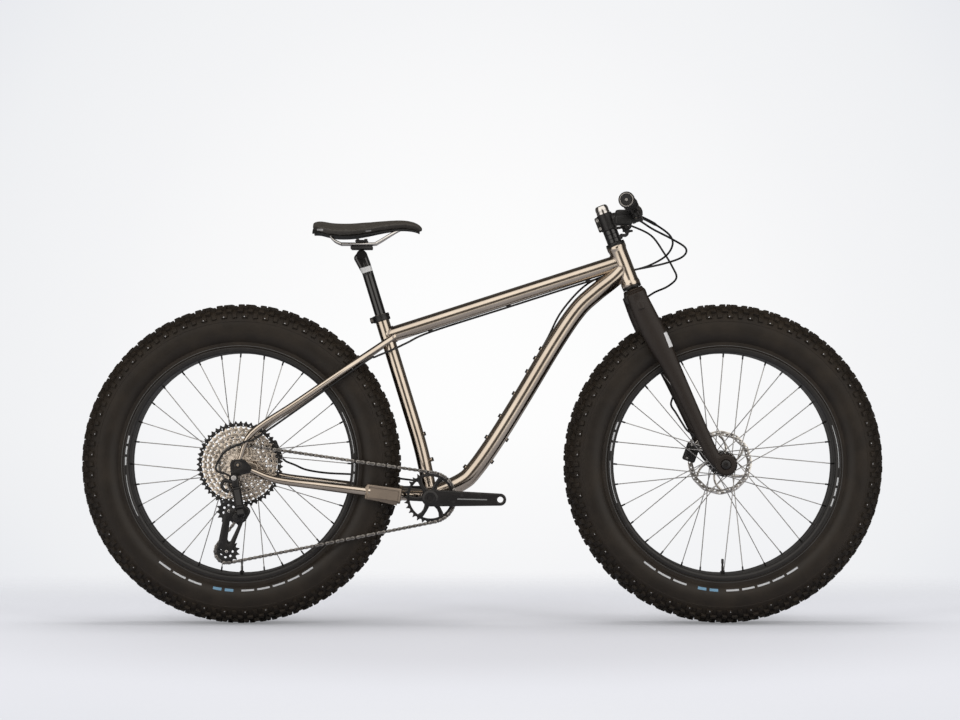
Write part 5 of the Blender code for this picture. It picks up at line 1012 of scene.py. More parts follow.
def guides():
    """The clips under the top tube that hold the hose."""
    seats = [TOP_START + share * TOP_RUN + (TOP_RADIUS + 0.0005) * TOP_BELOW
             for share in (0.175, 0.507, 0.845)]
    return [block("guide", seat, (0.012, 0.012, 0.006), along(-TOP_BELOW, TOP_RUN), 0.0015, 3)
            for seat in seats]


def bridge():
    spot = STAY_START + 0.16 * (STAY_RUN + at(0.02, 0, 0))
    return cross_rod("bridge", spot, 0.049, 0.0062, 20)


rings, screws = bosses()
finish("frame_tubes", [*main_triangle(), *stays(1), *stays(-1), bridge(), *rings], TITANIUM, "frame", "frame",
       35)
finish("frame_yoke", [yoke(1), yoke(-1)], YOKE_METAL, "frame", angle=30)
finish("frame_welds", frame_welds(), WELD, "frame", angle=60)
finish("boss_screws", screws, BLACK_METAL, "frame")
finish("hose_guides", guides(), BLACK_METAL, "frame")


def seat_clamp():
    """The clamp ring round the top of the seat tube, slotted behind, with its bolt."""
    low = -0.017
    profile = [
        (0.0173, 0), (0.02, 0), (0.021, -0.001), (0.0212, -0.005), (0.0206, -0.0085), (0.0212, -0.012),
        (0.021, low + 0.001), (0.02, low), (0.0173, low), (0.0173, 0),
    ]
    turn = framed(SEAT_AHEAD, LEFT, SEAT_UP)
    lug = block("lug", on_seat_tube(low / 2, -0.0235), (0.0095, 0.019, 0.0145), turn, 0.0022, 3)
    gap = block("gap", on_seat_tube(low / 2, -0.025), (0.016, 0.0016, 0.03), turn, 0.0002, 1)
    seat = on_seat_tube(low / 2, -0.0245)
    return [turned("seat_clamp", profile, on_seat_tube(-0.0003), SEAT_UP, 48), cut(lug, gap)], [
        bolt(seat - 0.0095 * LEFT, -LEFT, 0.0042, 0.0035),
        rod("clamp_nut", seat + 0.0095 * LEFT, seat + 0.012 * LEFT, 0.004, 18),
    ]


def headset_cup(foot, way, end):
    """A headset cup with its seal."""
    profile = [
        (0.0146, 0), (0.0236, 0), (0.0239, 0.0006), (0.0239, 0.0034), (0.023, 0.0038), (0.023, 0.0046),
        (0.0238, 0.005), (0.0232, 0.0072), (0.0205, end), (0.0146, end), (0.0146, 0),
    ]
    return turned("cup", profile, on_steerer(foot), way * STEER_UP, 48)


clamp_parts, clamp_bolts = seat_clamp()
finish("seat_clamp_ring", clamp_parts, BLACK_METAL, "frame", "seat_collar", 30)
finish("seat_clamp_bolt", clamp_bolts, SILVER, "frame", slot="steel")
finish("headset_lower", headset_cup(HEAD_LOW - FIT, -1, 0.0085 - 2 * FIT), BLACK_METAL, "frame",
       "headset_lower_cup")
finish("headset_upper", headset_cup(HEAD_HIGH + FIT, 1, 0.0085 - FIT), BLACK_METAL, "frame",
       "headset_upper_cup")
for hand, side in (("left", 1), ("right", -1)):
    start = BRACKET + side * 0.0503 * LEFT
    cup = collar("bracket_cup", start, start + side * 0.009 * LEFT, 0.0153, 0.0215, 40, 0.0012)
    notch = start + 0.0235 * UP
    notch = rod("notch", notch + side * 0.002 * LEFT, notch + side * 0.02 * LEFT, 0.0028, 10)
    cup = cut(cup, ring_of(notch, 16, BRACKET))
    finish("bracket_bearing_" + hand, cup, BLACK_METAL, "frame", "bb_cup_" + hand, 30)

# Drive

CHAIN_PITCH = 0.0127
CHAIN_LINE = 0.0735
COG_TEETH = (10, 12, 14, 16, 18, 21, 24, 28, 33, 39, 45, 51)
COG_IN_USE = 6
RING_TEETH = 30
PULLEY_TEETH = 14
HANGER = REAR_AXLE + at(-0.008, -DROPOUT_SIDE, -0.031)
CRANK_WAY = spun(radians(-1.35))
CRANK_LENGTH = 0.1695


def pitch_radius(teeth):
    """The radius of the chain's line on a wheel with that many teeth."""
    return CHAIN_PITCH / (2 * sin(pi / teeth))


CAGE_PIVOT = REAR_AXLE + at(0.002, -CHAIN_LINE, -0.125)
GUIDE_PULLEY = REAR_AXLE + at(-0.024, -CHAIN_LINE, -0.113)
TENSION_PULLEY = REAR_AXLE + at(-0.03, -CHAIN_LINE, -0.2115)
CHAIN_WHEELS = (
    (BRACKET, pitch_radius(RING_TEETH), 1), (REAR_AXLE, pitch_radius(COG_TEETH[COG_IN_USE]), 1),
    (GUIDE_PULLEY, pitch_radius(PULLEY_TEETH), -1), (TENSION_PULLEY, pitch_radius(PULLEY_TEETH), 1),
)


def chain_path():
    """Close points of the chain's line as (x, z, wheel), from the heading of each straight run."""
    turns = []
    for (start, first, sense), (end, second, other) in zip(CHAIN_WHEELS, CHAIN_WHEELS[1:] + CHAIN_WHEELS[:1]):
        run = end - start
        turns.append(atan2(run.z, run.x) + asin((sense * first - other * second) / hypot(run.x, run.z)))
    path = []
    for index, (centre, radius, sense) in enumerate(CHAIN_WHEELS):
        sweep = (sense * (turns[index] - turns[index - 1])) % (2 * pi)
        for step in range(41):
            heading = turns[index - 1] + sense * sweep * step / 40
            reach = sense * radius
            path.append((centre.x + reach * sin(heading), centre.z - reach * cos(heading), index))
    return path


def chain_pins():
    """Where the chain's pins are, a pitch apart, as (x, z, wheel), with None for the wheel between two."""
    path = chain_path()
    loop = path + [path[0]]
    lengths = [0.0]
    for near, far in zip(loop, loop[1:]):
        lengths.append(lengths[-1] + hypot(far[0] - near[0], far[1] - near[1]))
    count = round(lengths[-1] / CHAIN_PITCH / 2) * 2
    pins = []
    place = 0
    for number in range(count):
        reach = lengths[-1] * number / count
        while lengths[place + 1] < reach:
            place += 1
        share = (reach - lengths[place]) / max(lengths[place + 1] - lengths[place], 1e-9)
        near, far = loop[place], loop[place + 1]
        wheel = near[2] if near[2] == far[2] else None
        pins.append((near[0] + share * (far[0] - near[0]), near[1] + share * (far[1] - near[1]), wheel))
    return pins


PINS = chain_pins()
# Where along the lower run the chain's third stretch ends and its fourth begins, as a share of that run.
HANDOVER = 0.35


def tooth_start(index):
    """The angle of a gap between teeth that lets a wheel mesh with the chain."""
    centre = CHAIN_WHEELS[index][0]
    touching = [pin for pin in PINS if pin[2] == index]
    pin = touching[len(touching) // 2]
    return atan2(pin[1] - centre.z, pin[0] - centre.x)


def toothed(teeth, centre, start, tip, root):
    """The outline of a toothed wheel: a gap lies at the start angle."""
    pattern = (
        (0.0, -root), (0.16, -root * 0.8), (0.3, -root * 0.1), (0.42, tip * 0.75), (0.47, tip), (0.53, tip),
        (0.58, tip * 0.75), (0.7, -root * 0.1), (0.84, -root * 0.8),
    )
    pitch = pitch_radius(teeth)
    return [(centre + (pitch + out) * spun(start + 2 * pi * (tooth + share) / teeth)).xz
            for tooth in range(teeth) for share, out in pattern]


def link_outline():
    """The figure-of-eight outline of a chain plate."""
    outline = []
    for way in (1, -1):
        for step in range(7):
            turn = radians(35 * step - 105)
            outline.append((way * (CHAIN_PITCH / 2 + 0.0042 * cos(turn)), way * 0.0042 * sin(turn)))
        outline.append((0, way * 0.0028))
    return outline


def chain():
    """Every link of the chain: inner and outer plates in turn, with rollers and pins."""
    kinds = []
    for shift, name, half, radius, sides in ((0.00155, "roller", 0.0011, 0.0037, 12),
                                             (0.0025, "pin", 0.0033, 0.0018, 10)):
        made = [plate("link", [link_outline()], side * shift, 0.0009, 0.0002) for side in (1, -1)]
        made += [cross_rod(name, at(side * CHAIN_PITCH / 2, 0, 0), half, radius, sides) for side in (-1, 1)]
        kinds.append(joined("link", made))
    links = []
    for number, (pin, after) in enumerate(zip(PINS, PINS[1:] + PINS[:1])):
        middle = at((pin[0] + after[0]) / 2, -CHAIN_LINE, (pin[1] + after[1]) / 2)
        slope = Matrix.Rotation(-atan2(after[1] - pin[1], after[0] - pin[0]), 4, LEFT)
        links.append(copied(kinds[number % 2], Matrix.Translation(middle) @ slope))
    for kind in kinds:
        bpy.data.objects.remove(kind, do_unlink=True)
    return links


def chain_pieces():
    """The chain in four stretches: one on the frame, one that rides the cage, and two on the lower run that
    are left where they are.
    """
    links = chain()
    on_guide = min(number for number, pin in enumerate(PINS) if pin[2] == 2)
    off_tension = max(number for number, pin in enumerate(PINS) if pin[2] == 3) + 1
    handover = off_tension + round(HANDOVER * (len(PINS) - off_tension))
    stretches = (
        ("", 0, on_guide, "frame"), ("_cage", on_guide, off_tension, "cage"),
        ("_slack", off_tension, handover, None), ("_run", handover, len(PINS), None),
    )
    for kind, name, material in ((0, "chain_inner_links", CHAIN_STEEL), (1, "chain_outer_links", LINK_STEEL)):
        for ending, first, last, body in stretches:
            node = "" if kind or ending else "chain"
            piece = finish(name + ending, links[first + (first + kind) % 2:last:2], material, body, node)
            if ending == "_slack":
                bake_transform(piece)
            elif ending == "_run":
                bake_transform(piece)


def cog(index):
    """One sprocket: teeth, a ring of drilled holes, and open windows inside them."""
    teeth = COG_TEETH[index]
    side = -(CHAIN_LINE + (COG_IN_USE - index) * 0.00365)
    start = tooth_start(1) if index == COG_IN_USE else 0.37 * index
    reach = pitch_radius(teeth) - 0.0034
    outlines = [toothed(teeth, REAR_AXLE, start, 0.0026, 0.0034)]
    if index < 4:
        return [plate("cog", [*outlines, circle(REAR_AXLE, 0.013, 48)], side, 0.0017)]
    holes = teeth // 3 * 2
    for number in range(holes):
        spot = REAR_AXLE + (reach - 0.0038) * spun(start + 2 * pi * number / holes)
        outlines.append(circle(spot, 0.0016, 8))
    inner = reach - 0.0075
    outlines.append(circle(REAR_AXLE, inner, 48))
    middle = REAR_AXLE + side * LEFT
    arm = block("arm", middle + at((0.015 + inner) / 2, 0, 0), (inner - 0.0135, 0.0018, 0.0058), None, 0.0004,
                1)
    settle(arm, about(REAR_AXLE, Matrix.Rotation(0.35, 4, LEFT)))
    return [plate("cog", outlines, side, 0.0017), ring_of(arm, 6 if index < 9 else 8, REAR_AXLE),
            collar("hub_ring", middle - 0.0009 * LEFT, middle + 0.0009 * LEFT, 0.0126, 0.0175)]


def chainring():
    """The chainring: toothed band, six open arms and the core that carries it."""
    band = [toothed(RING_TEETH, BRACKET, tooth_start(0), 0.0042, 0.0032)]
    band.append(circle(BRACKET, pitch_radius(RING_TEETH) - 0.0095, 72))
    arm_line = [BRACKET + at(0.014 + 0.0385 * share, -0.0765 + 0.003 * share, 0.004 * sin(3 * share))
                for share in (0, 0.25, 0.5, 0.75, 1)]
    arm = swept("arm", arm_line, [0.0075, 0.006, 0.005, 0.0052, 0.007])
    settle(arm, about((-CHAIN_LINE - 0.002) * LEFT, Matrix.Scale(0.36, 4, LEFT)))
    head = bolt(BRACKET + at(0.0462, -0.0747, 0.002), -LEFT, 0.0034, 0.0018)
    return [plate("ring", band, -CHAIN_LINE, 0.0024, 0.0005), ring_of(arm, 6, BRACKET),
            collar("core", BRACKET - 0.07 * LEFT, BRACKET - 0.0975 * LEFT, 0.0153, 0.02, 40, 0.0012),
            ring_of(head, 6, BRACKET)]


def crank_arm(side):
    """A crank arm: waisted outline, softened edges and cap; and its pedal thread."""
    away = -side * CRANK_WAY
    tip = BRACKET + CRANK_LENGTH * away
    outline = hull((BRACKET, 0.0205), (BRACKET + 0.05 * away, 0.0168), (tip, 0.0146), sides=48)
    boss = [(0, -0.004), (0.0075, -0.004), (0.0075, 0.0022), (0.012, 0.0026), (0.0128, 0.0018),
            (0.015, 0.0016), (0.0185, 0.0002), (0.019, -0.003), (0, -0.003)]
    return [
        plate("crank", [outline, circle(tip, 0.0076, 32)], side * 0.105, 0.0138, 0.003, 4),
        turned("cap", boss, BRACKET + side * 0.1118 * LEFT, side * LEFT, 40),
    ], collar("thread", tip + side * 0.0985 * LEFT, tip + side * 0.1115 * LEFT, 0.0072, 0.0086)


chain_pieces()
cogs = [piece for index in range(len(COG_TEETH) - 1) for piece in cog(index)]
cogs.append(collar("freehub", REAR_AXLE - 0.059 * LEFT, REAR_AXLE - 0.096 * LEFT, 0.0128, 0.015))
lock = collar("lock_ring", REAR_AXLE - 0.096 * LEFT, REAR_AXLE - 0.0975 * LEFT, 0.0115, 0.0165)
finish("cassette_cogs", cogs, COG_STEEL, "cassette", "cassette", 30)
finish("cassette_lock_ring", lock, BLACK_METAL, "cassette")
finish("largest_cog", cog(len(COG_TEETH) - 1), BLACK_METAL, "cassette", "cassette_big_cog", 30)
CRANK_LOOK = panel(BLACK_METAL.copy(), BRACKET + at(0.1015, -0.112, -0.003), (1, 0, -0.0236), (0.0236, 0, 1),
                   0.036, 0.0013, 0.004, (0.26, 0.26, 0.25))
for hand, side, look in (("right", -1, CRANK_LOOK), ("left", 1, BLACK_METAL)):
    arm, thread = crank_arm(side)
    finish("crank_" + hand, arm, look, "crankset", "crank_arm_" + hand, 30, "carbon")
    finish("pedal_thread_" + hand, thread, SILVER, "crankset")
    spindle = rod("spindle", BRACKET, BRACKET + side * 0.099 * LEFT, 0.015, 32)
    finish("spindle_" + hand, spindle, SILVER, "crankset")
finish("chain_ring", chainring(), BLACK_METAL, "crankset", "chainring", 35)

# Derailleur

LINK_TOP = REAR_AXLE + at(-0.002, -0.116, -0.059)
LINK_RUN = at(0.01, -0.0213, -0.044)
LINK_WAY = LINK_RUN.normalized()
LINK_TRAVEL = at(0, 0.9, -0.436)
LINK_TRAVEL = (LINK_TRAVEL - LINK_TRAVEL.dot(LINK_WAY) * LINK_WAY).normalized()
LINK_AXIS = LINK_WAY.cross(LINK_TRAVEL)
LINK_TURN = framed(LINK_AXIS, LINK_TRAVEL, LINK_WAY)
LINK_APART = 0.006
HOUSING_WAY = at(-0.9, 0, 0.436)


def derailleur_link(shift):
    """One of the two links: a waisted bar with a pin through each end."""
    start = LINK_TOP + shift * LINK_TRAVEL
    end = start + LINK_RUN
    bar = block("bar", (start + end) / 2, (0.0215, 0.0052, LINK_RUN.length), LINK_TURN, 0.0012, 3)
    sunk(bar, lambda _, way: abs(way.dot(LINK_TRAVEL)) > 0.95, 0.0035, 0.0008)
    return [bar, *(cross_rod("eye", spot, 0.0088, 0.004, 20, LINK_AXIS) for spot in (start, end))]


def hanger():
    """The replaceable plate that carries the derailleur."""
    outline = hull((HANGER, 0.0115), (HANGER + at(0.0035, 0, 0.018), 0.0075))
    whole = plate("hanger", [outline, circle(HANGER, 0.005, 24)], -DROPOUT_SIDE, 0.0088, 0.0008, 2)
    cut(whole, cross_rod("seat", REAR_AXLE - DROPOUT_SIDE * LEFT, 0.02, 0.0158, 40))
    cover = hull((REAR_AXLE + at(-0.006, 0, 0.001), 0.0125), (REAR_AXLE + at(0.024, 0, -0.01), 0.0105),
                 (REAR_AXLE + at(0.01, 0, 0.002), 0.0125), (HANGER + at(0, 0, 0.012), 0.009))
    return [whole, plate("cover", [cover, circle(REAR_AXLE, 0.0095, 32)], -DROPOUT_SIDE - 0.0056, 0.0016,
                         0.0005, 2)]


def upper_knuckle():
    """The upper knuckle: round mount, body, cable stop, guide arm, and the yoke for the links."""
    mount = at(HANGER.x, -0.108, HANGER.z)
    stop = mount - 0.01 * LEFT
    arm = [mount + at(x, -0.012, z) for x, z in (
        (-0.004, -0.01), (-0.019, -0.006), (-0.029, -0.014), (-0.025, -0.027), (-0.012, -0.034))]
    return [
        rod("mount", mount, mount - 0.0155 * LEFT, 0.0116, 32, 0.0015),
        block("body", mount + at(0.003, -0.0085, -0.012), (0.017, 0.015, 0.022), None, 0.0035, 3),
        block("yoke", LINK_TOP - 0.0113 * LINK_WAY, (0.019, 0.0178, 0.0135), LINK_TURN, 0.002, 2),
        rod("stop", stop + 0.008 * HOUSING_WAY, stop + 0.0113 * HOUSING_WAY, 0.0042, 20),
        swept("guide", smooth_route(arm, 5), 0.004),
    ], bolt(mount - 0.0152 * LEFT, -LEFT, 0.0062, 0.002)


def lower_knuckle():
    """The lower knuckle with its round clutch housing, switch and rounded shield."""
    foot = LINK_TOP + LINK_RUN
    inner = at(CAGE_PIVOT.x, -0.0796, CAGE_PIVOT.z)
    deep = abs(foot.y + 0.001 + 0.0796)
    profile = [
        (0, 0), (0.0128, 0), (0.0146, 0.0015), (0.0146, deep - 0.01), (0.0136, deep - 0.0085),
        (0.0136, deep - 0.003), (0.0118, deep - 0.0008), (0.006, deep), (0, deep),
    ]
    shield = hull((CAGE_PIVOT + at(0.003, 0, 0.001), 0.0175), (foot + 0.006 * LINK_WAY, 0.013),
                  (CAGE_PIVOT + at(0.016, 0, 0.012), 0.0115))
    lever = hull((CAGE_PIVOT, 0.005), (CAGE_PIVOT + at(0.012, 0, 0.009), 0.0032))
    return [
        turned("clutch", profile, inner, -LEFT, 40),
        block("body", foot + 0.0125 * LINK_WAY, (0.0188, 0.0178, 0.0165), LINK_TURN, 0.003, 3),
        plate("shield", [shield], inner.y - 0.02, 0.02, 0.0035, 4),
        plate("switch", [lever], inner.y - deep - 0.0006, 0.0024, 0.0006, 2),
    ]


def cage():
    """The chain cage: two open plates with slim arms, held apart by the pulleys' bolts."""
    side = 0.0049
    run = TENSION_PULLEY - CAGE_PIVOT
    tail = TENSION_PULLEY + at(-0.019, 0, 0.004)
    outer = [
        hull((GUIDE_PULLEY, 0.0105), (CAGE_PIVOT, 0.0135), (TENSION_PULLEY, 0.0118), (tail, 0.0045)),
        hull((GUIDE_PULLEY + at(0.005, 0, -0.027), 0.0036),
             (CAGE_PIVOT + 0.26 * run + at(0.003, 0, 0), 0.0042),
             (TENSION_PULLEY + at(0.005, 0, 0.0215), 0.0034)),
        hull((TENSION_PULLEY + at(-0.0145, 0, 0.0035), 0.0022),
             (TENSION_PULLEY + at(-0.0195, 0, 0.0045), 0.002),
             sides=20),
    ]
    inner = [
        hull((GUIDE_PULLEY, 0.0092), (CAGE_PIVOT, 0.01), (TENSION_PULLEY, 0.0105)),
        hull((GUIDE_PULLEY + at(0.0045, 0, -0.025), 0.0034), (CAGE_PIVOT + 0.28 * run, 0.0034),
             (TENSION_PULLEY + at(0.003, 0, 0.02), 0.003)),
    ]
    spots = (GUIDE_PULLEY, TENSION_PULLEY)
    return [
        plate("outer", outer, -CHAIN_LINE - side, 0.0018, 0.0004),
        plate("inner", inner, -CHAIN_LINE + side, 0.0018, 0.0004),
        *(cross_rod("post", spot, 0.0045, 0.003) for spot in spots),
    ], [bolt(spot - 0.0056 * LEFT, -LEFT, 0.0036, 0.0016) for spot in spots]


def pulley(index):
    """A toothed pulley with openings between its spokes."""
    centre = CHAIN_WHEELS[index][0]
    start = tooth_start(index)
    outlines = [toothed(PULLEY_TEETH, centre, start, 0.0036, 0.0036), circle(centre, 0.0034, 20)]
    outlines += [circle(centre + 0.014 * spun(2 * pi * number / 7 + start), 0.003, 12) for number in range(7)]
    return plate("pulley", outlines, -CHAIN_LINE, 0.0022, 0.0004)


finish("hanger_plate", hanger(), BLACK_METAL, "frame", "derailleur_hanger", 30)
knuckle, mount_bolt = upper_knuckle()
finish("upper_knuckle", knuckle, BLACK_METAL, "frame", "derailleur_b_knuckle", 35)
pins = [cross_rod("link_pin", LINK_TOP + shift * LINK_TRAVEL, 0.0094, 0.0018, 12, LINK_AXIS)
        for shift in (-LINK_APART, LINK_APART)]
finish("mount_bolt", [mount_bolt, *pins], STEEL, "frame")
for name, shift in (("outer_link", -LINK_APART), ("inner_link", LINK_APART)):
    finish(name + "_bar", derailleur_link(shift), BLACK_METAL, name, "derailleur_" + name, 35)
finish("clutch_knuckle", lower_knuckle(), BLACK_METAL, "lower_knuckle", "derailleur_p_knuckle", 35)
cage_plates, cage_bolts = cage()
finish("cage_plates", cage_plates, BLACK_METAL, "cage", "derailleur_cage", 30)
finish("cage_bolts", cage_bolts, SILVER, "cage", slot="steel")
finish("upper_pulley", pulley(2), PLASTIC, "guide_pulley", "guide_pulley", 30)
finish("lower_pulley", pulley(3), PLASTIC, "tension_pulley", "tension_pulley", 30)

# Fork

FORK_SIDE = 0.0812
FORK_LEG_BENDS = (
    (0.975, -0.003, 0.024), (0.842, 0.0, 0.028), (0.705, 0.0065, 0.0285), (0.537, 0.015, 0.0215),
    (0.245, 0.0237, 0.0175), (0.063, 0.03, 0.0165), (0.0, 0.045, 0.012),
)


def fork():
    """The one-piece fork: blades, shoulders, crown and round ends, blended into one another."""
    line = smooth_route([on_steerer(share * FORK_LENGTH, ahead) for share, ahead, _ in FORK_LEG_BENDS], 6)
    widths = smooth_widths([bend[-1] for bend in FORK_LEG_BENDS], 6)
    made = [block("crown", on_steerer(0.4625), (0.048, 0.17, 0.034), STEER_TURN, 0.014, 6)]
    for side in (1, -1):
        leg = swept("leg", line, widths, 32)
        made.append(settle(leg, Matrix.Translation(side * FORK_SIDE * LEFT) @ Matrix.Scale(0.45, 4, LEFT)))
        axle = FRONT_AXLE + side * 0.0815 * LEFT
        made.append(rod("end", axle - 0.0065 * LEFT, axle + 0.0065 * LEFT, 0.0268, 48, 0.003))
        spots = ((0.425, -0.002, 0.08), (0.447, -0.001, 0.0765), (0.46, 0.0, 0.062), (0.4625, 0.0, 0.035))
        bend = [on_steerer(height, ahead, side * out) for height, ahead, out in spots]
        made.append(swept("shoulder", smooth_route(bend, 4), 0.0165, 24))
    race = [(0, 0.462), (0.0268, 0.462), (0.0262, 0.474), (0.024, 0.481), (0, 0.481)]
    made.append(turned("race", race, STEER_FOOT, STEER_UP, 48))
    whole = modified(melted(joined("fork", made), 0.0021), "SMOOTH", factor=0.5, iterations=7)
    for side in (1, -1):
        spot = FRONT_AXLE + side * 0.0868 * LEFT
        cut(whole, rod("recess", spot, spot + side * 0.01 * LEFT, 0.0135, 48, 0.0005))
    return whole


FORK_LOOK = panel(CARBON.copy(), on_steerer(0.334, 0.0315, -FORK_SIDE), STEER_UP, STEER_AHEAD, 0.019, 0.0062,
                  0.05, (0.66, 0.65, 0.64))
finish("fork_body", fork(), FORK_LOOK, "steering", "fork", 60)
finish("steerer_tube", rod("steerer", on_steerer(0.479), on_steerer(0.676), 0.0142, 32), CARBON, "steering")

# Cockpit

BAR_CENTRE = at(0.37296, 0, 1.00887)
BAR_BENDS = (
    (0.0, 0.0, 0.0, 0.0159), (0.038, 0.0, 0.0, 0.0159), (0.085, -0.0015, 0.0012, 0.0135),
    (0.13, -0.0065, 0.003, 0.0111), (0.39, -0.041, 0.006, 0.0111),
)
STEM_MIDDLE = 0.6579
STEM_RUN = BAR_CENTRE - on_steerer(STEM_MIDDLE)
STEM_HEADING = atan2(STEM_RUN.z, STEM_RUN.x)


def bar_spots(side):
    return [BAR_CENTRE + at(ahead, side * out, lift) for out, ahead, lift, _ in BAR_BENDS]


def bar_way(side):
    """The way outward along the straight end of the bar."""
    spots = bar_spots(side)
    return (spots[-1] - spots[-2]).normalized()


def on_bar(side, out):
    """A point on the middle line of the bar's straight end, by its distance from the middle plane."""
    way = bar_way(side)
    end = bar_spots(side)[-1]
    return end - way * (abs(end.y) - out) / abs(way.y)


def half_clamp(side, heading, thickness):
    """One half of the stem's ring round the bar, that faces a heading."""
    turns = [heading - 1.5 + 3 * step / 20 for step in range(21)]
    outline = [(BAR_CENTRE + 0.0213 * spun(turn)).xz for turn in turns]
    outline += [(BAR_CENTRE + 0.0161 * spun(turn)).xz for turn in reversed(turns)]
    return plate("half", [outline], side, thickness, 0.0008, 2)


def stem():
    """Stem: steerer clamp with its slotted lugs, body, and the rear half of the bar clamp."""
    clamp = [(0.0145, 0), (0.0186, 0), (0.0195, 0.0012), (0.0195, 0.04), (0.0186, 0.0412), (0.0145, 0.0412),
             (0.0145, 0)]
    body = [on_steerer(STEM_MIDDLE - drop, ahead) for drop, ahead in (
        (0, 0.014), (0.002, 0.03), (0.004, 0.044), (0.0045, 0.054))]
    lug = block("lug", on_steerer(STEM_MIDDLE, -0.0205), (0.0105, 0.0195, 0.037), STEER_TURN, 0.0025, 3)
    gap = block("gap", on_steerer(STEM_MIDDLE, -0.023), (0.014, 0.0018, 0.06), STEER_TURN, 0.0002, 1)
    made = [turned("clamp", clamp, on_steerer(0.6372), STEER_UP, 48)]
    made.append(swept("body", body, [0.0172, 0.0158, 0.0155, 0.0172], 28))
    made += [cut(lug, gap), half_clamp(0, STEM_HEADING + pi, 0.0455)]
    for way in (-1, 1):
        spot = BAR_CENTRE + 0.0192 * way * STEER_UP - 0.005 * STEER_AHEAD
        made.append(block("ear", spot, (0.0085, 0.044, 0.0085), STEER_TURN, 0.002, 3))
    return made, [bolt(on_steerer(STEM_MIDDLE + way * 0.0105, -0.0215, -0.0095), -LEFT, 0.0042, 0.003)
                  for way in (-1, 1)]


def face_plate():
    """The open face plate of the stem with its four bolts."""
    made = []
    bolts = []
    for side in (-1, 1):
        made.append(half_clamp(side * 0.0165, STEM_HEADING, 0.0125))
        for way in (-1, 1):
            spot = BAR_CENTRE + 0.0188 * way * STEER_UP + 0.0045 * STEER_AHEAD + side * 0.0165 * LEFT
            made.append(block("ear", spot, (0.0085, 0.011, 0.0085), STEER_TURN, 0.002, 3))
            bolts.append(bolt(spot + 0.004 * STEER_AHEAD, STEER_AHEAD, 0.0034, 0.0028))
    for way in (-1, 1):
        spot = BAR_CENTRE + way * 0.0182 * STEER_UP + 0.0065 * STEER_AHEAD
        made.append(block("bar", spot, (0.0065, 0.03, 0.005), STEER_TURN, 0.0015, 3))
    return made, bolts


def top_cap():
    """The cap over the steerer: a stepped, crowned cap with a socket bolt."""
    profile = [
        (0, 0), (0.0165, 0), (0.0165, 0.0045), (0.0158, 0.0052), (0.0158, 0.0075), (0.0164, 0.0082),
        (0.0162, 0.014), (0.0145, 0.019), (0.0115, 0.0212), (0.0062, 0.0216), (0.0058, 0.02), (0.0036, 0.02),
        (0.0034, 0.015), (0, 0.015),
    ]
    return turned("top_cap", profile, on_steerer(0.6792), STEER_UP, 48)


def handlebar():
    spots = bar_spots(1)[::-1] + bar_spots(-1)[1:]
    radii = [bend[-1] for bend in BAR_BENDS]
    return swept("bar", smooth_route(spots, 6), smooth_widths(radii[::-1] + radii[1:], 6), 28)


def grip(side):
    """A ribbed grip, its two lock rings with the end plug, and the silver parts."""
    way = bar_way(side)
    start = bar_spots(side)[-1] - 0.132 * way
    ribs = [(0.0114, 0.0125), (0.0152, 0.0125)]
    for number in range(18):
        ribs += shifted([(0.0147, 0), (0.0147, 0.0016), (0.0155, 0.0023), (0.0155, 0.0046)],
                        0.014 + 0.0057 * number)
    ribs += [(0.015, 0.1205), (0.0114, 0.1205), (0.0114, 0.0125)]
    inner = [(0.0114, 0), (0.0168, 0), (0.0175, 0.0008), (0.0175, 0.0102), (0.0168, 0.0115), (0.0114, 0.0115),
             (0.0114, 0)]
    outer = [
        (0.0114, 0.1212), (0.0178, 0.1212), (0.0189, 0.1224), (0.0189, 0.1292), (0.0184, 0.13),
        (0.0184, 0.1318), (0.0176, 0.1334), (0.013, 0.1338), (0.012, 0.133), (0, 0.133),
    ]
    band = [(0.018, 0.1228), (0.0189, 0.1232), (0.0189, 0.1284), (0.018, 0.1288)]
    rubber, ring, end, band = (turned("grip", profile, start, way, 40)
                               for profile in (ribs, inner, outer, band))
    return rubber, [ring, end], [
        band, bolt(start + 0.0058 * way + 0.0173 * UP, UP, 0.0024, 0.0012),
        collar("plug_ring", start + 0.1334 * way, start + 0.1341 * way, 0.0142, 0.0163, 40, 0.0003),
        rod("plug_bolt", start + 0.133 * way, start + 0.1343 * way, 0.0036, 20, 0.0005),
    ]


def lever_ways(side):
    """Outward along the bar, down and ahead from it, and square to both."""
    out = bar_way(side)
    reach = spun(radians(-56))
    reach = (reach - reach.dot(out) * out).normalized()
    return out, reach, out.cross(reach)


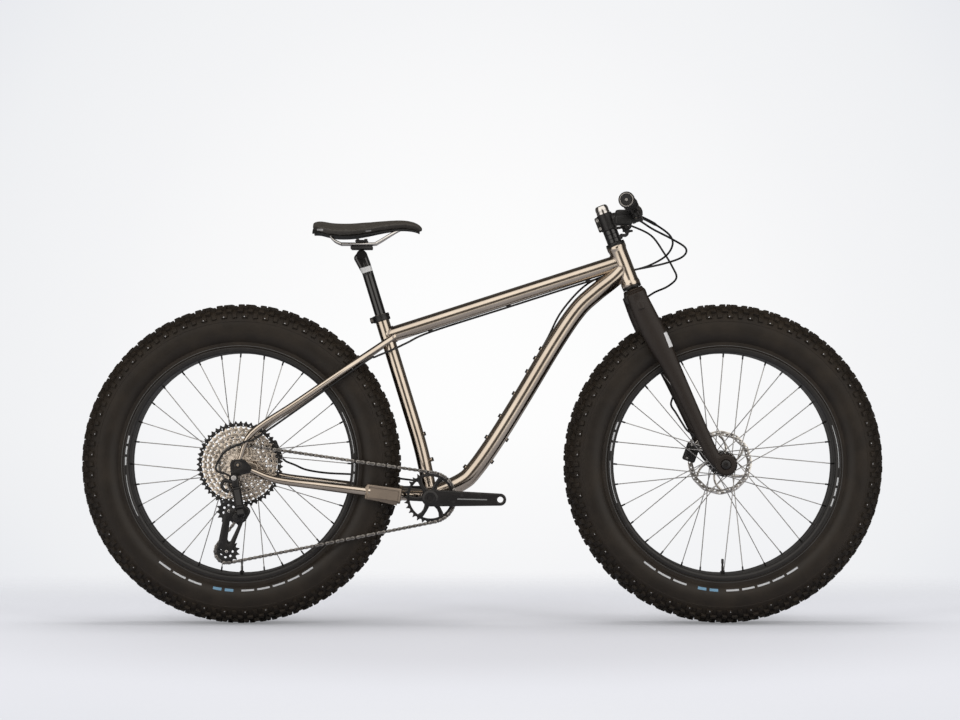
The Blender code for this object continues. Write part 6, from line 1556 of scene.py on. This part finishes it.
def brake_lever(side):
    """Lever body with hinged clamp, cylinder, cap and hose nut; the blade; and small silver parts."""
    out, reach, across = lever_ways(side)
    seat = on_bar(side, 0.236)
    turn = framed(out, reach, across)
    line = seat + 0.026 * reach
    cap = line - 0.02 * out
    ear = seat + 0.011 * out + 0.0284 * reach
    pivot = seat + 0.018 * out + 0.0415 * reach
    barrel = [
        (0, -0.05), (0.0046, -0.05), (0.005, -0.0495), (0.005, -0.044), (0.0078, -0.043), (0.0078, -0.0385),
        (0.0096, -0.036), (0.01, -0.03), (0.01, 0.002), (0.0094, 0.004), (0.0094, 0.009), (0.0086, 0.0118),
        (0, 0.012),
    ]
    slot = block("slot", ear + 0.009 * reach + 0.004 * out, (0.02, 0.012, 0.0062), turn, 0.0004, 1)
    body = [
        collar("clamp", seat - 0.006 * out, seat + 0.006 * out, 0.0113, 0.0163, 40, 0.001),
        turned("barrel", barrel, line, out, 32),
        block("bridge", seat + 0.0172 * reach, (0.0115, 0.011, 0.0185), turn, 0.0025, 3),
        cut(block("ear", ear, (0.0145, 0.0165, 0.0122), turn, 0.0028, 3), slot),
        block("lug", seat - 0.014 * reach, (0.0105, 0.0075, 0.012), turn, 0.002, 3),
        rod("cap", cap + 0.0088 * across, cap + 0.0103 * across, 0.0072, 28),
    ]
    spots = [pivot + along_bar * out + forward * reach for along_bar, forward in (
        (0, 0), (0.02, 0.0052), (0.045, 0.008), (0.072, 0.0066), (0.095, 0.005), (0.11, 0.0075),
        (0.118, 0.011))]
    return body, [
        swept("blade", smooth_route(spots, 4), [0.0046] * 5 + [0.0043] * 12 + [0.0042] * 4 + [0.005] * 4, 18),
        swept("tip", [spots[-1] - 0.001 * reach, spots[-1] + 0.0006 * reach], 0.0053, 20),
        collar("hinge", pivot - 0.0056 * across, pivot + 0.0056 * across, 0.0022, 0.0047, 20, 0.0005),
    ], [
        bolt(pivot + 0.0056 * across, across, 0.0022, 0.0006),
        bolt(seat - 0.014 * reach - 0.0058 * across, -across, 0.003, 0.002),
    ]


def shifter():
    """Shifter: clamp, shaped case with a cover, cable adjuster, and its two levers."""
    way = bar_way(-1)
    seat = on_bar(-1, 0.196)
    middle = seat + at(-0.022, 0, -0.033)
    case = block("case", middle, (0.0435, 0.0375, 0.0255), None, 0.0065, 4)
    sunk(case, lambda _, out: abs(out.z) > 0.95 or out.x < -0.95, 0.0018, 0.0007, use_individual=False)
    hood = block("hood", middle + at(-0.001, 0.001, 0.0165), (0.035, 0.027, 0.018), None, 0.006, 4)
    edit(hood, lambda _, out: out.z > 0.95)
    bpy.ops.transform.resize(value=(0.72, 0.8, 1))
    bpy.ops.mesh.inset(thickness=0.0016, depth=-0.0006)
    done()
    adjuster = [(0, -0.004), (0.0046, -0.004), (0.0046, 0.0045), (0.004, 0.005), (0, 0.005)]
    body = [
        case, collar("clamp", seat - 0.005 * way, seat + 0.005 * way, 0.0113, 0.0154, 40, 0.001),
        block("neck", seat + at(-0.006, 0, -0.0192), (0.014, 0.009, 0.014), None, 0.002, 3), hood,
        turned("adjuster", adjuster, middle + at(0.014, 0.0143, 0.003), LEFT, 10),
    ]
    levers = []
    for drop, tip in ((0.0, at(-0.02, -0.036, -0.004)), (0.0078, at(0.01, -0.03, -0.003))):
        top = seat + at(-0.018, -0.008, -0.0463 - drop)
        start = top - 0.00375 * UP
        spots = smooth_route([start, start + 0.45 * tip + 0.0006 * UP, start + 0.8 * tip, start + tip], 4)
        levers.append([
            rod("hub", top - 0.0075 * UP, top, 0.0059, 28),
            swept("paddle", spots, [0.003] * 5 + [0.0032] * 4 + [0.0034] * 4),
            block("pad", start + 0.93 * tip, (0.015, 0.011, 0.0052), None, 0.0022, 4),
        ])
    return body, [bolt(middle + at(x, 0.012, -0.012), -UP, 0.0022, 0.0012) for x in (-0.015, 0.012)], levers


spacers = [collar("spacer", on_steerer(low), on_steerer(high), 0.0146, 0.0179, 48)
           for low, high in ((0.6037, 0.6134), (0.6137, 0.625), (0.6253, 0.6365))]
finish("stem_spacers", spacers, GLOSS, "steering", "steerer_spacers")
parts, bolts = stem()
finish("stem_body", parts, BLACK_METAL, "steering", "stem", 30)
finish("stem_bolts", bolts, STEEL, "steering")
parts, bolts = face_plate()
finish("stem_face", parts, BLACK_METAL, "steering", "stem_faceplate", 30)
finish("face_bolts", bolts, STEEL, "steering")
finish("steerer_cap", top_cap(), SILVER, "steering", "stem_top_cap", 30)
finish("flat_bar", handlebar(), CARBON, "steering", "handlebar", 60)
for hand, side in (("right", -1), ("left", 1)):
    rubber, grip_rings, grip_silver = grip(side)
    finish("grip_sleeve_" + hand, rubber, GRIP, "steering", "grip_" + hand, 30)
    finish("grip_rings_" + hand, grip_rings, BLACK_METAL, "steering", angle=30)
    finish("grip_band_" + hand, grip_silver, SILVER, "steering", angle=30)
    lever_body, blade, pins = brake_lever(side)
    finish("lever_body_" + hand, lever_body, BLACK_METAL, "steering", "brake_lever_body_" + hand, 30)
    finish("lever_blade_" + hand, blade, BLACK_METAL, "brake_blade_" + hand, "brake_lever_" + hand)
    finish("lever_pins_" + hand, pins, STEEL, "steering")
parts, screws, (thumb, release) = shifter()
finish("shifter_case", parts, PLASTIC, "steering", "shifter_body", 30)
finish("shifter_screws", screws, STEEL, "steering")
finish("thumb_paddle", thumb, PLASTIC, "thumb_lever", "shifter_thumb_lever", 35)
finish("release_paddle", release, PLASTIC, "release_lever", "shifter_release_lever", 35)

# Seat

POST_END = at(-0.29672, 0, 0.90966)
POST_HEAD = POST_END - 0.0031 * UP
RAIL_LINE = POST_END + 0.0235 * UP
RAIL_BENDS = (
    (-0.075, 0.034, 0.019), (-0.067, 0.032, 0.0085), (-0.052, 0.026, 0.001), (-0.042, 0.022, 0.0),
    (0.026, 0.022, 0.0), (0.04, 0.021, 0.004), (0.068, 0.016, 0.021), (0.086, 0.01, 0.0315),
    (0.095, 0.0, 0.035),
)
SADDLE_SECTIONS = (
    (-0.12, 0.046, 0.0735, 0.014), (-0.102, 0.067, 0.0775, 0.017), (-0.068, 0.0735, 0.072, 0.019),
    (-0.026, 0.062, 0.071, 0.019), (0.014, 0.042, 0.075, 0.0185), (0.054, 0.029, 0.0785, 0.0145),
    (0.094, 0.023, 0.0805, 0.0115), (0.122, 0.0195, 0.0775, 0.01), (0.141, 0.015, 0.0695, 0.0075),
    (0.1505, 0.0075, 0.059, 0.005),
)
SWELL = 0.005


def seat_post():
    """The straight post and the round head that the saddle's clamp tilts on."""
    head = [(0, -0.0168), (0.011, -0.0168), (0.0124, -0.0155), (0.0124, 0.0155), (0.011, 0.0168), (0, 0.0168)]
    flare = hull((POST_HEAD, 0.0118), (POST_HEAD + at(-0.0085, 0, -0.008), 0.0105),
                 (on_seat_tube(0.108), 0.0134))
    post = [on_seat_tube(height) for height in (-0.15, 0.0, 0.13, 0.156)]
    return [swept("post", post, [0.0136, 0.0136, 0.0136, 0.012], 40),
            turned("head", head, POST_HEAD, LEFT, 40),
            plate("flare", [flare], 0, 0.0265, 0.008, 5)]


def clamp_cradle():
    """The cradle under the rails, grooved for them."""
    cradle = block("cradle", RAIL_LINE - 0.0088 * UP, (0.0535, 0.052, 0.0098), None, 0.0025, 3)
    cut(cradle, *(cross_rod("groove", RAIL_LINE + at(0, side * 0.022, -0.0004), 0.05, 0.0042, 24, at(1, 0, 0))
                  for side in (-1, 1)))
    return sunk(cradle, lambda _, way: abs(way.y) > 0.97, 0.0016, 0.0008)


def clamp_plates():
    """The plates over the rails, their two upright bolts and the barrel nuts."""
    over = RAIL_LINE + 0.0066 * UP
    made = [block("over", over + side * 0.0205 * LEFT, (0.03, 0.0115, 0.0058), None, 0.0018, 3)
            for side in (-1, 1)]
    made.append(block("bridge", over, (0.028, 0.032, 0.0046), None, 0.0014, 2))
    bolts = []
    for ahead in (-0.01, 0.01):
        foot = RAIL_LINE + at(ahead, 0, -0.0033)
        bolts.append(rod("stud", foot, foot + 0.015 * UP, 0.0027, 20))
        bolts.append(rod("nut", foot + 0.012 * UP, foot + 0.0166 * UP, 0.004, 6, 0.0004))
    return made, bolts


def saddle_rails():
    spots = [RAIL_LINE + Vector(bend) for bend in RAIL_BENDS]
    other = [at(spot.x, -spot.y, spot.z) for spot in spots[-2::-1]]
    return swept("rails", smooth_route(spots + other, 6), 0.0034, 20)


def saddle_spot(place, share, depth):
    """A point of the saddle: place runs over its sections, share from -1 to 1 across it."""
    last = len(SADDLE_SECTIONS) - 1
    index = min(int(place), last - 1)
    near = [SADDLE_SECTIONS[min(max(index + step, 0), last)] for step in (-1, 0, 1, 2)]
    ahead, half_width, height, droop = (between(*four, place - index) for four in zip(*near))
    return POST_END + at(ahead, (half_width - 0.5 * depth) * share, height - droop * share * share - depth)


def saddle_layer(depth, thickness, reach):
    """A layer of the saddle, shaped from a grid: its top is depth below the saddle's top."""
    bpy.ops.mesh.primitive_grid_add(x_subdivisions=32, y_subdivisions=16, size=2)
    piece = started("layer")
    for vertex in piece.data.vertices:
        place = (vertex.co.x + 1) / 2 * (len(SADDLE_SECTIONS) - 1) * reach
        vertex.co = saddle_spot(place, vertex.co.y, depth)
    modified(piece, "SOLIDIFY", thickness=thickness, offset=-1)
    edit(piece)
    bpy.ops.mesh.normals_make_consistent(inside=False)
    done()
    return piece


def filled_out(piece):
    """Swells a pad in its cover with a short cloth run, its underside held, and smooths it."""
    melted(piece, 0.0038)
    spots = [vertex.co.copy() for vertex in piece.data.vertices]
    held = piece.vertex_groups.new(name="held")
    held.add([vertex.index for vertex in piece.data.vertices if vertex.normal.z < -0.35], 1.0, "REPLACE")
    cloth = piece.modifiers.new("cover", "CLOTH")
    cloth.settings.use_pressure = True
    cloth.settings.uniform_pressure_force = 4
    cloth.settings.effector_weights.gravity = 0
    cloth.settings.vertex_group_mass = "held"
    for number in range(1, 21):
        bpy.context.scene.frame_set(number)
    only(piece)
    bpy.ops.object.modifier_apply(modifier=cloth.name)
    for vertex, spot in zip(piece.data.vertices, spots):
        move = vertex.co - spot
        if move.length > SWELL:
            vertex.co = spot + move * (SWELL / move.length)
    modified(piece, "SMOOTH", iterations=6)
    return modified(piece, "SUBSURF", levels=1, render_levels=1)


POST_LOOK = panel(GLOSS.copy(), on_seat_tube(0.1155, 0, -0.0136), SEAT_UP, SEAT_AHEAD, 0.0066, 0.015, 0.012,
                  (0.62, 0.61, 0.59))
finish("seat_post_tube", seat_post(), POST_LOOK, "seat_post", "seatpost")
finish("clamp_cradle", clamp_cradle(), BLACK_METAL, "saddle_clamp", "saddle_clamp_lower", 30)
parts, bolts = clamp_plates()
finish("clamp_plates", parts, BLACK_METAL, "saddle_clamp", "saddle_clamp_upper", 30)
finish("clamp_studs", bolts, SILVER, "saddle_clamp", "", 30, "steel")
finish("rail_wire", saddle_rails(), SILVER, "saddle", "saddle_rails", 60)
shell = modified(saddle_layer(0.0116, 0.0028, 0.905), "BEVEL", width=0.0009, segments=2)
finish("saddle_base", shell, PLASTIC, "saddle", "saddle_shell")
pad = filled_out(saddle_layer(-0.002, 0.0146, 1.0))
COVER_LOOK = panel(COVER.copy(), POST_END + at(0.018, -0.052, 0.054), (0.99, 0, 0.14), (-0.14, 0, 0.99),
                   0.0068, 0.0013, 0.045, (0.3, 0.29, 0.28))
panel(COVER_LOOK, POST_END + at(-0.099, -0.052, 0.055), (1, 0, -0.05), (0.05, 0, 1), 0.008, 0.0024, 0.045,
      (0.36, 0.35, 0.33))
finish("saddle_cover_pad", pad, COVER_LOOK, "saddle", "saddle_pad", 60)

# Brakes and hoses


def caliper(axle, rotor_side, degrees, lean, port, way):
    """A caliper on its rotor's edge: ribbed halves, mount, fins; bolts; and where its hose ends and heads."""
    angle = radians(degrees)
    seat = axle + 0.076 * spun(angle) + rotor_side * LEFT
    turn = Quaternion((0, 1, 0), -angle)
    matrix = turn.to_matrix().to_4x4()

    def spot(x, y, z):
        return seat + turn @ at(x, y, z)

    body = block("body", seat, (0.032, 0.024, 0.048), matrix, 0.005, 4)
    cut(body, block("slot", spot(-0.01, 0, 0), (0.036, 0.005, 0.06), matrix, 0.0003, 1))
    made = [body, block("mount", seat + lean, (0.02, 0.008, 0.03), matrix, 0.0022, 3)]
    silver = []
    for side in (-1, 1):
        for number in range(5):
            rib = spot(0.004, side * 0.0128, -0.009 + 0.0045 * number)
            made.append(block("rib", rib, (0.02, 0.0022, 0.0022), matrix, 0.0006, 2))
        silver += [bolt(spot(0.006, side * 0.0118, lift), side * LEFT, 0.0032, 0.0022)
                   for lift in (-0.0175, 0.0175)]
    for lift in (-0.006, 0, 0.006):
        made.append(block("fin", spot(-0.0135, 0, lift), (0.006, 0.017, 0.0016), matrix, 0.0004, 1))
    fitting = [(0, -0.01), (0.0044, -0.01), (0.0044, -0.003), (0.0038, -0.0024), (0.0038, -0.001), (0.003, 0),
               (0, 0)]
    end = spot(*port)
    out = turn @ Vector(way)
    silver.append(turned("fitting", fitting, end, out, 12))
    return made, silver, end, out


front_parts, front_silver, *FRONT_END = caliper(
    FRONT_AXLE, 0.0635, 160, at(0.002, 0.0065, 0), (0.008, 0, -0.03), (0, 0, -1))
rear_parts, rear_silver, *REAR_END = caliper(
    REAR_AXLE, 0.087, 22, at(0, 0.01, -0.02), (0.014, 0, -0.027), (0.5, 0, -0.866))
finish("front_caliper", front_parts, BLACK_METAL, "steering", "front_brake_caliper", 30)
finish("front_caliper_bolts", front_silver, STEEL, "steering", angle=30)
finish("rear_caliper", rear_parts, BLACK_METAL, "frame", "rear_brake_caliper", 30)
finish("rear_caliper_bolts", rear_silver, STEEL, "frame", angle=30)

SHIFT_LOOP = (
    (0.372, -0.165, 0.983), (0.412, -0.12, 0.963), (0.462, -0.07, 0.942), (0.5, -0.02, 0.922),
    (0.495, 0.025, 0.903), (0.45, 0.043, 0.887), (0.379, 0.032, 0.872), (0.322, 0.029, 0.861),
    (0.285, 0.021, 0.8465),
)
SHIFT_TAIL = (
    (-0.185, -0.014, 0.69), (-0.222, -0.03, 0.672), (-0.262, -0.052, 0.655), (-0.294, -0.069, 0.637),
    (-0.53, -0.104, 0.47), (-0.572, -0.116, 0.45), (-0.618, -0.117, 0.428), (-0.64, -0.114, 0.4),
    (-0.642, -0.116, 0.38),
)
BRAKE_LOOP = (
    (0.415, -0.13, 0.975), (0.455, -0.07, 0.953), (0.468, -0.015, 0.932), (0.455, 0.03, 0.906),
    (0.417, 0.047, 0.884), (0.379, 0.046, 0.872), (0.34, 0.041, 0.864), (0.302, 0.033, 0.856),
    (0.266, 0.023, 0.84), (0.231, 0.016, 0.8105), (0.1906, 0.011, 0.76), (0.16, 0.012, 0.699),
)
DOWN_TUBE_STEPS = (
    (0.48, 0.0194, 0.0166), (0.58, 0.017, 0.0195), (0.68, 0.012, 0.0235), (0.76, 0.006, 0.0265),
    (0.82, 0.002, 0.0275),
)
BRAKE_TAIL = (
    (-0.04, 0.031, 0.372), (-0.08, 0.036, 0.35), (-0.126, 0.044, 0.343), (-0.18, 0.062, 0.35),
    (-0.25, 0.083, 0.357), (-0.321, 0.088, 0.3625), (-0.39, 0.0915, 0.366), (-0.44, 0.092, 0.374),
    (-0.468, 0.089, 0.386),
)
FRONT_BRAKE_LOOP = (
    (0.424, 0.12, 0.962), (0.455, 0.085, 0.915), (0.474, 0.066, 0.88), (0.484, 0.068, 0.853),
    (0.463, 0.086, 0.832), (0.425, 0.101, 0.814), (0.393, 0.1035, 0.782),
)
FRONT_BRAKE_TAIL = ((0.178, -0.009, 0.084), (0.155, -0.006, 0.072), (0.125, -0.001, 0.065),
                    (0.104, 0.004, 0.0636))


def straight_end(end, way):
    """The straight stretch of a hose that leaves a fitting."""
    return [end + distance * way for distance in (FIT, 0.005, 0.012)]


def lever_end(side):
    out, reach, _ = lever_ways(side)
    return straight_end(on_bar(side, 0.236) + 0.026 * reach - 0.05 * out, -out)


def hose(spots, boot=0):
    """A hose along its route, thicker for its first points where a boot covers it."""
    route = smooth_route(spots, 6)
    return swept("hose", route, [0.004 if 6 < number <= boot else 0.0025 for number in range(len(route))], 14)


def shift_route():
    """From the shifter, in a loop, under the top tube and down the right seat stay to the derailleur."""
    start = on_bar(-1, 0.196) + at(-0.008, 0.019, -0.03)
    clips = [TOP_START + share * TOP_RUN + (TOP_RADIUS + 0.0036) * TOP_BELOW
             for share in (0.845, 0.507, 0.175)]
    end = at(HANGER.x, -0.1175, HANGER.z) + (0.0115 + FIT) * HOUSING_WAY
    return [*straight_end(start, LEFT), *SHIFT_LOOP, *clips, *SHIFT_TAIL,
            *straight_end(end, HOUSING_WAY)[::-1]]


def rear_brake_route():
    """From the right lever, in a loop, beside the down tube and the left chainstay to the caliper."""
    spots = [*lever_end(-1), *BRAKE_LOOP]
    for share, out, left in DOWN_TUBE_STEPS:
        seat, way = on_down_tube(share, 1)
        spots.append(seat + (out - DOWN_RADIUS) * way + left * LEFT)
    return [*spots, *BRAKE_TAIL, *straight_end(*REAR_END)[::-1]]


def front_brake_route():
    """From the left lever round the crown and down the left fork blade to the caliper."""
    spots = [*lever_end(1), *FRONT_BRAKE_LOOP]
    for share in (0.78, 0.7, 0.6, 0.5, 0.42):
        above, below = next(pair for pair in zip(FORK_LEG_BENDS, FORK_LEG_BENDS[1:]) if pair[1][0] <= share)
        _, ahead, half_width = Vector(above).lerp(Vector(below), (above[0] - share) / (above[0] - below[0]))
        left = FORK_SIDE + 0.8 * 0.45 * half_width + 0.0055
        spots.append(on_steerer(share * FORK_LENGTH, ahead - 0.6 * half_width, left))
    return [*spots, *(on_steerer(*spot) for spot in FRONT_BRAKE_TAIL), *straight_end(*FRONT_END)[::-1]]


for name, route, node in (
    ("shift_hose", shift_route(), "shift_housing"), ("rear_hose", rear_brake_route(), "rear_brake_hose"),
):
    bent = finish(name, hose(route, 18), HOSE, None, node, 60)
    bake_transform(bent)
finish("front_hose", hose(front_brake_route()), HOSE, "steering", "front_brake_hose", 60)

# Stage, light and camera

# Floor colours: the painted shadow close under the bike, and the open floor.
FLOOR_PAINTED_SHADOW = (0.42, 0.418, 0.44, 1)
FLOOR_OPEN = (0.5, 0.503, 0.53, 1)
FLOOR_LIFT = 0.23


def floor_look():
    """A pale floor that fades into the background away from the bike, with a painted shadow that darkens it
    close under the bike.
    """
    made = bpy.data.materials.new("studio_floor")
    made.use_nodes = True
    tree = made.node_tree
    inputs = tree.nodes["Principled BSDF"].inputs
    inputs["Roughness"].default_value = 0.9
    inputs["Specular IOR Level"].default_value = 0.0
    inputs["Emission Color"].default_value = (0.96, 0.97, 1.0, 1)
    spot = vector(tree, "ADD", object_spot(tree), (0, 0.3, 0))
    # Painted shadow: the floor's colour is darker in an oval round the bike, centred a little towards the
    # camera.
    shade = mapped(tree, reach_of(tree, spot, (0.92, 1.15, 0)), 0.45, 1.25, kind="SMOOTHSTEP")
    fade = mapped(tree, reach_of(tree, spot, (0.55, 1.0, 0)), 0.9, 2.0, 1.0, 0.0, "SMOOTHSTEP")
    seen = add(tree, "LightPath").outputs["Is Camera Ray"]
    tree.links.new(blend_colour(tree, shade, FLOOR_PAINTED_SHADOW, FLOOR_OPEN), inputs["Base Color"])
    tree.links.new(sum_of(tree, "MULTIPLY", seen, FLOOR_LIFT), inputs["Emission Strength"])
    tree.links.new(fade, inputs["Alpha"])
    return made


def colour_ramp(tree, share, stops):
    """A colour ramp with these (place, colour) stops."""
    node = add(tree, "ValToRGB", {0: share})
    line = node.color_ramp.elements
    while len(line) < len(stops):
        line.new(0.5)
    for element, (place, colour) in zip(line, stops):
        element.position = place
        element.color = (*colour, 1)
    return node.outputs[0]


def studio():
    """A pale background for the camera; soft boxes round the camera for reflections; plain light."""
    world = bpy.data.worlds.new("studio")
    world.use_nodes = True
    tree = world.node_tree
    axes = add(tree, "SeparateXYZ", {0: add(tree, "TexCoord").outputs["Generated"]}).outputs
    ahead = mapped(tree, axes[1], 0.965, 1.0)
    ahead = sum_of(tree, "ADD", ahead, mapped(tree, axes[2], -0.14, -0.02, -0.42, 0.0))
    backdrop = colour_ramp(tree, ahead, (
        (0.0, (0.785, 0.8, 0.84)), (0.35, (0.86, 0.87, 0.89)), (0.65, (0.9, 0.905, 0.92)),
        (0.88, (0.955, 0.955, 0.96)), (1.0, (0.985, 0.985, 0.985)),
    ))
    boxes = colour_ramp(tree, sum_of(tree, "MULTIPLY_ADD", axes[1], -0.5, 0.5), (
        (0.0, (0.16, 0.155, 0.15)), (0.54, (0.05, 0.045, 0.04)), (0.65, (0.1, 0.095, 0.09)),
        (0.74, (1.7, 1.64, 1.56)), (0.965, (1.85, 1.78, 1.68)), (0.986, (0.16, 0.145, 0.13)),
        (1.0, (0.1, 0.09, 0.08)),
    ))
    boxes = scaled(tree, boxes, mapped(tree, axes[2], -0.5, -0.22, 0.26, 1.0))
    path = add(tree, "LightPath").outputs
    seen = blend_colour(tree, path["Is Glossy Ray"], (0.5, 0.5, 0.51, 1), boxes)
    shown = sum_of(tree, "MAXIMUM", path["Is Camera Ray"], path["Is Transmission Ray"])
    colour = blend_colour(tree, shown, seen, backdrop)
    tree.links.new(colour, tree.nodes["Background"].inputs["Color"])
    return world


def lamp(name, place, target, size, power):
    """A plain soft lamp that points at a target."""
    bpy.ops.object.light_add(type="AREA", location=place)
    light = started(name)
    light.data.shape = "RECTANGLE"
    light.data.size, light.data.size_y = size
    light.data.energy = power
    light.visible_glossy = False
    light.rotation_euler = (Vector(target) - Vector(place)).to_track_quat("-Z", "Y").to_euler()


bpy.ops.mesh.primitive_plane_add(size=10, location=(0, 0, -0.0006))
floor = settle(started("floor"))
floor.data.materials.append(floor_look())
lamp("key_left", (-2.6, -3.4, 2.8), (0, 0, 0.4), (1.4, 2.0), 55)
lamp("key_right", (2.8, -3.2, 2.6), (0, 0, 0.4), (1.4, 2.0), 50)
lamp("top", (0, 0.1, 3.6), (0, 0, 0.0), (2.6, 1.6), 70)

bpy.ops.object.camera_add(location=(-0.0055, -6.0, 0.606), rotation=(pi / 2, 0, 0))
camera = started("camera")
camera.data.lens = 91.3
camera.data.sensor_width = 36
camera.data.shift_y = 0.0177
camera.data.dof.use_dof = False
scene = bpy.context.scene
scene.view_settings.view_transform = "Standard"
scene.world = studio()
scene.camera = camera
